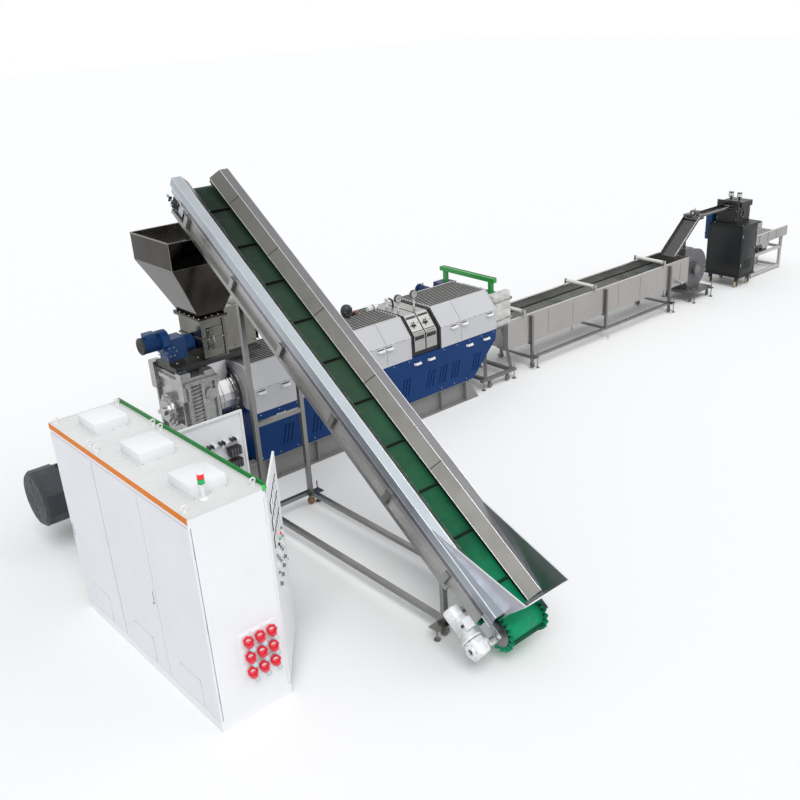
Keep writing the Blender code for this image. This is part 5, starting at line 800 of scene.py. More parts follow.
def ring(base: Point, axis: Point, inner: float, outer: float, height: float, finish: "Finish",
        steps: int = 32) -> Surface:
    """A flat ring: a rectangle with chamfered corners that is spun round an axis it doesn't touch.

    Args:
        base: The middle of the ring's low face.
        axis: The way that the height grows.
        inner: The inner radius.
        outer: The outer radius.
        height: The ring's height.
        finish: The finish of the surface.
        steps: Number of steps round the axis.

    Returns:
        The closed surface.
    """
    cut = 0.2 * min(height, outer - inner)
    shape = np.array([(inner + cut, 0), (outer - cut, 0), (outer, cut), (outer, height - cut),
        (outer - cut, height), (inner + cut, height), (inner, height - cut), (inner, cut)])
    angle = np.linspace(0.0, 2.0 * math.pi, steps, endpoint=False)
    side, lift, along = frame_of(axis)
    spoke = np.cos(angle)[:, None] * side + np.sin(angle)[:, None] * lift
    points = np.asarray(base) + shape[:, :1, None] * spoke[None] + shape[:, 1:, None] * along
    return Surface(points.reshape(-1, 3), grid_faces(len(shape), steps, True, True), finish)


def finned(base: Point, axis: Point, length: float, radius: float, reach: float, count: int,
        finish: "Finish") -> Surface:
    """A motor's finned barrel.

    Point (u, v) lies on the level u at the angle v, at the core's radius, plus the reach where v is on a fin.

    Args:
        base: The middle of the low end.
        axis: The way that the length grows.
        length: The barrel's length.
        radius: The core's radius.
        reach: How far the fins stand out.
        count: Number of fins.
        finish: The finish of the surface.

    Returns:
        The closed surface.
    """
    step = 2.0 * math.pi / count
    angle = (np.arange(count)[:, None] * step + np.array((0.0, 0.08, 0.36, 0.44)) * step).ravel()
    fin = np.tile((0.0, 1.0, 1.0, 0.0), count) * reach
    level = np.array((0.0, 0.0, 0.06, 0.94, 1.0, 1.0)) * length
    core = np.array((0.0, 1.0, 1.0, 1.0, 1.0, 0.0)) * radius
    rise = np.array((0.0, 0.55, 1.0, 1.0, 0.55, 0.0))
    side, lift, along = frame_of(axis)
    spoke = np.cos(angle)[:, None] * side + np.sin(angle)[:, None] * lift
    reach_of = core[:, None] + rise[:, None] * fin[None]
    points = np.asarray(base) + reach_of[..., None] * spoke[None] + level[:, None, None] * along
    return Surface(points.reshape(-1, 3), grid_faces(len(level), len(angle), False, True), finish)


def fan_cowl(base: Point, axis: Point, radius: float, length: float, finish: "Finish") -> list[Surface]:
    """A motor's fan cowl: a drawn cap whose end carries the rings and spokes of its grille."""
    cap = [(0.0, 0.0), (radius, 0.0), (radius, length * 0.7), (radius * 0.94, length * 0.92),
        (radius * 0.82, length * 0.97), (radius * 0.82, length * 0.9), (0.0, length * 0.9)]
    middle = np.asarray(base, float) + np.asarray(axis, float) * length * 0.93
    grille = [ring(tuple(middle), axis, radius * share, radius * (share + 0.05), length * 0.05, finish, 28)
        for share in (0.16, 0.32, 0.48, 0.64)]
    side, lift, _ = frame_of(axis)
    spokes = [tube(np.stack((middle + way * radius * 0.1, middle + way * radius * 0.84)), radius * 0.025,
        finish, 6) for way in (side, -side, lift, -lift)]
    return [turned(cap, base, axis, finish, 36), *grille, *spokes]


def bolts_round(centre: Point, axis: Point, radius: float, count: int, head: float, finish: "Finish",
        phase: float = 0.0) -> list[Surface]:
    """Bolts on a circle, square to an axis.

    Args:
        centre: The circle's middle.
        axis: The way that the heads point.
        radius: The circle's radius.
        count: Number of bolts.
        head: The head's radius.
        finish: The finish of the bolts.
        phase: The first bolt's angle.

    Returns:
        One surface a bolt.
    """
    side, lift, _ = frame_of(axis)
    angles = phase + np.arange(count) * 2.0 * math.pi / count
    spots = np.asarray(centre) + radius * (np.cos(angles)[:, None] * side + np.sin(angles)[:, None] * lift)
    return [bolt(tuple(spot), axis, head, head * 0.8, finish) for spot in spots]


def bolts_along(start: Point, end: Point, count: int, axis: Point, head: float,
        finish: "Finish") -> list[Surface]:
    """Bolts spaced evenly from one point to another."""
    spots = np.linspace(start, end, count)
    return [bolt(tuple(spot), axis, head, head * 0.8, finish) for spot in spots]


def coil(base: Point, radius: float, wire: float, height: float, turns: float, finish: "Finish") -> Surface:
    """A coil spring that stands upright: a circle carried along a helix, its end turns closed up."""
    share = np.linspace(0.0, 1.0, int(turns * 18))
    angle = share * turns * 2.0 * math.pi
    rise = height * (share - 0.06 * np.sin(share * 2.0 * math.pi))
    path = np.stack((radius * np.cos(angle), radius * np.sin(angle), rise), axis=1) + np.asarray(base)
    return tube(path, wire, finish, 8)


def lifting_eye(base: Point, finish: "Finish", size: float = 0.022) -> list[Surface]:
    """A lifting eye: a ring that stands on a collar."""
    angle = np.linspace(0.0, 2.0 * math.pi, 20, endpoint=False)
    middle = np.asarray(base) + (0.0, 0.0, size * 1.6)
    path = np.stack((size * np.cos(angle), 0.0 * angle, size * np.sin(angle)), axis=1) + middle
    collar = [(0.0, -0.001), (size, -0.001), (size, size * 0.3), (size * 0.6, size * 0.45),
        (0.0, size * 0.45)]
    return [turned(collar, base, (0, 0, 1), finish, 16), tube(path, size * 0.3, finish, 8, closed=True)]


def dial(centre: Point, axis: Point, radius: float, rim: "Finish", face: "Finish") -> list[Surface]:
    """A round gauge: a dark case with a bezel, a pale face set back in it, and a pointer on its boss."""
    case = [(0.0, -radius * 0.6), (radius * 0.85, -radius * 0.6), (radius, -radius * 0.45), (radius, -0.002),
        (radius * 0.9, 0.0), (radius * 0.84, -radius * 0.08), (0.0, -radius * 0.08)]
    plate = [(0.0, -radius * 0.09), (radius * 0.83, -radius * 0.09), (radius * 0.83, -radius * 0.06),
        (0.0, -radius * 0.06)]
    side, lift, along = frame_of(axis)
    middle = np.asarray(centre) - along * radius * 0.03
    tip = middle + (side * 0.55 + lift * 0.45) * radius
    return [turned(case, centre, axis, rim, 32), turned(plate, centre, axis, face, 28),
        tube(np.stack((middle, tip)), radius * 0.035, rim, 6), bolt(tuple(middle), axis, radius * 0.12, 0.002,
        rim)]


def panel(corners: list[Point], lift: float, thickness: float, finish: "Finish") -> Surface:
    """A thin flat sheet over three or four corners.

    Args:
        corners: The corners, anticlockwise as seen from the side that the sheet is lifted to.
        lift: How far the sheet's middle stands off the corners' plane.
        thickness: The sheet's thickness.
        finish: The finish of the sheet.

    Returns:
        The closed surface.
    """
    flat = np.asarray(corners if len(corners) == 4 else [*corners, corners[-1]], float)
    normal = np.cross(flat[1] - flat[0], flat[2] - flat[0])
    normal /= np.linalg.norm(normal)
    low, high = flat + normal * (lift - thickness / 2), flat + normal * (lift + thickness / 2)
    walls = [(side, (side + 1) % 4, (side + 1) % 4 + 4, side + 4) for side in range(4)]
    return Surface(np.concatenate((low, high)), np.array([(3, 2, 1, 0), (4, 5, 6, 7), *walls]), finish)


def turned_about(angle: float, hinge: Point) -> Matrix:
    """The turn about an upright line through a point."""
    return Matrix.Translation(hinge) @ Matrix.Rotation(angle, 4, "Z") @ Matrix.Translation(-Vector(hinge))


@dataclass
class Station:
    """What every station has: the body that it stands on and the pieces made so far."""

    body: str = "line"
    made: list[bpy.types.Object] = field(default_factory=list)

    def add(self, name: str, surfaces: list[Surface], slot: str, replaces: tuple[str, ...] = (),
            body: str = "", smooth_below: float = 40.0) -> bpy.types.Object:
        """Make a piece and keep it in the station's list.

        Args:
            name: The piece's name.
            surfaces: The surfaces of the piece.
            slot: The record's material slot; not used.
            replaces: The solids that it stands for.
            body: The body that it moves with, if not the station's own.
            smooth_below: The greatest angle, in degrees, that is shaded smooth.

        Returns:
            The new object.
        """
        piece = make_piece(name, surfaces, body or self.body, replaces, smooth_below)
        self.made.append(piece)
        return piece


# Control cabinet
@dataclass
class ControlCabinet(Station):
    """The white switch cabinet with its cowls, signal lamp, open leaves, switchgear and connectors."""

    back_x: float = -6.23
    front_x: float = -5.55
    near_y: float = -3.85
    far_y: float = -1.34
    seam_y: float = -2.19
    meet_y: float = -3.02
    height: float = 2.0
    near_hinge: Point = (-5.559, -3.841, 0.0)
    middle_hinge: Point = (-5.559, -2.209, 0.0)
    near_open: float = math.radians(-38.0)
    middle_open: float = math.radians(90.0)
    cowl: Point = (0.314, 0.354, 0.104)
    socket_columns: tuple[float, ...] = (-5.91, -5.8, -5.69)
    socket_rows: tuple[float, ...] = (0.75, 0.6, 0.45)
    meter_rows: tuple[float, ...] = (1.72, 1.56, 1.4)
    meter_pitch: float = 0.14
    mouth: Point = (-0.28, -0.92, 0.28)
    tail: Point = (0.3, -0.42, -0.86)

    def build(self) -> list[bpy.types.Object]:
        """Make every fitting of the cabinet.

        Returns:
            The pieces.
        """
        self.roof()
        self.lamp()
        self.back_leaves()
        self.near_leaf()
        self.middle_leaf()
        self.switchgear()
        self.sockets()
        return self.made

    def roof(self) -> None:
        """Cowls with folded edges and flange screws, the roof's hem and the lifting eyes."""
        middle_x = (self.back_x + self.front_x) / 2
        surfaces = []
        for y in (-3.435, -2.605, -1.765):
            surfaces.append(centred_box((middle_x, y, self.height + self.cowl[2] / 2), self.cowl, 0.008,
                WHITE_COAT))
            for side in (-1, 1):
                edge = y + side * (self.cowl[1] / 2 + 0.009)
                surfaces += bolts_along((middle_x - 0.14, edge, self.height + 0.004),
                    (middle_x + 0.14, edge, self.height + 0.004), 3, (0, 0, 1), 0.005, ZINC)
        self.add("roof_cowls", surfaces, "cabinet_roof")
        eyes = []
        for x in (self.back_x + 0.045, self.front_x - 0.045):
            for y in (self.near_y + 0.1, self.seam_y - 0.07, self.seam_y + 0.07, self.far_y - 0.07):
                eyes += lifting_eye((x, y, self.height + 0.001), WHITE_PLASTIC)
        self.add("roof_lifting_eyes", eyes, "cabinet_roof")
        hem = [centred_box((middle_x, y, self.height + 0.003), (0.66, 0.012, 0.008), 0.003, WHITE_ROOF)
            for y in (self.near_y + 0.004, self.far_y - 0.004)]
        hem.append(centred_box((middle_x, self.seam_y, self.height + 0.002), (0.66, 0.05, 0.006), 0.002,
            WHITE_ROOF))
        self.add("roof_hems", hem, "cabinet_roof")
        y0, y1 = self.near_y - 0.004, self.far_y + 0.004
        strip = [centred_box((self.front_x + 0.002, (y0 + y1) / 2, self.height + 0.008),
            (0.02, y1 - y0, 0.05), 0.004, GREEN_STRIP),
            # The strip's near end in the brighter green: painted highlight.
            centred_box((self.front_x - 0.012, y0 + 0.003, self.height - 0.004), (0.03, 0.012, 0.05), 0.003,
            GREEN_STRIP_PAINTED_HIGHLIGHT)]
        self.add("green_roof_strip", strip, "cabinet_front_trim")

    def lamp(self) -> None:
        """The signal lamp: a white stem, a green and a red lens with dark seals, and a white cap."""
        x, y = -5.98, -3.675
        stem = [(0.0, 0.0005), (0.036, 0.0005), (0.036, 0.006), (0.03, 0.011), (0.017, 0.014),
            (0.0165, 0.118), (0.0265, 0.124), (0.0265, 0.134), (0.0, 0.134)]
        cap = [(0.0, 0.219), (0.0275, 0.219), (0.0275, 0.232), (0.022, 0.2405), (0.0, 0.2415)]
        surfaces = [turned(stem, (x, y, self.height), (0, 0, 1), LAMP_WHITE, 32),
            turned(cap, (x, y, self.height), (0, 0, 1), LAMP_WHITE, 32)]
        for low, finish in ((0.136, LAMP_GREEN), (0.178, LAMP_RED)):
            wave = np.linspace(0.0, 1.0, 25)
            radius = 0.0262 + 0.0012 * np.abs(np.sin(wave * math.pi * 6))
            lens = [(0.0, low), *zip(radius, low + 0.001 + wave * 0.038), (0.0, low + 0.04)]
            surfaces += [turned(lens, (x, y, self.height), (0, 0, 1), finish, 36),
                ring((x, y, self.height + low - 0.0015), (0, 0, 1), 0.012, 0.0275, 0.003, BLACK_PLASTIC)]
        self.add("signal_lamp_stack", surfaces, "signal_lamp", ("signal_lamp",))

    def swing_handle(self, y: float, outward: int) -> list[Surface]:
        """A swing handle: a white plate, a dark lever that lies on it, and the barrel of its lock."""
        face = self.front_x if outward > 0 else self.back_x
        x = face + outward * 0.004
        return [centred_box((x, y, 0.91), (0.003, 0.026, 0.13), 0.0015, WHITE_PLASTIC),
            centred_box((x + outward * 0.0012, y, 0.922), (0.002, 0.014, 0.09), 0.001, FRAME_GREY),
            turned([(0, 0), (0.009, 0), (0.009, 0.01), (0.007, 0.012), (0, 0.012)],
            (x + outward * 0.003, y, 0.853), (outward, 0, 0), ZINC, 20)]

    def hinges(self, y: float, outward: int) -> list[Surface]:
        """Three barrel hinges on a leaf's edge."""
        face = self.front_x if outward > 0 else self.back_x
        barrel = [(0, 0), (0.006, 0), (0.007, 0.002), (0.007, 0.058), (0.006, 0.06), (0, 0.06)]
        return [turned(barrel, (face - outward * 0.004, y, z), (0, 0, 1), WHITE_COAT, 16)
            for z in (0.3, 0.98, 1.66)]

    def back_leaves(self) -> None:
        """Handles, hinges and filter grilles on the rear leaves, and the far front leaf's handle."""
        leaves = (("near", self.near_y + 0.01, self.meet_y, False, "near_back_leaf"),
            ("middle", self.seam_y - 0.02, self.meet_y, True, "middle_back_leaf"),
            ("far", self.seam_y + 0.02, self.far_y, True, "far_back_leaf"))
        for name, hinge_y, free_y, has_handle, body in leaves:
            away = 1 if free_y > hinge_y else -1
            middle = (hinge_y + free_y) / 2
            surfaces = self.hinges(hinge_y + away * 0.012, -1)
            if has_handle:
                surfaces += self.swing_handle(free_y - away * 0.035, -1)
            x = self.back_x - 0.0002
            frame_path = np.array([(x, middle - 0.165, 0.135), (x, middle + 0.165, 0.135),
                (x, middle + 0.165, 0.385), (x, middle - 0.165, 0.385)])
            # The grille frame is a grey darker than the leaf: painted shade round the raised frame.
            surfaces += [centred_box(tuple((start + end) / 2),
                tuple(np.abs(end - start) + (0.004, 0.014, 0.014)), 0.0015, GREY_PAINTED_HIGHLIGHT_AND_SHADE) for start,
                end in zip(frame_path, np.roll(frame_path, -1, 0))]
            for z in np.linspace(0.16, 0.36, 11):
                slat = centred_box((0, 0, 0), (0.007, 0.31, 0.002), 0.0007, DOOR_COAT)
                turn = Matrix.Translation((self.back_x + 0.0008, middle,
                    z)) @ Matrix.Rotation(math.radians(-35), 4, "Y")
                surfaces.append(moved(slat, turn))
            self.add(f"back_leaf_fittings_{name}", surfaces, f"back_door_{name}", body=body)
        seals = [centred_box((self.back_x + 0.012, y, (low + high) / 2), (0.02, 0.009, high - low), 0.002,
            WHITE_COAT) for y in (self.near_y + 0.006, self.far_y - 0.006) for low,
            high in ((0.05, 0.285), (0.375, 0.965), (1.055, 1.645), (1.735, 1.94))]
        self.add("back_leaf_seals", seals, "cabinet_carcass")
        far = self.hinges(self.far_y - 0.022, 1) + self.swing_handle(self.seam_y + 0.05, 1)
        self.add("front_leaf_fittings_far", far, "front_door_far", body="far_front_leaf")

    def near_leaf(self) -> None:
        """Panel meters with pointers, lamps, buttons and rotary switches on the open near leaf."""
        middle = (self.near_y + self.meet_y) / 2
        surfaces = self.hinges(self.near_y + 0.02, 1) + self.swing_handle(self.meet_y - 0.045, 1)
        x = self.front_x
        for z in self.meter_rows:
            for column in range(4):
                y = middle + (column - 1.5) * self.meter_pitch
                surfaces += [centred_box((x + 0.003, y, z), (0.01, 0.1, 0.1), 0.004, BLACK_PLASTIC),
                    centred_box((x + 0.0075, y, z + 0.008), (0.004, 0.082, 0.066), 0.0015, WHITE_PLASTIC),
                    tube(np.array([(x + 0.0105, y + 0.012, z - 0.022), (x + 0.0105, y - 0.022, z + 0.03)]),
                    0.0012, BLACK_PLASTIC, 6)]
        button = [(0, 0), (0.016, 0), (0.016, 0.006), (0.012, 0.008), (0.011, 0.018), (0.009, 0.02),
            (0, 0.02)]
        colours = (FRAME_GREY, WHITE_PLASTIC, BLACK_PLASTIC, LAMP_GREEN, LAMP_RED, FRAME_GREY)
        for row, z in enumerate((1.26, 1.18, 1.1)):
            for column in range(6):
                y = middle + (column - 2.5) * 0.09
                finish = colours[column] if row == 0 else (FRAME_GREY, WHITE_PLASTIC)[(column + row) % 2]
                surfaces.append(turned(button, (x - 0.004, y, z), (1, 0, 0), finish, 20))
        for column in range(4):
            y = middle + (column - 1.5) * self.meter_pitch
            surfaces += [turned([(0, 0), (0.022, 0), (0.022, 0.006), (0.017, 0.009), (0.015, 0.02),
                (0, 0.021)], (x - 0.002, y, 0.98), (1, 0, 0), FRAME_GREY, 24),
                centred_box((x + 0.019, y, 0.98), (0.01, 0.007, 0.034), 0.003, DEVICE_FACE)]
        turn = turned_about(self.near_open, self.near_hinge)
        self.add("near_leaf_instruments", [moved(surface, turn) for surface in surfaces], "front_door_near",
            body="near_front_leaf")

    def middle_leaf(self) -> None:
        """Switch backs and two contact blocks on the inner side of the open middle leaf, and its own lamps."""
        surfaces = []
        inner = self.front_x - 0.003
        hinge_y = self.middle_hinge[1]
        for reach in (0.4, 0.52, 0.64):
            y = hinge_y - reach
            surfaces += [centred_box((inner - 0.045, y + low, 1.66), (0.06, 0.02, 0.028), 0.004,
                BLACK_PLASTIC) for low in (0.0, -0.034)]
            surfaces += [turned([(0, 0), (0.014, 0), (0.014, 0.05), (0.011, 0.054), (0, 0.054)],
                (inner - 0.006, y - 0.06, 1.64), (-1, 0, 0), WHITE_PLASTIC, 20),
                turned([(0, 0), (0.017, 0), (0.017, 0.007), (0.012, 0.012), (0, 0.013)],
                (self.front_x, y, 1.66), (1, 0, 0), BLACK_PLASTIC, 24)]
        for z in (1.54, 1.41):
            surfaces.append(centred_box((inner - 0.04, hinge_y - 0.66, z), (0.075, 0.13, 0.09), 0.01,
                BLACK_PLASTIC))
            surfaces += [centred_box((inner - 0.08, hinge_y - 0.615 - step * 0.03, z), (0.01, 0.016, 0.07),
                0.003, DEVICE_FACE) for step in range(4)]
        rail = centred_box((inner - 0.012, hinge_y - 0.4, 1.63), (0.02, 0.66, 0.02), 0.003, WHITE_COAT)
        surfaces += [rail, *self.hinges(hinge_y - 0.012, 1), *self.swing_handle(self.meet_y + 0.05, 1)]
        turn = turned_about(self.middle_open, self.middle_hinge)
        self.add("middle_leaf_switches", [moved(surface, turn) for surface in surfaces], "front_door_middle",
            body="middle_front_leaf")

    def switchgear(self) -> None:
        """Fronts, toggles and screws on the plate's devices, and the slotted lids of the cable ducts."""
        start, end, face = self.near_y + 0.02, self.seam_y - 0.02, self.back_x + 0.304
        pitch = (end - start - 0.16) / 5
        surfaces = []
        for index, row in enumerate((0.45, 0.85, 1.25, 1.62)):
            surfaces.append(centred_box((face + 0.03, (start + end) / 2, row - 0.175),
                (0.064, end - start - 0.11, 0.054), 0.004, WHITE_PLASTIC))
            for y in np.arange(start + 0.08, end - 0.08, 0.035):
                surfaces.append(centred_box((face + 0.0625, y, row - 0.175), (0.003, 0.008, 0.044), 0.001,
                    FRAME_GREY))
            for column in range(5):
                height = 0.12 if (column + index) % 3 else 0.2
                depth = 0.08 if (column + 2 * index) % 4 else 0.13
                y = start + 0.08 + pitch * (column + 0.5)
                front = face + depth
                surfaces.append(centred_box((front, y, row + height * 0.18), (0.012, pitch * 0.66,
                    height * 0.4), 0.003, WHITE_PLASTIC if (column + index) % 2 else FRAME_GREY))
                for step in (-0.24, 0.0, 0.24):
                    surfaces += [centred_box((front + 0.01, y + pitch * step, row - height * 0.2),
                        (0.03, pitch * 0.12, height * 0.22), 0.004, BLACK_PLASTIC),
                        bolt((front, y + pitch * step, row + height * 0.44), (1, 0, 0), 0.006, 0.004, ZINC)]
        self.add("switchgear_fronts", surfaces, "device_plate")

    def sockets(self) -> None:
        """Nine power connectors: a lobed red ring round a white heart, a faceted body, and a pale cable gland."""
        surfaces = [centred_box((-5.8, self.near_y - 0.003, 0.6), (0.34, 0.008, 0.45), 0.003, WHITE_COAT)]
        for x in self.socket_columns:
            for z in self.socket_rows:
                surfaces += [centred_box((x - 0.012, self.near_y - 0.012, z + 0.014), (0.086, 0.012, 0.1),
                    0.006, WHITE_COAT), self.lobed_ring((x, self.near_y - 0.046, z + 0.016))]
                heart = [(0, 0), (0.024, 0), (0.024, 0.016), (0.021, 0.02), (0, 0.02)]
                surfaces.append(turned(heart, (x + 0.004, self.near_y - 0.034, z + 0.014), self.mouth,
                    WHITE_PLASTIC, 28))
                body = [(0, -0.012), (0.034, -0.012), (0.04, 0.0), (0.04, 0.026), (0.034, 0.044),
                    (0.024, 0.062), (0, 0.062)]
                surfaces.append(turned(body, (x + 0.002, self.near_y - 0.026, z - 0.002), self.tail,
                    SOCKET_SOFT, 7))
                gland = [(0, 0.056), (0.021, 0.056), (0.023, 0.06), (0.023, 0.09), (0.019, 0.1),
                    (0.01, 0.104), (0, 0.104)]
                surfaces.append(turned(gland, (x + 0.002, self.near_y - 0.026, z - 0.002), self.tail,
                    SOCKET_PALE, 24))
        self.add("power_connectors", surfaces, "power_sockets", ("power_sockets",))

    def lobed_ring(self, base: Point) -> Surface:
        """A connector's locking ring: a ring spun about the mouth's axis whose outside is waved in seven lobes.

        Point (u, v) has the outline's radius at u, times one plus the lobes' share of cos(7 v) on the outside.

        Args:
            base: The middle of the ring's rear face.

        Returns:
            The closed surface.
        """
        shape = np.array([(0.023, 0.0), (0.037, 0.0), (0.042, 0.004), (0.042, 0.02), (0.038, 0.026),
            (0.026, 0.026), (0.023, 0.022)])
        wave = np.array((0, 1, 1, 1, 1, 0, 0), float) * 0.07
        angle = np.linspace(0.0, 2.0 * math.pi, 56, endpoint=False)
        side, lift, along = frame_of(self.mouth)
        spoke = np.cos(angle)[:, None] * side + np.sin(angle)[:, None] * lift
        reach = shape[:, :1] * (1.0 + wave[:, None] * np.cos(7 * angle)[None])
        points = np.asarray(base) + reach[..., None] * spoke[None] + shape[:, 1:, None] * along
        return Surface(points.reshape(-1, 3), grid_faces(len(shape), len(angle), True, True), SOCKET_RED)


# Belt conveyor
@dataclass
class BeltConveyor(Station):
    """The sloping belt with its cleats, pleated side walls, folded trough, bearings and drive.

    Its own axes are x across the belt, s along the slope from the drive drum, and n square to the belt.
    """

    origin: Point = (-3.79, -4.8347, 0.2897)
    spacing: float = 5.59
    belt_radius: float = 0.125
    belt_half: float = 0.235
    belt_thickness: float = 0.006
    wall_top: float = 0.172
    pleat_pitch: float = 0.0482
    pleat_reach: float = 0.0125
    closer_x: float = 0.289
    closer_ends: tuple[float, float] = (0.2, 5.42)
    cleat_start: float = 0.369
    cleat_count: int = 22
    board: tuple[tuple[float, float], ...] = ((0.128, 0.165), (0.235, 0.263), (0.335, 0.263), (0.335, 0.17),
        (0.305, 0.17), (0.305, 0.065))
    trough_start: float = 0.09
    trough_end: float = 5.71
    seams: tuple[float, ...] = (1.6, 2.7, 3.62, 4.5, 5.29)
    leg_places: tuple[float, float] = (-4.22, -1.28)

    def build(self) -> list[bpy.types.Object]:
        """Make every piece of the conveyor.

        Returns:
            The pieces.
        """
        self.belt()
        self.trough_sheets()
        self.fasteners()
        self.bearings()
        self.drive()
        self.feet()
        return self.made

    def matrix(self) -> Matrix:
        """The matrix that carries the slope's own axes to the model's."""
        return Matrix.Translation(self.origin) @ Matrix.Rotation(SLOPE_ANGLE, 4, "X")

    def placed(self, surfaces: list[Surface]) -> list[Surface]:
        """Surfaces carried from the slope's axes to the model's."""
        return [moved(surface, self.matrix()) for surface in surfaces]

    def loop(self, spots: np.ndarray, radius: float) -> tuple[np.ndarray, np.ndarray]:
        """Points and outward normals of the belt's loop.

        The loop is two straight runs and two half circles of the belt's radius. A spot is the distance
        from the drive drum's top along the carrying run, and the point stands at radius from the loop's spine.

        Args:
            spots: Distances along the loop.
            radius: Distance from the spine: the line between the drums, and their axes at its ends.

        Returns:
            The points and the normals, as (0, s, n) rows.
        """
        turn = math.pi * self.belt_radius
        spot = np.mod(spots, 2 * (self.spacing + turn))
        top = spot < self.spacing
        head = ~top & (spot < self.spacing + turn)
        low = ~top & ~head & (spot < 2 * self.spacing + turn)
        angle = np.where(top, 0.0, np.where(head, (spot - self.spacing) / self.belt_radius,
            np.where(low, math.pi, math.pi + (spot - 2 * self.spacing - turn) / self.belt_radius)))
        spine = np.where(top, spot,
            np.where(head, self.spacing, np.where(low, 2 * self.spacing + turn - spot, 0.0)))
        normal = np.stack((0.0 * angle, np.sin(angle), np.cos(angle)), axis=1)
        points = np.stack((0.0 * spine, spine, 0.0 * spine), axis=1) + radius * normal
        return points, normal

    def belt(self) -> None:
        """The band, its cleats and its two pleated side walls, in place of the plain solid belt."""
        turn = math.pi * self.belt_radius
        length = 2 * (self.spacing + turn)
        steps = np.concatenate((np.linspace(0, self.spacing, 60, endpoint=False),
            self.spacing + np.linspace(0, turn, 24, endpoint=False), self.spacing + turn + np.linspace(0,
            self.spacing, 60, endpoint=False), 2 * self.spacing + turn + np.linspace(0, turn, 24,
            endpoint=False)))
        path, _ = self.loop(steps, self.belt_radius)
        band = swept(rounded(self.belt_half, self.belt_thickness / 2, 0.0015, 1), path, (1, 0, 0), BELT_GREEN,
            True)
        surfaces = [band, *self.cleats(length)]
        surfaces += [wall for side in (-1, 1) for wall in self.pleated_wall(side, length)]
        self.add("cleated_belt", self.placed(surfaces), "conveyor_belt", ("conveyor_belt",),
            smooth_below=50.0)

    def cleats(self, length: float) -> list[Surface]:
        """Cross bars with a broad foot, a thin blade that leans back, and a rounded lip, in a darker green
        painted as the shade behind them.
        """
        reach = self.belt_half - 0.03
        spots = self.cleat_start + np.arange(self.cleat_count) * length / self.cleat_count
        roots, normals = self.loop(spots, self.belt_radius)
        blade = np.array([(-0.018, 0.002), (-0.017, 0.0045), (-0.006, 0.007), (-0.005, 0.027),
            (-0.008, 0.0315), (-0.005, 0.0345), (0.001, 0.0335), (0.003, 0.028), (0.005, 0.008),
            (0.017, 0.0045), (0.018, 0.002)])
        made = []
        for root, normal in zip(roots, normals):
            along = np.array((0.0, normal[2], -normal[1]))
            shape = blade[:, :1] * along + blade[:, 1:] * normal
            middle = shape.mean(axis=0)
            rows = [np.broadcast_to(middle, shape.shape), shape, shape, np.broadcast_to(middle, shape.shape)]
            points = np.stack([row + root + (x, 0.0, 0.0) for row, x in zip(rows,
                (-reach, -reach, reach, reach))])
            # The cleats take the darker painted-shade green.
            made.append(Surface(points.reshape(-1, 3), grid_faces(4, len(blade), False, True), CLEAT_PAINTED_SHADE_GREEN))
        return made

    def pleated_wall(self, side: int, length: float) -> list[Surface]:
        """A side wall: at the distance u along the loop it swings sideways by the pleat's reach times sin(u).

        Its root stands on the belt, and a dark strip lies in the pleats' shade.

        Args:
            side: -1 or 1, the edge that the wall stands on.
            length: The loop's length.

        Returns:
            The wall and the strip.
        """
        waves = round(length / self.pleat_pitch)
        spots = np.linspace(0.0, length, waves * 10, endpoint=False)
        swing = self.pleat_reach * np.sin(spots / length * waves * 2 * math.pi)
        low, _ = self.loop(spots, self.belt_radius + self.belt_thickness / 2 - 0.0005)
        high, _ = self.loop(spots, self.wall_top)
        middle = side * (self.belt_half - 0.013)
        rows = []
        for points, offset in ((low, -0.0016), (high, -0.0012), (high, 0.0012), (low, 0.0016)):
            row = points.copy()
            row[:, 0] = middle + swing + offset
            rows.append(row)
        wall = Surface(np.stack(rows).reshape(-1, 3), grid_faces(4, len(spots), True, True), BELT_GREEN)
        coarse = np.linspace(0.0, length, 480, endpoint=False)
        bed, _ = self.loop(coarse, self.belt_radius + self.belt_thickness / 2 + 0.0004)
        strip = swept(np.array([(-0.0135, -0.0006), (0.0135, -0.0006), (0.0135, 0.0006), (-0.0135, 0.0006)]),
            bed + (middle, 0.0, 0.0), (1, 0, 0), PLEAT_SHADE, True)
        return [wall, strip]

    def strip(self, side: int, face: int, lift: float, thickness: float, finish: "Finish",
            inset: float = 0.003, start: float = 0.0, end: float = 0.0) -> Surface:
        """A flat strip laid on one face of the folded sheet.

        Args:
            side: -1 or 1, the side of the belt.
            face: The number of the face, counted from the sheet's tip.
            lift: How far the strip's middle stands off the face.
            thickness: The strip's thickness.
            finish: The finish of the strip.
            inset: How far its edges stay inside the face.
            start: Where it starts along the slope, or 0 for the trough's start.
            end: Where it ends along the slope, or 0 for the trough's end.

        Returns:
            The strip.
        """
        first, second = np.array(self.board[face]), np.array(self.board[face + 1])
        along = (second - first) / np.linalg.norm(second - first)
        out = np.array((-along[1], along[0]))
        first, second = first + along * inset, second - along * inset
        corners = [first + out * (lift - thickness / 2), second + out * (lift - thickness / 2),
            second + out * (lift + thickness / 2), first + out * (lift + thickness / 2)]
        outline = np.array([(side * x, -n) for x, n in corners])
        path = np.array([(0.0, start or self.trough_start + 0.002, 0.0), (0.0, end or self.trough_end - 0.002,
            0.0)])
        return swept(outline, path, (1, 0, 0), finish)

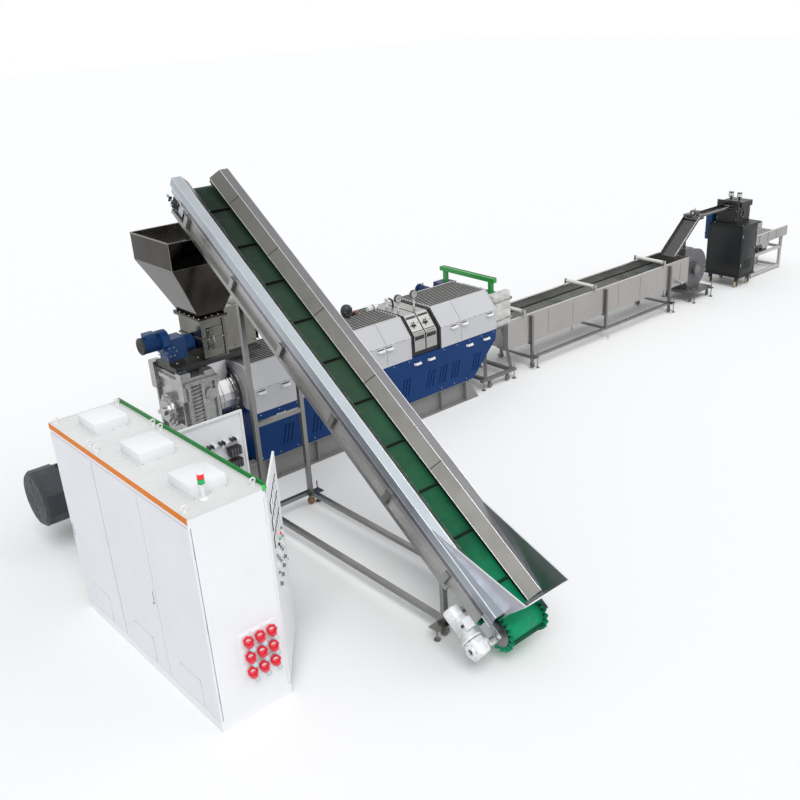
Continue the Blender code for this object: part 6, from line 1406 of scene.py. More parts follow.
    def trough_sheets(self) -> None:
        """Inner boards, the flanges with their skirts and the side plates in their own sheets, with rounded folds
        and lap straps; the inner boards darken upwards in painted shade, the far flange is in painted shade, the
        near flange in a painted sky reflection, the side plates in painted shade and the folds in painted
        highlights.
        """
        boards = [self.strip(side, 0, 0.0042, 0.002, TROUGH_INNER) for side in (-1, 1)]
        for side in (-1, 1):
            boards += [self.strip(side, 0, 0.0056, 0.0012, SEAM_DARK, 0.004, seam - 0.005, seam + 0.005)
                for seam in self.seams]
            lip = np.array([(side * 0.1285, self.trough_start + 0.02, 0.1505), (side * 0.1285,
                self.trough_end - 0.02, 0.1505)])
            boards.append(swept(rounded(0.0025, 0.0165, 0.0015, 1), lip, (1, 0, 0), PLEAT_SHADE))
            low, high = self.closer_ends
            corners = [(side * self.closer_x, low, -0.1), (side * self.closer_x, high, -0.1),
                (side * self.closer_x, high, 0.08), (side * self.closer_x, low, 0.08)]
            boards.append(panel(corners if side > 0 else corners[::-1], 0.0, 0.0025, CLOSER_SHEET))
        self.add("trough_boards", self.placed(boards), "conveyor_trough")
        # The far flange and skirt in painted shade, the near ones in a painted sky reflection.
        far = [self.strip(1, face, 0.0039, 0.0014, FAR_FLANGE_PAINTED_SHADE) for face in (1, 2)]
        near = [self.strip(-1, face, 0.0039, 0.0014, NEAR_FLANGE_PAINTED_SKY_REFLECTION) for face in (1, 2)]
        # The side plates in painted shade.
        plates = [self.strip(side, 4, 0.0039, 0.0014, SIDE_PLATE_PAINTED_SHADE, 0.003, 0.2, 5.5) for side in (-1, 1)]
        self.add("trough_flanges", self.placed(far + near + plates), "conveyor_trough")
        folds = []
        for side in (-1, 1):
            for x, n in ((0.234, 0.2645), (0.3365, 0.2645), (0.3365, 0.1695), (0.3065, 0.0655),
                    (0.129, 0.168)):
                path = np.array([(side * x, self.trough_start, n), (side * x, self.trough_end, n)])
                # Folds: the upper ones in a painted highlight, the lowest in painted shade.
                folds.append(tube(path, 0.0042, FOLD_PAINTED_HIGHLIGHT if n > 0.06 else SIDE_PLATE_PAINTED_SHADE, 10))
        self.add("trough_folds", self.placed(folds), "conveyor_trough")
        self.chute()

    def chute(self) -> None:
        """The loading chute's grey linings, pale in painted light on one side and in painted shade on the other
        side and the end, its folded rim in a painted highlight, and the folds at its feet in painted shade.
        """
        base, start, low, foot_x, rim_x = 0.267, 1.065, 0.07, 0.24, 0.27
        rim = self.matrix().inverted() @ Vector((self.origin[0], -5.196, 0.781))
        corners = {side: [(side * 0.329, start, base), (side * foot_x, low, base),
            (side * rim_x, rim.y, rim.z)] for side in (-1, 1)}
        # Painted light and shade: one side's lining pale, the other side and the end in the darker copy.
        surfaces = [panel(corners[1], 0.0032, 0.0012, CHUTE_SHADE), panel(corners[-1], 0.0032, 0.0012,
            CHUTE_PAINTED_LIGHT)]
        end = [(-foot_x, low, base), (foot_x, low, base), (rim_x, rim.y, rim.z), (-rim_x, rim.y, rim.z)]
        surfaces.append(panel(end[::-1], 0.0032, 0.0012, CHUTE_SHADE))
        path = np.array([corners[1][0], corners[1][2], corners[-1][2], corners[-1][0]])
        fine = np.concatenate([np.linspace(first, second, 8, endpoint=False) for first,
            second in zip(path, path[1:])])
        surfaces.append(tube(np.concatenate((fine, path[-1:])), 0.0068, FOLD_PAINTED_HIGHLIGHT, 10))
        for side in (-1, 1):
            surfaces += [tube(np.array([corners[side][1], corners[side][2]]), 0.0055, FOLD_PAINTED_HIGHLIGHT, 10),
                tube(np.array([corners[side][0], corners[side][1]]), 0.0045, SIDE_PLATE_PAINTED_SHADE, 10)]
        self.add("chute_linings", self.placed(surfaces), "loading_chute")

    def fasteners(self) -> None:
        """Dome rivets along the flanges, screws on the side plates and bolts where the struts meet them."""
        dome = [(0.0, 0.0), (0.0055, 0.0), (0.005, 0.0016), (0.003, 0.0028), (0.0, 0.0032)]
        surfaces = []
        for side in (-1, 1):
            surfaces += [turned(dome, (side * 0.262, s, 0.2645), (0, 0, 1), ZINC, 12)
                for s in np.arange(0.45, self.trough_end - 0.1, 0.36)]
            surfaces += [turned(dome, (side * 0.3365, s, 0.2), (side, 0, 0), ZINC, 12)
                for s in np.arange(0.3, self.trough_end - 0.1, 0.72)]
            surfaces += [bolt((side * 0.3065, s, n), (side, 0, 0), 0.009, 0.007, ZINC)
                for s in np.arange(0.55, self.trough_end - 0.2, 0.95) for n in (0.085, 0.14)]
        self.add("trough_fasteners", self.placed(surfaces), "conveyor_trough")

    def bearings(self) -> None:
        """Flange bearing units at both drums and the head's take-up screws."""
        surfaces = []
        housing = [(0.0, 0.0), (0.05, 0.0), (0.048, 0.012), (0.036, 0.018), (0.034, 0.034), (0.026, 0.038),
            (0.024, 0.03), (0.0, 0.03)]
        for side in (-1, 1):
            for s in (0.0, self.spacing):
                face = side * 0.3075
                if s == 0.0 and side < 0:
                    continue
                surfaces += [centred_box((face + side * 0.004, s, 0.0), (0.01, 0.115, 0.115), 0.004,
                    CAST_DARK), turned(housing, (face + side * 0.008, s, 0.0), (side, 0, 0), CAST_DARK, 32),
                    *bolts_round((face + side * 0.009, s, 0.0), (side, 0, 0), 0.063, 4, 0.009, ZINC,
                    math.pi / 4), turned([(0, 0), (0.02, 0), (0.02, 0.02), (0.018, 0.022), (0, 0.022)],
                    (face + side * 0.036, s, 0.0), (side, 0, 0), BRIGHT_STEEL, 24)]
            x = side * 0.325
            surfaces += [centred_box((x, self.spacing + 0.09, -0.002), (0.035, 0.012, 0.06), 0.003,
                CAST_DARK), tube(np.array([(x, self.spacing - 0.02, 0.0), (x, self.spacing + 0.16, 0.0)]),
                0.008, ZINC, 10), bolt((x, self.spacing + 0.096, 0.0), (0, 1, 0), 0.015, 0.012, ZINC),
                bolt((x, self.spacing + 0.128, 0.0), (0, 1, 0), 0.015, 0.012, ZINC)]
        self.add("drum_bearings", self.placed(surfaces), "conveyor_frame")

    def drive(self) -> None:
        """The worm gear-motor: ribbed housing, bored flange, finned motor, fan cowl and terminal box."""
        x = -0.49
        surfaces = [centred_box((x, 0.0, 0.0), (0.13, 0.165, 0.165), 0.022, DRIVE_WHITE),
            turned([(0, 0), (0.088, 0), (0.09, 0.004), (0.09, 0.016), (0.084, 0.02), (0.06, 0.022),
            (0.055, 0.034), (0.032, 0.036), (0.03, 0.012), (0, 0.012)], (x - 0.055, 0.0, 0.0), (-1, 0, 0),
            DRIVE_WHITE, 40), turned([(0, 0), (0.029, 0), (0.029, 0.004), (0, 0.004)], (x - 0.066, 0.0, 0.0),
            (-1, 0, 0), CAST_DARK, 24),
            turned([(0, 0), (0.075, 0), (0.075, 0.014), (0.05, 0.02), (0.045, 0.06), (0, 0.06)],
            (x + 0.055, 0.0, 0.0), (1, 0, 0), DRIVE_WHITE, 32), *bolts_round((x - 0.075, 0.0, 0.0),
            (-1, 0, 0), 0.073, 6, 0.007, ZINC)]
        for step in (-0.05, -0.025, 0.0, 0.025, 0.05):
            surfaces += [centred_box((x, step, 0.084), (0.1, 0.006, 0.012), 0.002, DRIVE_WHITE),
                centred_box((x, step, -0.084), (0.1, 0.006, 0.012), 0.002, DRIVE_WHITE)]
        surfaces += [turned([(0, 0), (0.098, 0), (0.1, 0.003), (0.1, 0.015), (0.08, 0.02), (0.07, 0.06),
            (0, 0.06)], (x, 0.085, 0.0), (0, 1, 0), DRIVE_WHITE, 36), finned((x, 0.14, 0.0), (0, 1, 0), 0.17,
            0.066, 0.011, 28, DRIVE_WHITE), *fan_cowl((x, 0.305, 0.0), (0, 1, 0), 0.079, 0.11, DRIVE_WHITE),
            centred_box((x, 0.21, 0.088), (0.09, 0.1, 0.05), 0.008, DRIVE_WHITE),
            centred_box((x, 0.21, 0.115), (0.096, 0.106, 0.008), 0.003, DRIVE_WHITE),
            turned([(0, 0), (0.014, 0), (0.014, 0.012), (0.009, 0.02), (0, 0.02)], (x - 0.045, 0.21, 0.085),
            (-1, 0, 0), BLACK_PLASTIC, 16), centred_box((-0.36, -0.03, 0.055), (0.09, 0.05, 0.012), 0.003,
            ZINC), *bolts_round((x, 0.21, 0.119), (0, 0, 1), 0.055, 4, 0.004, ZINC, math.pi / 4)]
        self.add("conveyor_drive", self.placed(surfaces), "conveyor_gearmotor", ("conveyor_gearmotor",))

    def feet(self) -> None:
        """Brown nylon tyres on the parked wheels, and the nuts on their hubs."""
        surfaces = []
        for x in (-4.095, -3.485):
            for y in self.leg_places:
                surfaces += [turned([(0, -0.016), (0.036, -0.016), (0.044, -0.012), (0.0465, -0.006),
                    (0.0465, 0.006), (0.044, 0.012), (0.036, 0.016), (0, 0.016)], (x, y, 0.0512), (0, 1, 0),
                    TYRE_BROWN, 32), bolt((x, y - 0.016, 0.0512), (0, -1, 0), 0.009, 0.006, ZINC)]
        self.add("conveyor_wheel_tyres", surfaces, "conveyor_legs")


# Motor and gearbox
@dataclass
class ExtruderDrive(Station):
    """The main motor behind the frame, the gearbox with its bearing hub, and the frame's own fittings."""

    motor_axis: float = 0.65
    screw_axis: float = 1.15
    gear_back: float = -4.4
    gear_front: float = -3.98
    gear_half: float = 0.4
    gear_top: float = 1.6
    split: float = 1.0

    def build(self) -> list[bpy.types.Object]:
        """Make the drive's pieces.

        Returns:
            The pieces.
        """
        self.motor()
        self.gearbox()
        self.neck()
        self.anchors()
        return self.made

    def motor(self) -> None:
        """A ring grille on the motor's tail, a terminal box, a lifting eye, and bolts on the end shields."""
        z = self.motor_axis
        surfaces = fan_cowl((-6.02, 0.0, z), (-1, 0, 0), 0.3, 0.104, MOTOR_GREY)
        surfaces += [*bolts_round((-5.075, 0.0, z), (1, 0, 0), 0.24, 8, 0.014, ZINC),
            centred_box((-5.45, 0.0, z + 0.375), (0.28, 0.24, 0.13), 0.02, MOTOR_GREY),
            centred_box((-5.45, 0.0, z + 0.446), (0.3, 0.26, 0.014), 0.005, MOTOR_GREY),
            turned([(0, 0), (0.03, 0), (0.03, 0.03), (0.02, 0.05), (0, 0.05)], (-5.45, -0.12, z + 0.37),
            (0, -1, 0), BLACK_PLASTIC, 20), *lifting_eye((-5.75, 0.0, z + 0.315), ZINC, 0.045)]
        self.add("main_motor_fittings", surfaces, "main_motor")

    def gearbox(self) -> None:
        """Cooling ribs, cover and split-line bolts, hub rings, a filler, a sight glass and a drain plug."""
        x0, x1, half = self.gear_back, self.gear_front, self.gear_half
        surfaces = []
        for side in (-1, 1):
            surfaces += [centred_box(((x0 + x1) / 2 - 0.02, side * (half - 0.018), z), (0.34, 0.03, 0.014),
                0.005, GEARBOX_SILVER) for z in np.arange(0.46, 0.95, 0.045)]
            surfaces += [centred_box(((x0 + x1) / 2 - 0.07, side * (half - 0.018), z), (0.2, 0.03, 0.014),
                0.005, GEARBOX_SILVER) for z in np.arange(1.08, 1.5, 0.045)]
            surfaces += [*bolts_along((x0 + 0.03, side * (half - 0.004), self.split + 0.021),
                (x1 - 0.03, side * (half - 0.004), self.split + 0.021), 5, (0, 0, 1), 0.014, ZINC),
                *bolts_round((x1 - 0.12, side * (half + 0.01), 1.36), (0, side, 0), 0.058, 6, 0.009, ZINC)]
        surfaces += [bolt((x, y, self.gear_top), (0, 0, 1), 0.013, 0.011, ZINC)
            for y in np.linspace(-half + 0.07, half - 0.07, 5) for x in (x0 + 0.06, x1 - 0.06)]
        surfaces += [*bolts_round((x0 - 0.045, 0.0, self.screw_axis), (-1, 0, 0), 0.183, 12, 0.012, ZINC),
            *bolts_round((x0 - 0.075, 0.0, self.screw_axis), (-1, 0, 0), 0.143, 8, 0.01, ZINC, 0.2),
            ring((x0 - 0.076, 0.0, self.screw_axis), (-1, 0, 0), 0.1, 0.125, 0.006, BRIGHT_STEEL, 48),
            turned([(0, 0), (0.045, 0), (0.045, 0.012), (0.035, 0.016), (0, 0.016)],
            (x0 - 0.12, 0.0, self.screw_axis), (-1, 0, 0), BRIGHT_STEEL, 32),
            turned([(0, 0), (0.028, 0), (0.028, 0.03), (0.036, 0.034), (0.036, 0.055), (0.02, 0.065),
            (0, 0.066)], (x0 + 0.14, -0.18, self.gear_top), (0, 0, 1), BLACK_PLASTIC, 24),
            turned([(0, 0), (0.03, 0), (0.03, 0.01), (0.024, 0.012), (0.022, 0.006), (0, 0.006)],
            (x0 + 0.1, -half + 0.026, 0.72), (0, -1, 0), ZINC, 24), bolt((x0 - 0.003, 0.25, 0.42), (-1, 0, 0),
            0.02, 0.016, ZINC), *lifting_eye((x1 - 0.2, 0.0, self.gear_top), ZINC, 0.035)]
        self.add("gearbox_fittings", surfaces, "gearbox")

    def neck(self) -> None:
        """Turned rings on the bright neck and the bolts of its dark flange."""
        z = self.screw_axis
        surfaces = [ring((x, 0.0, z), (1, 0, 0), 0.268, 0.2795, 0.012, BRIGHT_STEEL, 56)
            for x in (-3.93, -3.88, -3.77)]
        surfaces += [ring((-3.7105, 0.0, z), (1, 0, 0), 0.274, 0.334, 0.046, ADAPTER_BLACK, 56),
            *bolts_round((-3.7105, 0.0, z), (-1, 0, 0), 0.304, 16, 0.012, ZINC)]
        self.add("barrel_neck_rings", surfaces, "feed_barrel")

    def anchors(self) -> None:
        """Anchor bolts with washers along the base frame's feet."""
        surfaces = []
        for x in (-5.5, -4.4, -3.3, -2.2, -1.1, -0.1):
            for side in (-1, 1):
                spot = (x, side * 0.4, 0.02)
                surfaces += [ring(spot, (0, 0, 1), 0.008, 0.02, 0.003, ZINC, 20),
                    bolt((spot[0], spot[1], 0.022), (0, 0, 1), 0.014, 0.012, ZINC)]
        self.add("frame_anchor_bolts", surfaces, "base_frame")


# Feeder and hopper
@dataclass
class Feeder(Station):
    """The polished hopper, the stainless feeder under it, and the blue gear-motor at its side."""

    x: float = -3.88
    half_length: float = 0.47
    half_width: float = 0.43
    collar: float = 2.84
    top: float = 3.14
    outlet: float = 2.2
    outlet_half: tuple[float, float] = (0.15, 0.25)
    drive: tuple[float, float] = (-4.3, 1.9)

    def build(self) -> list[bpy.types.Object]:
        """Make the feeder's pieces.

        Returns:
            The pieces.
        """
        self.hopper()
        self.casing()
        self.gearmotor()
        return self.made

    def hopper(self) -> None:
        """A rolled rim, weld beads down the cone's corners and round its waist, the flange bolts, and lining
        panels inside in a paler sheet painted as the light within.
        """
        corners = np.array([(self.half_length, self.half_width), (-self.half_length, self.half_width),
            (-self.half_length, -self.half_width), (self.half_length, -self.half_width)])
        outlet = np.array([(1, 1), (-1, 1), (-1, -1), (1, -1)]) * self.outlet_half
        rim = np.array([(self.x + x, y, self.top - 0.004) for x, y in corners])
        surfaces = [tube(np.stack((start, end)), 0.0085, HOPPER_EDGE, 12) for start,
            end in zip(rim, np.roll(rim, -1, 0))]
        for (x, y), (low_x, low_y) in zip(corners, outlet):
            surfaces += [tube(np.array([(self.x + x, y, self.top), (self.x + x, y, self.collar)]), 0.0035,
                HOPPER_EDGE, 8),
                tube(np.array([(self.x + x, y, self.collar), (self.x + low_x, low_y, self.outlet + 0.02)]),
                0.0038, HOPPER_EDGE, 8)]
        waist = np.array([(self.x + x, y, self.collar) for x, y in corners])
        surfaces += [tube(np.stack((start, end)), 0.003, HOPPER_EDGE, 8) for start,
            end in zip(waist, np.roll(waist, -1, 0))]
        reach_x, reach_y = self.outlet_half[0] + 0.018, self.outlet_half[1] + 0.018
        surfaces += [bolt((self.x + x, y, self.outlet + 0.0005), (0, 0, 1), 0.009, 0.008, ZINC)
            for y in np.linspace(-reach_y, reach_y, 6) for x in (-reach_x, reach_x)]
        surfaces += [bolt((self.x + x, y, self.outlet + 0.0005), (0, 0, 1), 0.009, 0.008, ZINC)
            for x in (-0.08, 0.0, 0.08) for y in (-reach_y, reach_y)]
        # Lining panels inside the hopper in a paler sheet: painted light.
        rows = [[(self.x + x - math.copysign(0.009, x), y - math.copysign(0.009, y), z) for x, y in plan]
            for plan,
            z in ((corners, self.top - 0.012), (corners, self.collar), (outlet, self.outlet + 0.02))]
        for upper, lower in zip(rows, rows[1:]):
            for side in range(4):
                after = (side + 1) % 4
                surfaces.append(panel([upper[side], upper[after], lower[after], lower[side]], 0.0, 0.0012,
                    HOPPER_PAINTED_LIGHT_LINING))
        self.add("hopper_edges", surfaces, "hopper")

    def casing(self) -> None:
        """Flange strips, an inspection cover with its nuts and handle, the side box's panel, lid and bolts, and
        the black adapter's bolts.
        """
        half_x, half_y = self.outlet_half
        surfaces = []
        for z in (1.708, 2.172):
            surfaces += [centred_box((self.x, side * (half_y + 0.006), z), (2 * half_x + 0.03, 0.03, 0.012),
                0.004, STAINLESS_Z) for side in (-1, 1)]
        surfaces.append(centred_box((self.x + 0.01, -half_y - 0.005, 1.94), (0.2, 0.012, 0.26), 0.004,
            STAINLESS_Z))
        surfaces += [bolt((self.x + 0.01 + dx, -half_y - 0.0115, z), (0, -1, 0), 0.008, 0.008, ZINC)
            for dx in (-0.085, 0.085) for z in (1.83, 1.94, 2.05)]
        handle = np.array([(self.x - 0.03, -half_y - 0.01, 1.9), (self.x - 0.03, -half_y - 0.05, 1.9),
            (self.x - 0.03, -half_y - 0.05, 1.98), (self.x - 0.03, -half_y - 0.01, 1.98)])
        surfaces.append(tube(handle, 0.006, ZINC, 10))
        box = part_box("side_box")
        low, high = np.array(box[0]), np.array(box[1])
        surfaces += [centred_box((high[0] + 0.001, 0.0, float(high[2] + low[2]) / 2),
            (0.008, float(high[1] - low[1]) - 0.06, float(high[2] - low[2]) - 0.1), 0.003, SIDE_SHEET),
            centred_box((float(low[0] + high[0]) / 2 + 0.05, 0.0, high[2] + 0.0015),
            (float(high[0] - low[0]) * 0.6, float(high[1] - low[1]) - 0.08, 0.006), 0.002, SIDE_SHEET)]
        for y in (low[1] + 0.02, high[1] - 0.02):
            surfaces += bolts_along((high[0], y, low[2] + 0.05), (high[0], y, high[2] - 0.04), 5, (1, 0, 0),
                0.007, ZINC)
        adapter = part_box("feeder_adapter")
        low, high = np.array(adapter[0]), np.array(adapter[1])
        surfaces += [bolt((x, y, high[2]), (0, 0, 1), 0.01, 0.009, ZINC) for x in np.linspace(low[0] + 0.04,
            high[0] - 0.04, 5) for y in (low[1] + 0.025, high[1] - 0.025)]
        self.add("feeder_casing_fittings", surfaces, "feeder_casing")

    def gearmotor(self) -> None:
        """The blue worm gear-motor: a round-edged case, a bolted cover, a finned motor and its dark fan cowl."""
        x, z = self.drive
        surfaces = [*bolts_round((x - 0.06, -0.131, z - 0.03), (0, -1, 0), 0.055, 6, 0.008, ZINC),
            ring((x - 0.06, -0.13, z - 0.03), (0, -1, 0), 0.028, 0.046, 0.006, DRIVE_BLUE, 32)]
        motor_z = z + 0.08
        surfaces += [finned((x - 0.14, 0.0, motor_z), (-1, 0, 0), 0.21, 0.083, 0.011, 32, DRIVE_BLUE),
            *fan_cowl((x - 0.34, 0.0, motor_z), (-1, 0, 0), 0.098, 0.024, ADAPTER_BLACK),
            centred_box((x - 0.23, 0.0, motor_z + 0.1), (0.11, 0.1, 0.05), 0.01, DRIVE_BLUE),
            centred_box((x - 0.23, 0.0, motor_z + 0.127), (0.116, 0.106, 0.008), 0.003, DRIVE_BLUE),
            *bolts_round((x - 0.23, 0.0, motor_z + 0.131), (0, 0, 1), 0.056, 4, 0.004, ZINC, math.pi / 4)]
        self.add("feeder_drive_fittings", surfaces, "feeder_gearmotor")


# Guarded barrel
@dataclass
class GuardedBarrel(Station):
    """The barrel's grey guards and blue skirts, the vent boxes in their well, and the fittings above them."""

    seam: tuple[float, float] = (0.552, 0.99)
    fold: tuple[float, float] = (0.552, 1.29)
    crest: tuple[float, float] = (0.35, 1.53)
    covers: tuple[tuple[float, float], ...] = ((-3.63, -1.2), (-0.66, 0.42))
    cover_seams: tuple[float, ...] = (-2.98, -2.35, -1.62, -0.28)
    cover_handles: tuple[float, ...] = (-3.54, -3.2, -1.72, -1.58, -0.42, -0.22, 0.28)
    skirt_handles: tuple[float, ...] = (-3.3, -2.5, -1.1, -0.85, -0.12, 0.22)
    slot_groups: tuple[float, ...] = (-3.2, -2.76, -2.3, -1.95, -1.28, -0.83, -0.6, -0.36, 0.05)
    slot_pitch: float = 0.055
    slot_middle: float = 0.575
    slot_reach: float = 0.13
    slot_depth: float = 0.012
    skirt_foot: float = 0.3203
    vents: tuple[tuple[float, float], ...] = ((-1.13, -0.94), (-0.92, -0.73))
    gauges: tuple[float, ...] = (-1.1, -0.82)

    def build(self) -> list[bpy.types.Object]:
        """Make every fitting of the guarded barrel.

        Returns:
            The pieces.
        """
        self.seam_strips()
        self.louvres()
        self.handles()
        self.slots()
        self.screws()
        self.vent_fronts()
        self.well_lining()
        self.dials()
        self.valves()
        return self.made

    def skirt_half(self, z: float) -> float:
        """The skirt's half width at a height: it leans outwards from its foot to the seam."""
        return 0.46 + (z - self.skirt_foot) / (self.seam[1] - self.skirt_foot) * 0.092

    def profile(self, side: int, inset: float = 0.0) -> list[tuple[float, float]]:
        """The cover's side as (y, z) pairs from the seam over the fold to the crest, drawn in by an inset."""
        return [(side * (self.seam[0] - inset), self.seam[1]), (side * (self.fold[0] - inset),
            self.fold[1] - inset / 2), (side * (self.crest[0] - inset / 2), self.crest[1] - inset)]

    def across(self, x: float, side: int, width: float, lift: float, finish: "Finish",
            inset: float = 0.0) -> Surface:
        """A thin strip that runs up the cover's side at one place along the line."""
        path = np.array([(x, y, z) for y, z in self.profile(side, inset)])
        half = width / 2
        return swept(np.array([(-half, -lift), (half, -lift), (half, lift), (-half, lift)]), path, (1, 0, 0),
            finish)

    def seam_strips(self) -> None:
        """Dark gaps between the lift-off panels, folded hems at the covers' ends, and the fold and crest lines as
        paler beads of painted highlight.
        """
        gaps = [self.across(x, side, 0.004, 0.0008, SEAM_DARK) for x in self.cover_seams for side in (-1, 1)]
        hems = []
        for start, end in self.covers:
            for side in (-1, 1):
                hems += [self.across(x, side, 0.02, 0.0025, GUARD_GREY) for x in (start + 0.011, end - 0.011)]
                lower = np.array([(start + 0.004, side * 0.5525, 0.998), (end - 0.004, side * 0.5525, 0.998)])
                hems.append(swept(rounded(0.0028, 0.007, 0.002, 1), lower, (0, 1, 0), GUARD_GREY))
                # The fold and crest beads are a paler grey: painted highlight.
                fold = np.array([(start + 0.004, side * 0.5508, 1.2895), (end - 0.004, side * 0.5508,
                    1.2895)])
                hems.append(tube(fold, 0.0035, GREY_PAINTED_HIGHLIGHT_AND_SHADE, 8))
                crest = np.array([(start + 0.004, side * 0.349, 1.529), (end - 0.004, side * 0.349, 1.529)])
                hems.append(tube(crest, 0.0045, GREY_PAINTED_HIGHLIGHT_AND_SHADE, 8))
                gaps += [centred_box((x, side * 0.5528, 1.281), (0.05, 0.002, 0.0035), 0.0008, SEAM_DARK)
                    for x in np.arange(start + 0.1, end - 0.05, 0.11)]
        self.add("guard_panel_gaps", gaps, "guard_cover_rear")
        self.add("guard_hems", hems, "guard_cover_rear")

    def louvres(self) -> None:
        """The cooling louvres on the covers' tops: dark strips behind each lip, painted as the shade in the gaps,
        and dusty blades between them.
        """
        half, top = self.crest[0] - 0.03, self.crest[1]
        pitch = 2 * half / 12
        surfaces = []
        for start, end in self.covers:
            x0, x1 = start + 0.03, end - 0.03
            for index in range(12):
                y = half - index * pitch
                lip = y - 0.55 * pitch
                # The dark strip behind each lip is painted shade in the louvre's gap.
                surfaces += [panel([(x0, lip, top + 0.018), (x1, lip, top + 0.018), (x1, y, top),
                    (x0, y, top)][::-1], 0.0022, 0.002, LOUVRE_GREY),
                    centred_box(((x0 + x1) / 2, lip - 0.0046, top + 0.0085), (x1 - x0, 0.003, 0.014), 0.0012,
                    SEAM_DARK), centred_box(((x0 + x1) / 2, lip - 0.0155, top + 0.002),
                    (x1 - x0, 0.0165, 0.004), 0.001, LOUVRE_GREY)]
        self.add("guard_louvres", surfaces, "guard_cover_rear")

    def pull(self, x: float, y: float, z: float, side: int) -> list[Surface]:
        """A pull handle: a dark plate behind it painted as the handle's shadow, a white rounded bar over it, and
        the two feet of the bar.
        """
        # Painted shadow: the dark plate behind the bar stands in for the shadow that the handle casts.
        return [centred_box((x, y - side * 0.001, z), (0.124, 0.006, 0.05), 0.003, SEAM_DARK),
            centred_box((x, y + side * 0.0215, z), (0.106, 0.04, 0.028), 0.009, WHITE_PLASTIC),
            centred_box((x - 0.054, y + side * 0.006, z), (0.014, 0.014, 0.036), 0.004, WHITE_PLASTIC),
            centred_box((x + 0.054, y + side * 0.006, z), (0.014, 0.014, 0.036), 0.004, WHITE_PLASTIC)]

    def handles(self) -> None:
        """White pull handles over the solids' plain grips, on the covers and on the skirts."""
        surfaces = []
        for side in (-1, 1):
            for x in self.cover_handles:
                surfaces += self.pull(x, side * 0.552, 1.235, side)
            for x in self.skirt_handles:
                surfaces += self.pull(x, side * self.skirt_half(0.89), 0.89, side)
        self.add("guard_handles", surfaces, "guard_cover_rear")

    def slots(self) -> None:
        """Black strips painted as the shade in the skirts' cooling slots, and the pressed lips round them."""
        low, high = self.slot_middle - self.slot_reach, self.slot_middle + self.slot_reach
        slot_shade, lips = [], []
        for side in (-1, 1):
            for group in self.slot_groups:
                for step in (-1, 0, 1):
                    x = group + step * self.slot_pitch
                    # Painted shade: a black strip near each slot's floor stands in for the shade inside the slot.
                    floor = [(x, side * (self.skirt_half(z) - self.slot_depth + 0.0012), z)
                        for z in (low, high)]
                    slot_shade.append(swept(np.array([(-0.0078, -0.001), (0.0078, -0.001), (0.0078, 0.001),
                        (-0.0078, 0.001)]), np.array(floor), (1, 0, 0), WELL_BLACK))
                    for edge in (-0.0092, 0.0092):
                        rim = np.array([(x + edge, side * (self.skirt_half(z) - 0.0003), z)
                            for z in (low, high)])
                        lips.append(tube(rim, 0.0018, GUARD_BLUE, 6))
        self.add("skirt_slot_painted_shade", slot_shade, "guard_skirt_rear")
        self.add("skirt_slot_lips", lips, "guard_skirt_rear")

    def screws(self) -> None:
        """Dome screws along the covers' hems, the skirts' feet and the panel gaps."""
        dome = [(0.0, -0.001), (0.0075, -0.001), (0.0072, 0.001), (0.0045, 0.003), (0.0, 0.0036)]
        spots = []
        for start, end in self.covers:
            for x in np.linspace(start + 0.05, end - 0.05, int((end - start) / 0.3) + 2):
                spots += [(x, 0.5545, 1.02), (x, self.skirt_half(0.36), 0.36), (x, self.skirt_half(0.955),
                    0.955)]
        for x in self.cover_seams:
            spots += [(x - 0.02, 0.5525, 1.08), (x + 0.02, 0.5525, 1.08), (x - 0.02, 0.5525, 1.24),
                (x + 0.02, 0.5525, 1.24)]
        surfaces = [turned(dome, (x, side * y, z), (0, side, 0), ZINC, 14) for x, y, z in spots
            for side in (-1, 1)]
        self.add("guard_screws", surfaces, "guard_skirt_rear")

    def vent_fronts(self) -> None:
        """The vent boxes' bands, openings, ring knobs and screws on the side that faces the operator."""
        slope = np.array((0.0, self.crest[0] - self.fold[0], self.crest[1] - self.fold[1]))
        along = np.array((0.0, 0.643, 0.764))
        out = np.array((0.0, -0.764, 0.643))
        foot = np.array((0.0, -0.54, 1.284))
        surfaces = []
        for start, end in self.vents:
            middle, width = (start + end) / 2, end - start
            for share, height, finish in ((0.06, 0.028, SIDE_SHEET), (0.16, 0.012, SEAM_DARK),
                    (0.83, 0.03, SEAM_DARK), (0.93, 0.012, STAINLESS_X)):
                centre = foot + along * np.linalg.norm(slope) * share + out * 0.001 + (middle, 0.0, 0.0)
                path = np.stack((centre - (width / 2 - 0.012, 0, 0), centre + (width / 2 - 0.012, 0, 0)))
                surfaces.append(swept(rounded(height / 2, 0.0025, 0.001, 1), path, tuple(along), finish))
            surfaces += [centred_box((middle, -0.542, 1.245), (width - 0.03, 0.008, 0.05), 0.003, WELL_BLACK),
                centred_box((middle, -0.5425, 1.275), (width - 0.02, 0.012, 0.008), 0.002, STAINLESS_X),
                centred_box((middle, -0.5425, 1.215), (width - 0.02, 0.012, 0.008), 0.002, STAINLESS_X)]
            knob = np.array((middle, -0.451, 1.41))
            surfaces += [ring(tuple(knob), tuple(out), 0.017, 0.03, 0.012, BLACK_PLASTIC, 32),
                turned([(0, 0), (0.016, 0), (0.016, 0.008), (0.012, 0.014), (0, 0.015)], tuple(knob),
                tuple(out), WHITE_PLASTIC, 28)]
            for edge in (start + 0.012, end - 0.012):
                for share in (0.2, 0.78):
                    spot = foot + along * np.linalg.norm(slope) * share + (edge, 0.0, 0.0)
                    surfaces.append(bolt(tuple(spot), tuple(out), 0.006, 0.004, ZINC))
        self.add("vent_box_fronts", surfaces, "vent_box_rear")

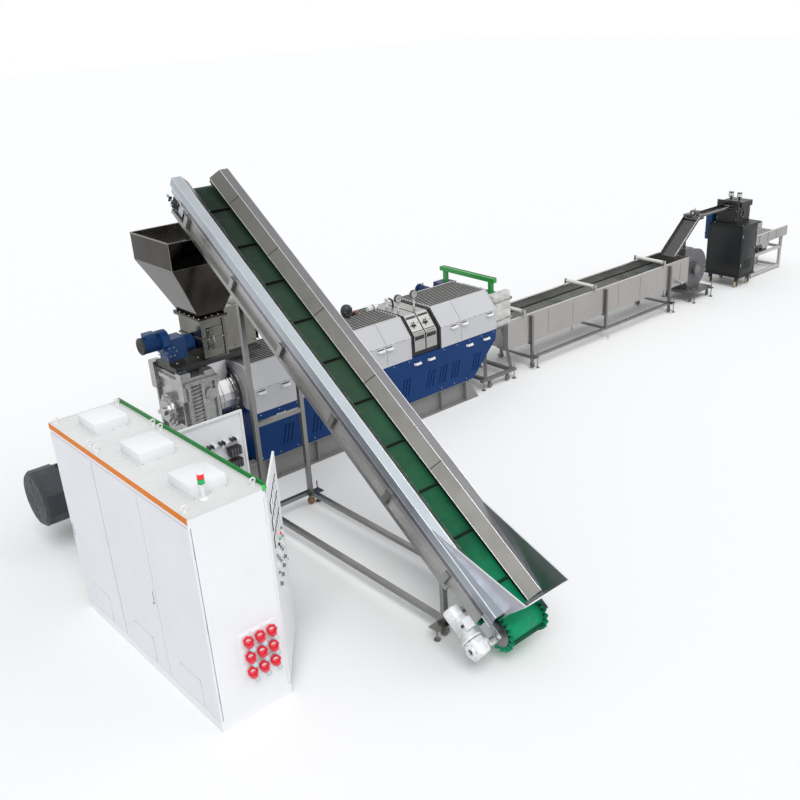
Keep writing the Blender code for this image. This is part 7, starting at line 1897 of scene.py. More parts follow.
    def well_lining(self) -> None:
        """The well's thick black edges and the ribs of the covers' open ends."""
        surfaces = []
        for x in (self.covers[0][1] + 0.009, self.covers[1][0] - 0.009):
            surfaces += [self.across(x, side, 0.014, 0.004, WELL_BLACK, 0.002) for side in (-1, 1)]
            top = np.array([(x, -0.345, 1.528), (x, 0.345, 1.528)])
            surfaces.append(swept(rounded(0.007, 0.004, 0.002, 1), top, (1, 0, 0), WELL_BLACK))
        self.add("well_edges", surfaces, "vent_well")

    def dials(self) -> None:
        """Pressure gauges in the place of the vent boxes' plain discs, on their stems with hexagon nuts."""
        surfaces = []
        for x in self.gauges:
            surfaces += [*dial((x, -0.2275, 1.73), (0, -1, 0), 0.058, BLACK_PLASTIC, WHITE_PLASTIC),
                bolt((x, -0.203, 1.64), (0, 0, 1), 0.018, 0.02, ZINC), bolt((x, -0.203, 1.545), (0, 0, 1),
                0.022, 0.022, ZINC), turned([(0, 0), (0.0125, 0), (0.0125, 0.16), (0, 0.16)],
                (x, -0.203, 1.53), (0, 0, 1), DRIVE_WHITE, 16)]
        self.add("pressure_gauges", surfaces, "vent_box_rear")

    def valves(self) -> None:
        """The far ridge's fittings: a vacuum valve with its handwheel, a brown hose end, a filter and a stub."""
        y, top = 0.16, self.crest[1]
        surfaces = [turned([(0, -0.004), (0.05, -0.004), (0.05, 0.012), (0.03, 0.02), (0.026, 0.06),
            (0, 0.06)], (-1.69, y, top), (0, 0, 1), ADAPTER_BLACK, 28),
            turned([(0, -0.05), (0.06, -0.05), (0.078, -0.03), (0.083, 0.0), (0.078, 0.03), (0.06, 0.05),
            (0, 0.05)], (-1.69, y, top + 0.105), (0, -1, 0), MOTOR_GREY, 36),
            *bolts_round((-1.69, y - 0.05, top + 0.105), (0, -1, 0), 0.055, 6, 0.008, ZINC),
            ring((-1.69, y - 0.062, top + 0.105), (0, -1, 0), 0.02, 0.034, 0.012, ADAPTER_BLACK, 28)]
        pipe = np.array([(-1.64, y, top + 0.06), (-1.59, y, top + 0.045), (-1.545, y, top + 0.04)])
        surfaces += [tube(pipe, 0.02, ADAPTER_BLACK, 14),
            turned([(0, 0), (0.026, 0), (0.031, 0.01), (0.031, 0.05), (0.026, 0.06), (0, 0.062)],
            (-1.56, y, top + 0.04), (1, 0, 0), TYRE_BROWN, 24), bolt((-1.5, y, top - 0.003), (0, 0, 1), 0.026,
            0.03, ZINC), turned([(0, 0), (0.036, 0), (0.04, 0.006), (0.04, 0.16), (0.034, 0.172), (0, 0.174)],
            (-1.34, y, top + 0.036), (1, 0, 0), DRIVE_WHITE, 28), ring((-1.26, y, top + 0.036), (1, 0, 0),
            0.038, 0.044, 0.014, SEAM_DARK, 28)]
        surfaces += [centred_box((x, y, top + 0.008), (0.02, 0.05, 0.03), 0.004, MOTOR_GREY)
            for x in (-1.3, -1.22)]
        surfaces += [turned([(0, -0.004), (0.034, -0.004), (0.034, 0.01), (0.022, 0.014), (0.022, 0.11),
            (0.03, 0.114), (0.03, 0.14), (0.022, 0.146), (0, 0.147)], (-1.0, y, top - 0.03), (0, 0, 1),
            DRIVE_WHITE, 28),
            tube(np.array([(-1.0, y, top + 0.09), (-0.95, y, top + 0.095), (-0.9, y, top + 0.06),
            (-0.88, y, top - 0.05)]), 0.014, ADAPTER_BLACK, 12)]
        self.add("ridge_valves", surfaces, "guard_cover_rear")


# Screen changer and die
@dataclass
class ScreenChanger(Station):
    """The changer block with its bolts, the ram's rods, the insulating jacket and the green hose rail."""

    low: Point = (0.53, -0.25, 0.93)
    high: Point = (0.83, 0.52, 1.37)
    die_high: Point = (0.93, 0.2, 1.24)
    jacket_low: Point = (0.47, -0.42, 0.88)
    jacket_high: Point = (0.93, -0.25, 1.46)
    yoke: tuple[Point, Point] = ((0.55, 0.67, 0.95), (0.81, 0.91, 1.39))
    ram_axis: tuple[float, float] = (0.68, 1.15)
    ram_end: float = 1.4
    rail_y: tuple[float, float] = (-0.29, 0.86)
    strands: int = 12
    swell: float = 0.016
    cloth_steps: int = 20

    def build(self) -> list[bpy.types.Object]:
        """Make the changer's pieces.

        Returns:
            The pieces.
        """
        self.block()
        self.die()
        self.ram()
        self.rail()
        self.jacket()
        self.straps()
        return self.made

    def block(self) -> None:
        """Socket bolts in counterbores on the block's faces, heater bands and their lead boxes."""
        middle_x = (self.low[0] + self.high[0]) / 2
        surfaces = []
        head = [(0, 0), (0.018, 0), (0.018, 0.016), (0.016, 0.018), (0.009, 0.018), (0.009, 0.008),
            (0, 0.008)]
        surfaces += [turned(head, (x, y, self.high[2]), (0, 0, 1), ZINC, 20) for y in (-0.16, -0.02, 0.12,
            0.26, 0.4, 0.48) for x in (self.low[0] + 0.04, self.high[0] - 0.04)]
        surfaces += [turned(head, (self.low[0], y, z), (-1, 0, 0), ZINC, 20) for z in (1.0, 1.15, 1.3)
            for y in (-0.17, 0.3, 0.45)]
        for y in (0.04, 0.33):
            surfaces += [centred_box((middle_x, y, self.high[2] + 0.012), (0.2, 0.09, 0.024), 0.006,
                CHANGER_STEEL), centred_box((middle_x - 0.04, y, self.high[2] + 0.035), (0.05, 0.05, 0.03),
                0.006, DRIVE_WHITE)]
        surfaces.append(centred_box((middle_x, 0.135, self.high[2] + 0.003), (0.28, 0.012, 0.006), 0.002,
            SEAM_DARK))
        self.add("changer_block_fittings", surfaces, "screen_changer")

    def die(self) -> None:
        """The die plate with a row of strand bores and lips, its clamp bolts, and the strands' guide bar."""
        x = self.die_high[0]
        surfaces = [centred_box((x + 0.004, 0.0, 1.1), (0.012, 0.36, 0.07), 0.003, BRIGHT_STEEL)]
        nozzle = [(0, 0), (0.009, 0), (0.009, 0.006), (0.006, 0.01), (0.004, 0.01), (0.004, 0.004),
            (0, 0.004)]
        surfaces += [turned(nozzle, (x + 0.009, y, 1.09), (1, 0, 0), CAST_DARK, 14)
            for y in np.linspace(-0.15, 0.15, self.strands)]
        for y in (-0.17, -0.085, 0.0, 0.085, 0.17):
            surfaces += [bolt((x - 0.001, y, 1.2), (1, 0, 0), 0.013, 0.012, ZINC),
                bolt((x - 0.05, y, self.die_high[2] - 0.0005), (0, 0, 1), 0.013, 0.012, ZINC)]
        surfaces += [turned([(0, 0), (0.012, 0), (0.012, 0.03), (0.009, 0.036), (0, 0.036)],
            (x - 0.03, y, 1.05), (0, 1 if y > 0 else -1, 0), ZINC, 16) for y in (-0.19, 0.19)]
        self.add("die_plate_fittings", surfaces, "screen_changer")

    def ram(self) -> None:
        """Nuts on the yoke's tie rods, the ram's gland and tail rings, and its oil ports."""
        x, z = self.ram_axis
        y0, y1 = self.yoke[0][1], self.yoke[1][1]
        surfaces = []
        for dx in (-0.1, 0.1):
            for dz in (-0.15, 0.15):
                surfaces += [bolt((x + dx, y1 - 0.001, z + dz + 0.02), (0, 1, 0), 0.024, 0.022, ZINC),
                    bolt((x + dx, y0 + 0.001, z + dz + 0.02), (0, -1, 0), 0.024, 0.022, ZINC)]
        surfaces += [ring((x, y1 + 0.002, z), (0, 1, 0), 0.078, 0.105, 0.03, RAM_BLUE, 36),
            ring((x, self.ram_end - 0.05, z), (0, 1, 0), 0.078, 0.092, 0.05, RAM_BLUE, 36),
            turned([(0, 0), (0.03, 0), (0.03, 0.004), (0.02, 0.01), (0, 0.01)], (x, self.ram_end - 0.001, z),
            (0, 1, 0), ZINC, 24), *bolts_round((x, self.ram_end - 0.001, z), (0, 1, 0), 0.06, 6, 0.01, ZINC)]
        surfaces += [turned([(0, 0), (0.02, 0), (0.02, 0.02), (0.014, 0.024), (0.014, 0.045), (0, 0.046)],
            (x, y, z + 0.074), (0, 0, 1), ZINC, 6) for y in (y1 + 0.09, self.ram_end - 0.09)]
        self.add("changer_ram_fittings", surfaces, "changer_ram")

    def rail(self) -> None:
        """Rolled edges on the green rail, the clamp bolts of its posts, and the dark bar beside it."""
        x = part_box("changer_rail")
        low, high = np.array(x[0], float), np.array(x[1], float)
        surfaces = [tube(np.array([(edge_x, self.rail_y[0] + 0.004, z), (edge_x, self.rail_y[1] - 0.004,
            z)]), 0.0035, RAIL_GREEN, 8) for edge_x in (low[0] + 0.003, high[0] - 0.003)
            for z in (1.562, 1.618)]
        surfaces += [bolt((float(low[0] + high[0]) / 2, y, 1.6195), (0, 0, 1), 0.011, 0.01, ZINC)
            for y in (-0.2, 0.76)]
        middle_y, bar_x = sum(self.rail_y) / 2, high[0] + 0.028
        surfaces.append(centred_box((bar_x, middle_y + 0.02, 1.595), (0.022, 1.12, 0.045), 0.004,
            ADAPTER_BLACK))
        surfaces += [centred_box((bar_x - 0.018, y, 1.59), (0.03, 0.03, 0.02), 0.003, ADAPTER_BLACK)
            for y in np.linspace(self.rail_y[0] + 0.12, self.rail_y[1] - 0.12, 4)]
        self.add("changer_rail_fittings", surfaces, "changer_rail")

    def jacket(self) -> None:
        """The quilted jacket over the changer's near end, swelled by a cloth simulation.

        The start is a rounded box, drawn in so that the swelled cloth fills the solid's place. Its faces
        bulge between the channels, where each point moves along its own normal by at most the swell.
        """
        low = np.array(self.jacket_low) + self.swell
        high = np.array(self.jacket_high) - self.swell
        surface = soft_box(tuple(low), tuple(high), 0.045, COVER_CLOTH, 5)
        piece = self.add("insulating_jacket", [surface], "insulated_cover", ("insulated_cover",))
        remesh = piece.modifiers.new("remesh", "REMESH")
        remesh.mode = "VOXEL"
        remesh.voxel_size = 0.0075
        apply_modifiers(piece)
        inflate(piece, self.cloth_steps, self.swell)
        quilt(piece, low, high)
        piece.data.shade_smooth()

    def straps(self) -> None:
        """Two straps with buckles round the jacket, modelled as flat bands that follow its bulge."""
        low, high = np.array(self.jacket_low), np.array(self.jacket_high)
        middle = (low + high) / 2
        surfaces = []
        for z in (1.03, 1.31):
            angle = np.linspace(0.0, 2.0 * math.pi, 72, endpoint=False)
            half = (high - low)[:2] / 2 - 0.004
            power = 0.32
            x = middle[0] + half[0] * np.sign(np.cos(angle)) * np.abs(np.cos(angle)) ** power
            y = middle[1] + half[1] * np.sign(np.sin(angle)) * np.abs(np.sin(angle)) ** power
            path = np.stack((x, y, z + 0.004 * np.sin(3 * angle)), axis=1)
            surfaces += [swept(rounded(0.016, 0.0016, 0.0012, 1), path, (0, 0, 1), STRAP_GREY, True),
                centred_box((middle[0] - 0.05, low[1] + 0.002, z), (0.03, 0.006, 0.044), 0.003, ZINC),
                tube(np.array([(middle[0] - 0.05, low[1] - 0.002, z - 0.02), (middle[0] - 0.05,
                low[1] - 0.002, z + 0.02)]), 0.003, ZINC, 8)]
        self.add("jacket_straps", surfaces, "insulated_cover")


def apply_modifiers(piece: bpy.types.Object) -> None:
    """Bake a piece's modifiers into its mesh and drop them."""
    graph = bpy.context.evaluated_depsgraph_get()
    baked = bpy.data.meshes.new_from_object(piece.evaluated_get(graph), preserve_all_data_layers=True,
        depsgraph=graph)
    piece.modifiers.clear()
    piece.data = baked


def inflate(piece: bpy.types.Object, steps: int, most: float) -> None:
    """Swell a closed mesh by Blender's cloth with inner pressure, and cap how far a point may move.

    Args:
        piece: The piece, whose mesh is replaced by the swelled one.
        steps: Number of simulated frames.
        most: The greatest move of a point, in metres.
    """
    scene = bpy.context.scene
    count = len(piece.data.vertices)
    before = np.empty(count * 3, np.float32)
    piece.data.vertices.foreach_get("co", before)
    cloth = piece.modifiers.new("cloth", "CLOTH")
    cloth.settings.use_pressure = True
    cloth.settings.uniform_pressure_force = 4.0
    cloth.settings.effector_weights.gravity = 0.0
    cloth.settings.quality = 5
    for frame_number in range(1, steps + 1):
        scene.frame_set(frame_number)
        bpy.context.view_layer.update()
    apply_modifiers(piece)
    scene.frame_set(1)
    after = np.empty(count * 3, np.float32)
    piece.data.vertices.foreach_get("co", after)
    move = (after - before).reshape(-1, 3)
    length = np.linalg.norm(move, axis=1, keepdims=True)
    share = np.minimum(1.0, most / np.maximum(length, 1e-9))
    piece.data.vertices.foreach_set("co", (before.reshape(-1, 3) + move * share).astype(np.float32).ravel())
    piece.data.update()


def quilt(piece: bpy.types.Object, low: np.ndarray, high: np.ndarray) -> None:
    """Press wrinkles and sewn channels into a padded piece, in code.

    Each point moves inwards along its normal: by 9 mm within a sewn channel, fading over 12 mm, and by the
    sum of three slanting waves of 2 mm, 1.4 mm and 1 mm that stand for the cloth's creases.

    Args:
        piece: The piece, whose mesh is changed in place.
        low: The low corner of the padding.
        high: The high corner of the padding.
    """
    mesh = piece.data
    count = len(mesh.vertices)
    points, normals = np.empty(count * 3, np.float32), np.empty(count * 3, np.float32)
    mesh.vertices.foreach_get("co", points)
    mesh.vertices.foreach_get("normal", normals)
    points, normals = points.reshape(-1, 3), normals.reshape(-1, 3)
    x, y, z = points.T
    channels = np.linspace(low[2], high[2], 5)[1:-1]
    off = np.min(np.abs(z[:, None] - channels[None] - 0.006 * np.sin(9 * x)[:, None]), axis=1)
    dent = 0.009 * np.exp(-(off / 0.012) ** 2)
    crease = (0.002 * np.sin(31 * x + 47 * z + 9 * y) + 0.0014 * np.sin(73 * x - 58 * z + 21 * y + 1.3) +
        0.001 * np.sin(96 * z + 17 * x - 60 * y + 0.6))
    moved_points = points - normals * (dent + np.maximum(crease, -0.0015))[:, None]
    mesh.vertices.foreach_set("co", moved_points.astype(np.float32).ravel())
    mesh.update()


# Cooling tank
@dataclass
class CoolingTank(Station):
    """The long stainless tank: its water, rolled rim, ribs, drain and jacks, and the rollers."""

    low: Point = (0.97, -0.26, 0.436)
    high: Point = (5.74, 0.365, 0.896)
    rim: float = 0.025
    sheet: float = 0.005
    water: float = 0.74
    brackets: tuple[float, ...] = (1.33, 3.05, 4.98)
    roller_z: float = 0.955
    legs: tuple[float, ...] = (1.49, 3.33, 5.16)

    def build(self) -> list[bpy.types.Object]:
        """Make the tank's pieces.

        Returns:
            The pieces.
        """
        self.fill()
        self.rolled_rim()
        self.side_fittings()
        self.rollers()
        self.frame_fittings()
        return self.made

    def fill(self) -> None:
        """The water: a level sheet whose height ripples by 1.5 mm along two crossed sine waves."""
        xs = np.linspace(self.low[0] + self.rim + self.sheet, self.high[0] - self.rim - self.sheet, 150)
        ys = np.linspace(self.low[1] + self.rim + self.sheet, self.high[1] - self.rim - self.sheet, 24)
        grid_x, grid_y = np.meshgrid(xs, ys, indexing="ij")
        ripple = 0.0008 * np.sin(9 * grid_x + 14 * grid_y) + 0.0007 * np.sin(23 * grid_y - 6 * grid_x)
        top = np.stack((grid_x, grid_y, self.water + ripple), axis=2).reshape(-1, 3)
        bottom = top - (0.0, 0.0, 0.012)
        count = len(xs) * len(ys)
        upper = grid_faces(len(xs), len(ys), False, False)
        edge = np.concatenate((np.arange(len(ys)), np.arange(1, len(xs)) * len(ys) + len(ys) - 1,
            (len(xs) - 1) * len(ys) + np.arange(len(ys) - 2, -1, -1), np.arange(len(xs) - 2, 0,
            -1) * len(ys)))
        after = np.roll(edge, -1)
        walls = np.stack((edge, after, after + count, edge + count), axis=1)
        faces = np.concatenate((upper, upper[:, ::-1] + count, walls))
        self.add("tank_water", [Surface(np.concatenate((top, bottom)), faces, TANK_WATER)], "water_tank")

    def rolled_rim(self) -> None:
        """A rolled lip round the tank's mouth, with corner beads."""
        corners = np.array([(self.low[0], self.low[1]), (self.high[0], self.low[1]),
            (self.high[0], self.high[1]), (self.low[0], self.high[1])])
        z = self.high[2] - 0.004
        surfaces = [tube(np.array([(*start, z), (*end, z)]), 0.0075, TANK_LIP, 12) for start,
            end in zip(corners, np.roll(corners, -1, 0))]
        inner = np.array([(1, 1), (-1, 1), (-1, -1), (1, -1)]) * self.rim + corners
        surfaces += [tube(np.array([(*start, z + 0.001), (*end, z + 0.001)]), 0.004, TANK_LIP, 8) for start,
            end in zip(inner, np.roll(inner, -1, 0))]
        surfaces += [tube(np.array([(x, y, z), (x, y, self.low[2] + 0.02)]), 0.004, TANK_LIP, 8) for x,
            y in corners]
        self.add("tank_rolled_rim", surfaces, "water_tank")

    def side_fittings(self) -> None:
        """Pressed stiffening beads, roller brackets' bolts, the drain valve and the water inlet."""
        surfaces = []
        for side, y in ((-1, self.low[1]), (1, self.high[1])):
            surfaces += [centred_box((x, y + side * 0.001, 0.67), (0.022, 0.008, 0.36), 0.004, TANK_SHEET)
                for x in (1.9, 2.5, 3.7, 4.3, 5.5)]
            surfaces += [bolt((x + dx, y, 0.91), (0, side, 0), 0.007, 0.006, ZINC) for x in self.brackets
                for dx in (-0.012, 0.012)]
        x0, x1 = self.low[0], self.high[0]
        surfaces += [turned([(0, 0), (0.03, 0), (0.03, 0.012), (0.018, 0.016), (0.018, 0.05), (0, 0.05)],
            (x1 - 0.3, self.low[1] + 0.002, 0.5), (0, -1, 0), ZINC, 6),
            turned([(0, 0), (0.02, 0), (0.024, 0.008), (0.024, 0.05), (0.02, 0.056), (0, 0.057)],
            (x1 - 0.3, self.low[1] - 0.045, 0.5), (0, -1, 0), BRIGHT_STEEL, 24),
            tube(np.array([(x1 - 0.3, self.low[1] - 0.07, 0.522), (x1 - 0.3, self.low[1] - 0.07, 0.545),
            (x1 - 0.42, self.low[1] - 0.07, 0.55)]), 0.006, ZINC, 8),
            tube(np.array([(x0 + 0.1, self.high[1] - 0.06, 0.7), (x0 + 0.1, self.high[1] - 0.06, 0.93),
            (x0 + 0.1, self.high[1] + 0.02, 0.955), (x0 + 0.1, self.high[1] + 0.035, 0.9),
            (x0 + 0.1, self.high[1] + 0.035, 0.62)]), 0.014, TANK_TUBE, 14)]
        self.add("tank_side_fittings", surfaces, "water_tank")

    def rollers(self) -> None:
        """Grooves, end flanges and axle nuts on each strand roller."""
        y0, y1 = self.low[1] + 0.03, self.high[1] - 0.03
        for index, x in enumerate(self.brackets, 1):
            base = (x, y0 + 0.01, self.roller_z)
            spots = np.arange(0.02, y1 - y0 - 0.04, 0.016)
            profile = [(0.0, 0.0), (0.034, 0.0), (0.034, 0.006)]
            for spot in spots:
                profile += [(0.0315, spot), (0.0315, spot + 0.008), (0.0302, spot + 0.010),
                    (0.0302, spot + 0.014)]
            end = y1 - y0 - 0.02
            profile += [(0.034, end - 0.006), (0.034, end), (0.0, end)]
            self.add(f"strand_roller_{index}", [turned(profile, base, (0, 1, 0), ROLLER_WHITE, 28)],
                f"guide_roller_{index}", body=f"guide_roller_{index}_body")

    def frame_fittings(self) -> None:
        """White screw jacks with their foot plates and nuts, and bolts on the tank's frame legs."""
        low, high = (np.array(corner, float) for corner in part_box("tank_frame"))
        surfaces = []
        for x in self.legs:
            for y in (low[1] + 0.03, high[1] - 0.03):
                surfaces += [turned([(0, 0.0005), (0.035, 0.0005), (0.035, 0.008), (0.012, 0.014),
                    (0.012, 0.07), (0, 0.07)], (x, y, 0.0), (0, 0, 1), DRIVE_WHITE, 28),
                    bolt((x, y, 0.045), (0, 0, 1), 0.019, 0.014, ZINC), bolt((x - 0.018, y, 0.25), (-1, 0, 0),
                    0.01, 0.008, ZINC)]
        self.add("tank_frame_fittings", surfaces, "tank_frame")


# Blower and chute
@dataclass
class Blower(Station):
    """The suction fan: riveted rim flanges, an inlet grille, a finned motor and its mounting bolts."""

    centre: Point = (6.2, 0.02, 0.57)
    radius: float = 0.36
    near: float = -0.11
    far: float = 0.15

    def build(self) -> list[bpy.types.Object]:
        """Make the blower's pieces.

        Returns:
            The pieces.
        """
        x, _, z = self.centre
        surfaces = [ring((x, y, z), (0, 1, 0), self.radius - 0.012, self.radius + 0.007, 0.01, BLOWER_GREY,
            64) for y in (self.near - 0.001, self.far - 0.009)]
        surfaces += [*bolts_round((x, self.near, z), (0, -1, 0), self.radius - 0.03, 14, 0.009, ZINC),
            ring((x, -0.179, z), (0, -1, 0), 0.1, 0.134, 0.012, BLOWER_GREY, 40)]
        surfaces += [ring((x, -0.1845, z), (0, -1, 0), share, share + 0.005, 0.005, ZINC, 36)
            for share in (0.028, 0.052, 0.076)]
        for angle in np.arange(4) * math.pi / 4:
            way = np.array((math.cos(angle), 0.0, math.sin(angle))) * 0.106
            middle = np.array((x, -0.187, z))
            surfaces.append(tube(np.stack((middle - way, middle + way)), 0.0028, ZINC, 6))
        surfaces += [finned((x, self.far + 0.02, z), (0, 1, 0), 0.2, 0.118, 0.016, 32, MOTOR_GREY),
            *fan_cowl((x, self.far + 0.215, z), (0, 1, 0), 0.133, 0.084, MOTOR_GREY),
            centred_box((x, self.far + 0.12, z + 0.145), (0.12, 0.11, 0.05), 0.01, MOTOR_GREY),
            centred_box((x, self.far + 0.12, z + 0.172), (0.126, 0.116, 0.008), 0.003, MOTOR_GREY)]
        surfaces += [bolt((x + dx, -0.2, 0.1995), (0, 0, 1), 0.014, 0.012, ZINC) for dx in (-0.28, -0.12,
            0.12, 0.28)]
        self.add("blower_fittings", surfaces, "blower")
        return self.made


@dataclass
class StrandChute(Station):
    """The sloping strand trough and its bridge: hemmed edges, drain slots, and the drying head's fittings."""

    low: tuple[float, float] = (5.47, 0.93)
    high: tuple[float, float] = (6.18, 1.5)
    half_width: float = 0.16
    side: float = 0.05
    bridge: tuple[float, float] = (6.16, 7.36)
    bridge_half: float = 0.1
    bridge_z: float = 1.5

    def build(self) -> list[bpy.types.Object]:
        """Make the chute's pieces.

        Returns:
            The pieces.
        """
        start, end = np.array((self.low[0], 0.0, self.low[1])), np.array((self.high[0], 0.0, self.high[1]))
        along = (end - start) / np.linalg.norm(end - start)
        out = np.array((-along[2], 0.0, along[0]))
        surfaces = []
        for side in (-1, 1):
            edge = np.stack((start, end)) + (0.0, side * self.half_width, 0.0) + out * self.side
            surfaces.append(tube(edge, 0.005, TANK_LIP, 10))
            rail = np.array([(self.bridge[0] + 0.1, side * self.bridge_half, self.bridge_z + 0.03),
                (self.bridge[1] - 0.01, side * self.bridge_half, self.bridge_z + 0.03)])
            surfaces.append(tube(rail, 0.0045, TANK_LIP, 10))
        length = float(np.linalg.norm(end - start))
        for y in (-0.12, -0.06, 0.0, 0.06, 0.12):
            groove = np.stack((start + along * 0.04, start + along * (length - 0.04))) + out * 0.0035 + (0.0,
                y, 0.0)
            surfaces.append(tube(groove, 0.0016, SEAM_DARK, 6))
        surfaces += [bolt((x, y, 1.5595), (0, 0, 1), 0.009, 0.008, ZINC) for x in (6.14, 6.28)
            for y in (-0.08, 0.08)]
        surfaces += [turned([(0, 0), (0.016, 0), (0.016, 0.02), (0.011, 0.024), (0.011, 0.05), (0, 0.05)],
            (6.21, -0.02, 1.63), (0, 0, 1), ZINC, 6),
            turned([(0, 0), (0.02, 0), (0.024, 0.004), (0.024, 0.018), (0.02, 0.022), (0, 0.023)],
            (6.16, -0.02, 1.59), (-1, 0, 0), ZINC, 24)]
        self.add("strand_chute_fittings", surfaces, "strand_chute")
        return self.made


# Pelletizer
@dataclass
class Pelletizer(Station):
    """The black pelletizer on casters: doors, louvres, the cutter head's bolts and knobs, and the switch box."""

    low: Point = (7.22, -0.44, 0.226)
    high: Point = (7.76, 0.29, 1.171)
    table: tuple[Point, Point] = ((7.24, -0.44, 1.171), (7.88, 0.23, 1.201))
    head: tuple[Point, Point] = ((7.38, -0.19, 1.2), (7.86, 0.19, 1.56))
    wheels: tuple[tuple[float, float], ...] = ((7.29, -0.36), (7.29, 0.21), (7.69, -0.36), (7.69, 0.21))
    wheel_radius: float = 0.06
    switch_low: Point = (7.32, 0.29, 0.84)
    switch_high: Point = (7.62, 0.42, 1.38)

    def build(self) -> list[bpy.types.Object]:
        """Make the pelletizer's pieces.

        Returns:
            The pieces.
        """
        self.cabinet()
        self.cutter()
        self.switches()
        self.casters()
        return self.made

    def cabinet(self) -> None:
        """A door with hinges, a lock and louvres on the near side, panels on the others, and edge beads."""
        x0, x1 = self.low[0], self.high[0]
        y0, y1 = self.low[1], self.high[1]
        middle = (x0 + x1) / 2
        surfaces = [centred_box((middle, y0 - 0.001, 0.7), (x1 - x0 - 0.06, 0.008, 0.86), 0.003,
            PELLETIZER_BLACK), centred_box((middle, y1 + 0.001, 0.52), (x1 - x0 - 0.06, 0.008, 0.5), 0.003,
            PELLETIZER_BLACK), centred_box((x0 - 0.001, (y0 + y1) / 2, 0.7), (0.008, y1 - y0 - 0.06, 0.86),
            0.003, PELLETIZER_BLACK)]
        for z in np.arange(0.36, 0.52, 0.025):
            for y, turn in ((y0 - 0.006, -0.5), (y1 + 0.006, 0.5)):
                slat = centred_box((0, 0, 0), (0.26, 0.014, 0.004), 0.0015, PELLETIZER_BLACK)
                place = Matrix.Translation((middle, y, z)) @ Matrix.Rotation(turn, 4, "X")
                surfaces.append(moved(slat, place))
        surfaces += [turned([(0, 0), (0.007, 0), (0.007, 0.06), (0, 0.06)], (x0 + 0.024, y0 - 0.009, z),
            (0, 0, 1), ZINC, 14) for z in (0.42, 0.98)]
        surfaces += [turned([(0, 0), (0.016, 0), (0.016, 0.006), (0.012, 0.01), (0, 0.01)],
            (x1 - 0.06, y0 - 0.004, 0.72), (0, -1, 0), ZINC, 20), centred_box((x1 - 0.06, y0 - 0.014, 0.72),
            (0.008, 0.012, 0.05), 0.003, ZINC)]
        surfaces += [tube(np.array([(x, y, self.low[2] + 0.01), (x, y, self.high[2] - 0.005)]), 0.005,
            PELLETIZER_BLACK, 8) for x in (x0 + 0.002, x1 - 0.002) for y in (y0 + 0.002, y1 - 0.002)]
        self.add("pelletizer_panels", surfaces, "pelletizer_cabinet")

    def cutter(self) -> None:
        """Bolted cheeks, the infeed throat's lip, adjusting knobs, and bolts on the head's top and the table."""
        (x0, y0, z0), (x1, y1, z1) = self.head
        surfaces = []
        for side, y in ((-1, y0), (1, y1)):
            surfaces += [ring((x0 + 0.2, y, 1.36), (0, side, 0), 0.05, 0.085, 0.012, HEAD_BLACK, 40),
                *bolts_round((x0 + 0.2, y + side * 0.011, 1.36), (0, side, 0), 0.068, 6, 0.007, ZINC)]
            surfaces += [bolt((x, y, z), (0, side, 0), 0.011, 0.01, ZINC) for x in (x0 + 0.04, x1 - 0.04)
                for z in (z0 + 0.05, z1 - 0.11)]
        surfaces += [bolt((7.3605, y, z), (-1, 0, 0), 0.009, 0.008, ZINC) for y in (-0.2, 0.2)
            for z in (1.28, 1.44, 1.59)]
        surfaces += [centred_box((7.352, 0.0, 1.478), (0.02, 0.24, 0.008), 0.003, BRIGHT_STEEL),
            centred_box((7.352, 0.0, 1.53), (0.02, 0.24, 0.008), 0.003, BRIGHT_STEEL)]
        for side in (-1, 1):
            knob = [(0, 0), (0.03, 0), (0.046, 0.012), (0.048, 0.04), (0.046, 0.066), (0.036, 0.088),
                (0.014, 0.092), (0, 0.092)]
            surfaces += [self.lobed(knob, (7.61, side * 0.09, 1.649), DRIVE_WHITE),
                turned([(0, 0), (0.03, 0), (0.03, 0.008), (0.024, 0.012), (0, 0.012)],
                (7.61, side * 0.09, 1.58), (0, 0, 1), ZINC, 28)]
        surfaces += [bolt((x, y, 1.58), (0, 0, 1), 0.009, 0.008, ZINC) for x in (7.54, 7.8)
            for y in (-0.18, 0.18)]
        surfaces += [bolt((x, y, self.table[1][2]), (0, 0, 1), 0.011, 0.01, ZINC)
            for y in (self.table[0][1] + 0.03, self.table[1][1] - 0.03) for x in (self.table[0][0] + 0.04,
            self.table[1][0] - 0.04)]
        self.add("cutter_head_fittings", surfaces, "cutter_head")

    def lobed(self, profile: list[tuple[float, float]], base: Point, finish: "Finish") -> Surface:
        """A star knob: a profile spun upright whose radius swells by a fourteenth in six lobes."""
        shape = np.asarray(profile, float)
        angle = np.linspace(0.0, 2.0 * math.pi, 48, endpoint=False)
        reach = shape[:, :1] * (1.0 + np.cos(6 * angle)[None] / 14)
        points = np.stack((reach * np.cos(angle), reach * np.sin(angle), np.broadcast_to(shape[:, 1:],
            reach.shape)), axis=2)
        return Surface((points + np.asarray(base)).reshape(-1, 3), grid_faces(len(shape), 48, False, True),
            finish)

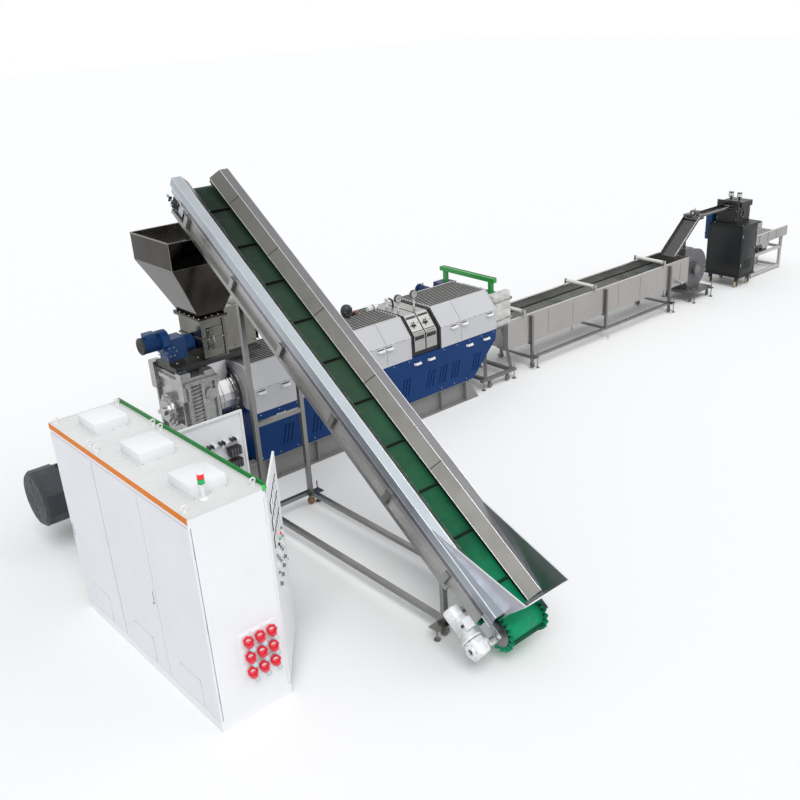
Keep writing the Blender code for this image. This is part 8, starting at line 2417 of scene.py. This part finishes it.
    def switches(self) -> None:
        """The switch box's lid, its hinges, a dark panel of buttons, a red mushroom and a cable gland."""
        (x0, _, z0), (x1, y1, z1) = self.switch_low, self.switch_high
        middle = (x0 + x1) / 2
        surfaces = [centred_box((middle, y1 + 0.001, (z0 + z1) / 2), (x1 - x0 - 0.016, 0.014,
            z1 - z0 - 0.016), 0.004, BOX_BLUE), centred_box((x0 - 0.001, 0.355, (z0 + z1) / 2),
            (0.008, 0.09, z1 - z0 - 0.05), 0.003, BOX_BLUE), centred_box((middle, y1 + 0.01, 1.2),
            (0.2, 0.006, 0.22), 0.002, DEVICE_FACE)]
        button = [(0, 0), (0.015, 0), (0.015, 0.006), (0.011, 0.008), (0.01, 0.018), (0, 0.019)]
        surfaces += [turned(button, (middle - 0.06 + column * 0.06, y1 + 0.012, 1.26 - row * 0.06), (0, 1, 0),
            finish, 20) for column in range(3) for row,
            finish in enumerate((LAMP_GREEN, LAMP_RED, BLACK_PLASTIC))]
        surfaces += [turned([(0, 0), (0.015, 0), (0.015, 0.014), (0.028, 0.02), (0.028, 0.03), (0.02, 0.038),
            (0, 0.04)], (middle, y1 + 0.006, 0.98), (0, 1, 0), SOCKET_RED, 28),
            turned([(0, 0), (0.016, 0), (0.016, 0.014), (0.011, 0.024), (0, 0.024)],
            (middle, 0.355, z0 + 0.001), (0, 0, -1), BLACK_PLASTIC, 6)]
        surfaces += [turned([(0, 0), (0.006, 0), (0.006, 0.05), (0, 0.05)], (x0 - 0.001, y1 + 0.002, z),
            (0, 0, 1), ZINC, 12) for z in (z0 + 0.08, z1 - 0.08)]
        self.add("switch_box_fittings", surfaces, "pelletizer_switch_box")

    def casters(self) -> None:
        """Tyres and hubs on the four casters, each on its own body."""
        tyre = [(0.0, -0.0165), (0.05, -0.0165), (0.057, -0.015), (0.06, -0.01), (0.0603, 0.0), (0.06, 0.01),
            (0.057, 0.015), (0.05, 0.0165), (0.0, 0.0165)]
        for index, (x, y) in enumerate(self.wheels, 1):
            z = self.wheel_radius
            surfaces = [turned(tyre, (x, y, z), (0, 1, 0), CASTER_CREAM, 40)]
            surfaces += [ring((x, y + side * 0.0162, z), (0, side, 0), 0.022, 0.046, 0.001, MOTOR_GREY, 32)
                for side in (-1, 1)]
            self.add(f"caster_tyre_{index}", surfaces, f"caster_wheel_{index}",
                body=f"caster_wheel_{index}_body")


# Vibrating screen
@dataclass
class VibratingScreen(Station):
    """The pellet screen: its coil springs, tray hems, woven deck, clamp bolts and the exciter's motor."""

    frame_x: tuple[float, float] = (7.98, 9.1)
    frame_y: tuple[float, float] = (-0.28, 0.26)
    tube: float = 0.05
    spring_z: tuple[float, float] = (0.45, 0.66)
    tray_low: Point = (7.96, -0.3, 0.66)
    tray_high: Point = (9.22, 0.28, 0.86)
    deck: float = 0.72
    exciter: Point = (8.54, -0.01, 0.5)

    def build(self) -> list[bpy.types.Object]:
        """Make the screen's pieces.

        Returns:
            The pieces.
        """
        self.springs()
        self.tray()
        self.mesh_deck()
        self.motor()
        return self.made

    def springs(self) -> None:
        """Coil springs with their seats round the four posts."""
        surfaces = []
        inset = self.tube / 2
        for x in (self.frame_x[0] + inset, self.frame_x[1] - inset):
            for y in (self.frame_y[0] + inset, self.frame_y[1] - inset):
                low, high = self.spring_z
                surfaces.append(coil((x, y, low + 0.012), 0.037, 0.0055, high - low - 0.024, 6.0, ZINC))
                surfaces += [turned([(0, -0.001), (0.046, -0.001), (0.046, 0.006), (0.04, 0.01), (0, 0.01)],
                    (x, y, z), (0, 0, way), SCREEN_GREY, 28) for z, way in ((low, 1), (high, -1))]
        self.add("screen_springs", surfaces, "screen_frame")

    def tray(self) -> None:
        """Hems on the tray's edges, side ribs with bolts, and the wire of the outlet lip."""
        (x0, y0, z0), (x1, y1, z1) = self.tray_low, self.tray_high
        surfaces = []
        for y in (y0 + 0.003, y1 - 0.003):
            surfaces.append(tube(np.array([(x0 + 0.004, y, z1 - 0.004), (x1 - 0.004, y, z1 - 0.004)]), 0.007,
                TANK_LIP, 10))
            side = -1 if y < 0 else 1
            for x in (x0 + 0.2, x0 + 0.52, x0 + 0.84):
                surfaces += [centred_box((x, y + side * 0.004, 0.76), (0.03, 0.01, 0.17), 0.004,
                    SCREEN_SHEET), bolt((x, y + side * 0.008, 0.8), (0, side, 0), 0.008, 0.006, ZINC),
                    bolt((x, y + side * 0.008, 0.71), (0, side, 0), 0.008, 0.006, ZINC)]
        surfaces.append(tube(np.array([(x0 + 0.003, y0 + 0.004, z1 - 0.004), (x0 + 0.003, y1 - 0.004,
            z1 - 0.004)]), 0.007, TANK_LIP, 10))
        self.add("screen_tray_hems", surfaces, "screen_tray")

    def mesh_deck(self) -> None:
        """The woven deck: flat wires that swing up and down by a sine where they cross the others."""
        (x0, y0, _), (x1, y1, _) = self.tray_low, self.tray_high
        surfaces = []
        for y in np.arange(y0 + 0.03, y1 - 0.02, 0.018):
            xs = np.linspace(x0 + 0.02, x1 - 0.04, 40)
            path = np.stack((xs, np.full_like(xs, y), self.deck + 0.004 + 0.0008 * np.sin(xs * 80)), axis=1)
            surfaces.append(tube(path, 0.0014, ZINC, 4))
        for x in np.arange(x0 + 0.03, x1 - 0.04, 0.018):
            ys = np.linspace(y0 + 0.012, y1 - 0.012, 20)
            path = np.stack((np.full_like(ys, x), ys, self.deck + 0.0062 + 0.0008 * np.sin(ys * 80)), axis=1)
            surfaces.append(tube(path, 0.0014, ZINC, 4))
        self.add("screen_woven_deck", surfaces, "screen_tray")

    def motor(self) -> None:
        """The exciter: a finned middle, two bolted weight covers and a cable gland."""
        x, y, z = self.exciter
        surfaces = [finned((x, y - 0.1, z), (0, 1, 0), 0.2, 0.083, 0.01, 28, MOTOR_GREY)]
        for side in (-1, 1):
            cover = [(0, 0), (0.094, 0), (0.095, 0.004), (0.095, 0.06), (0.088, 0.076), (0.06, 0.083),
                (0, 0.084)]
            surfaces += [turned(cover, (x, y + side * 0.12, z), (0, side, 0), MOTOR_GREY, 40),
                *bolts_round((x, y + side * 0.196, z), (0, side, 0), 0.07, 4, 0.007, ZINC, math.pi / 4)]
        surfaces += [centred_box((x, y, z - 0.1), (0.09, 0.12, 0.05), 0.008, MOTOR_GREY),
            turned([(0, 0), (0.012, 0), (0.012, 0.012), (0.008, 0.02), (0, 0.02)], (x, y - 0.06, z - 0.1),
            (0, -1, 0), BLACK_PLASTIC, 6)]
        self.add("screen_exciter_fittings", surfaces, "screen_tray")


# Studio
@dataclass
class Studio:
    """The floor, the lamps and the camera at the photograph's angle."""

    eye: Point = (-8.801, -9.514, 5.382)
    heading: float = math.radians(-41.947)
    pitch: float = math.radians(-24.313)
    roll: float = math.radians(-2.519)
    lens: float = 42.196
    shift: tuple[float, float] = (-0.0501, 0.0251)
    floor_half: float = 90.0
    sky_strength: float = 0.62

    def build(self) -> None:
        """Set up the whole studio."""
        self.lay_floor()
        self.hang_lamps()
        self.place_camera()
        bpy.context.scene.view_settings.view_transform = "Standard"

    def lay_floor(self) -> None:
        """Lay a plain pale floor."""
        half = self.floor_half
        mesh = bpy.data.meshes.new("floor")
        mesh.from_pydata([(-half, -half, 0.0), (half, -half, 0.0), (half, half, 0.0), (-half, half, 0.0)], [],
            [(0, 1, 2, 3)])
        floor = bpy.data.objects.new("floor", mesh)
        bpy.context.scene.collection.objects.link(floor)
        paint = bpy.data.materials.new("floor_paper")
        paint.use_nodes = True
        paint.node_tree.nodes["Principled BSDF"].inputs["Base Color"].default_value = (0.9, 0.9, 0.9, 1.0)
        paint.node_tree.nodes["Principled BSDF"].inputs["Roughness"].default_value = 0.95
        paint.node_tree.nodes["Principled BSDF"].inputs["Specular IOR Level"].default_value = 0.0
        mesh.materials.append(paint)

    def hang_lamps(self) -> None:
        """Light the line with a pale surround, a broad key and a weaker fill."""
        world = bpy.data.worlds.new("surround")
        bpy.context.scene.world = world
        world.use_nodes = True
        tree = world.node_tree
        lit = tree.nodes["Background"]
        lit.inputs["Color"].default_value = (0.96, 0.98, 1.0, 1.0)
        lit.inputs["Strength"].default_value = self.sky_strength
        seen = tree.nodes.new("ShaderNodeBackground")
        seen.inputs["Color"].default_value = (1.0, 1.0, 1.0, 1.0)
        seen.inputs["Strength"].default_value = 1.0
        rays = tree.nodes.new("ShaderNodeLightPath")
        mix = tree.nodes.new("ShaderNodeMixShader")
        share = rays.outputs["Is Camera Ray"]
        for kind in ("Is Glossy Ray", "Is Transmission Ray"):
            either = tree.nodes.new("ShaderNodeMath")
            either.operation = "MAXIMUM"
            tree.links.new(share, either.inputs[0])
            tree.links.new(rays.outputs[kind], either.inputs[1])
            share = either.outputs[0]
        tree.links.new(share, mix.inputs["Fac"])
        tree.links.new(lit.outputs["Background"], mix.inputs[1])
        tree.links.new(seen.outputs["Background"], mix.inputs[2])
        tree.links.new(mix.outputs["Shader"], tree.nodes["World Output"].inputs["Surface"])
        for name, strength, spread, toward in (("key", 1.5, 35.0, (0.35, 0.55, -0.9)),
                ("fill", 0.55, 60.0, (-0.7, 0.45, -0.6))):
            lamp = bpy.data.lights.new(name, "SUN")
            lamp.energy = strength
            lamp.angle = math.radians(spread)
            holder = bpy.data.objects.new(name, lamp)
            holder.rotation_euler = Vector(toward).to_track_quat("-Z", "Y").to_euler()
            bpy.context.scene.collection.objects.link(holder)

    def place_camera(self) -> None:
        """Stand the camera where the photograph was taken from."""
        ahead = np.array((-math.sin(self.heading) * math.cos(self.pitch),
            math.cos(self.heading) * math.cos(self.pitch), math.sin(self.pitch)))
        right = np.array((math.cos(self.heading), math.sin(self.heading), 0.0))
        up = np.cross(right, ahead)
        rolled_right = right * math.cos(self.roll) + up * math.sin(self.roll)
        rolled_up = -right * math.sin(self.roll) + up * math.cos(self.roll)
        turn = Matrix([(*row,) for row in np.stack((rolled_right, rolled_up, -ahead), axis=1)]).to_4x4()
        lens = bpy.data.cameras.new("camera")
        lens.sensor_width = 36.0
        lens.lens = self.lens
        lens.shift_x, lens.shift_y = self.shift
        lens.clip_end = 400.0
        camera = bpy.data.objects.new("camera", lens)
        camera.matrix_world = Matrix.Translation(self.eye) @ turn
        bpy.context.scene.collection.objects.link(camera)
        bpy.context.scene.camera = camera


def main() -> None:
    """Dress the solids, add the fittings station by station, and set up the studio."""
    logging.basicConfig(level=logging.INFO, format="%(name)s: %(message)s")
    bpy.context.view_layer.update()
    Studio().build()
    dress_solids()
    stations = (ControlCabinet(), BeltConveyor(), ExtruderDrive(), Feeder(), GuardedBarrel(), ScreenChanger(),
        CoolingTank(), Blower(), StrandChute(), Pelletizer(), VibratingScreen())
    for station in stations:
        for piece in station.build():
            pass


if __name__ == "__main__":
    main()
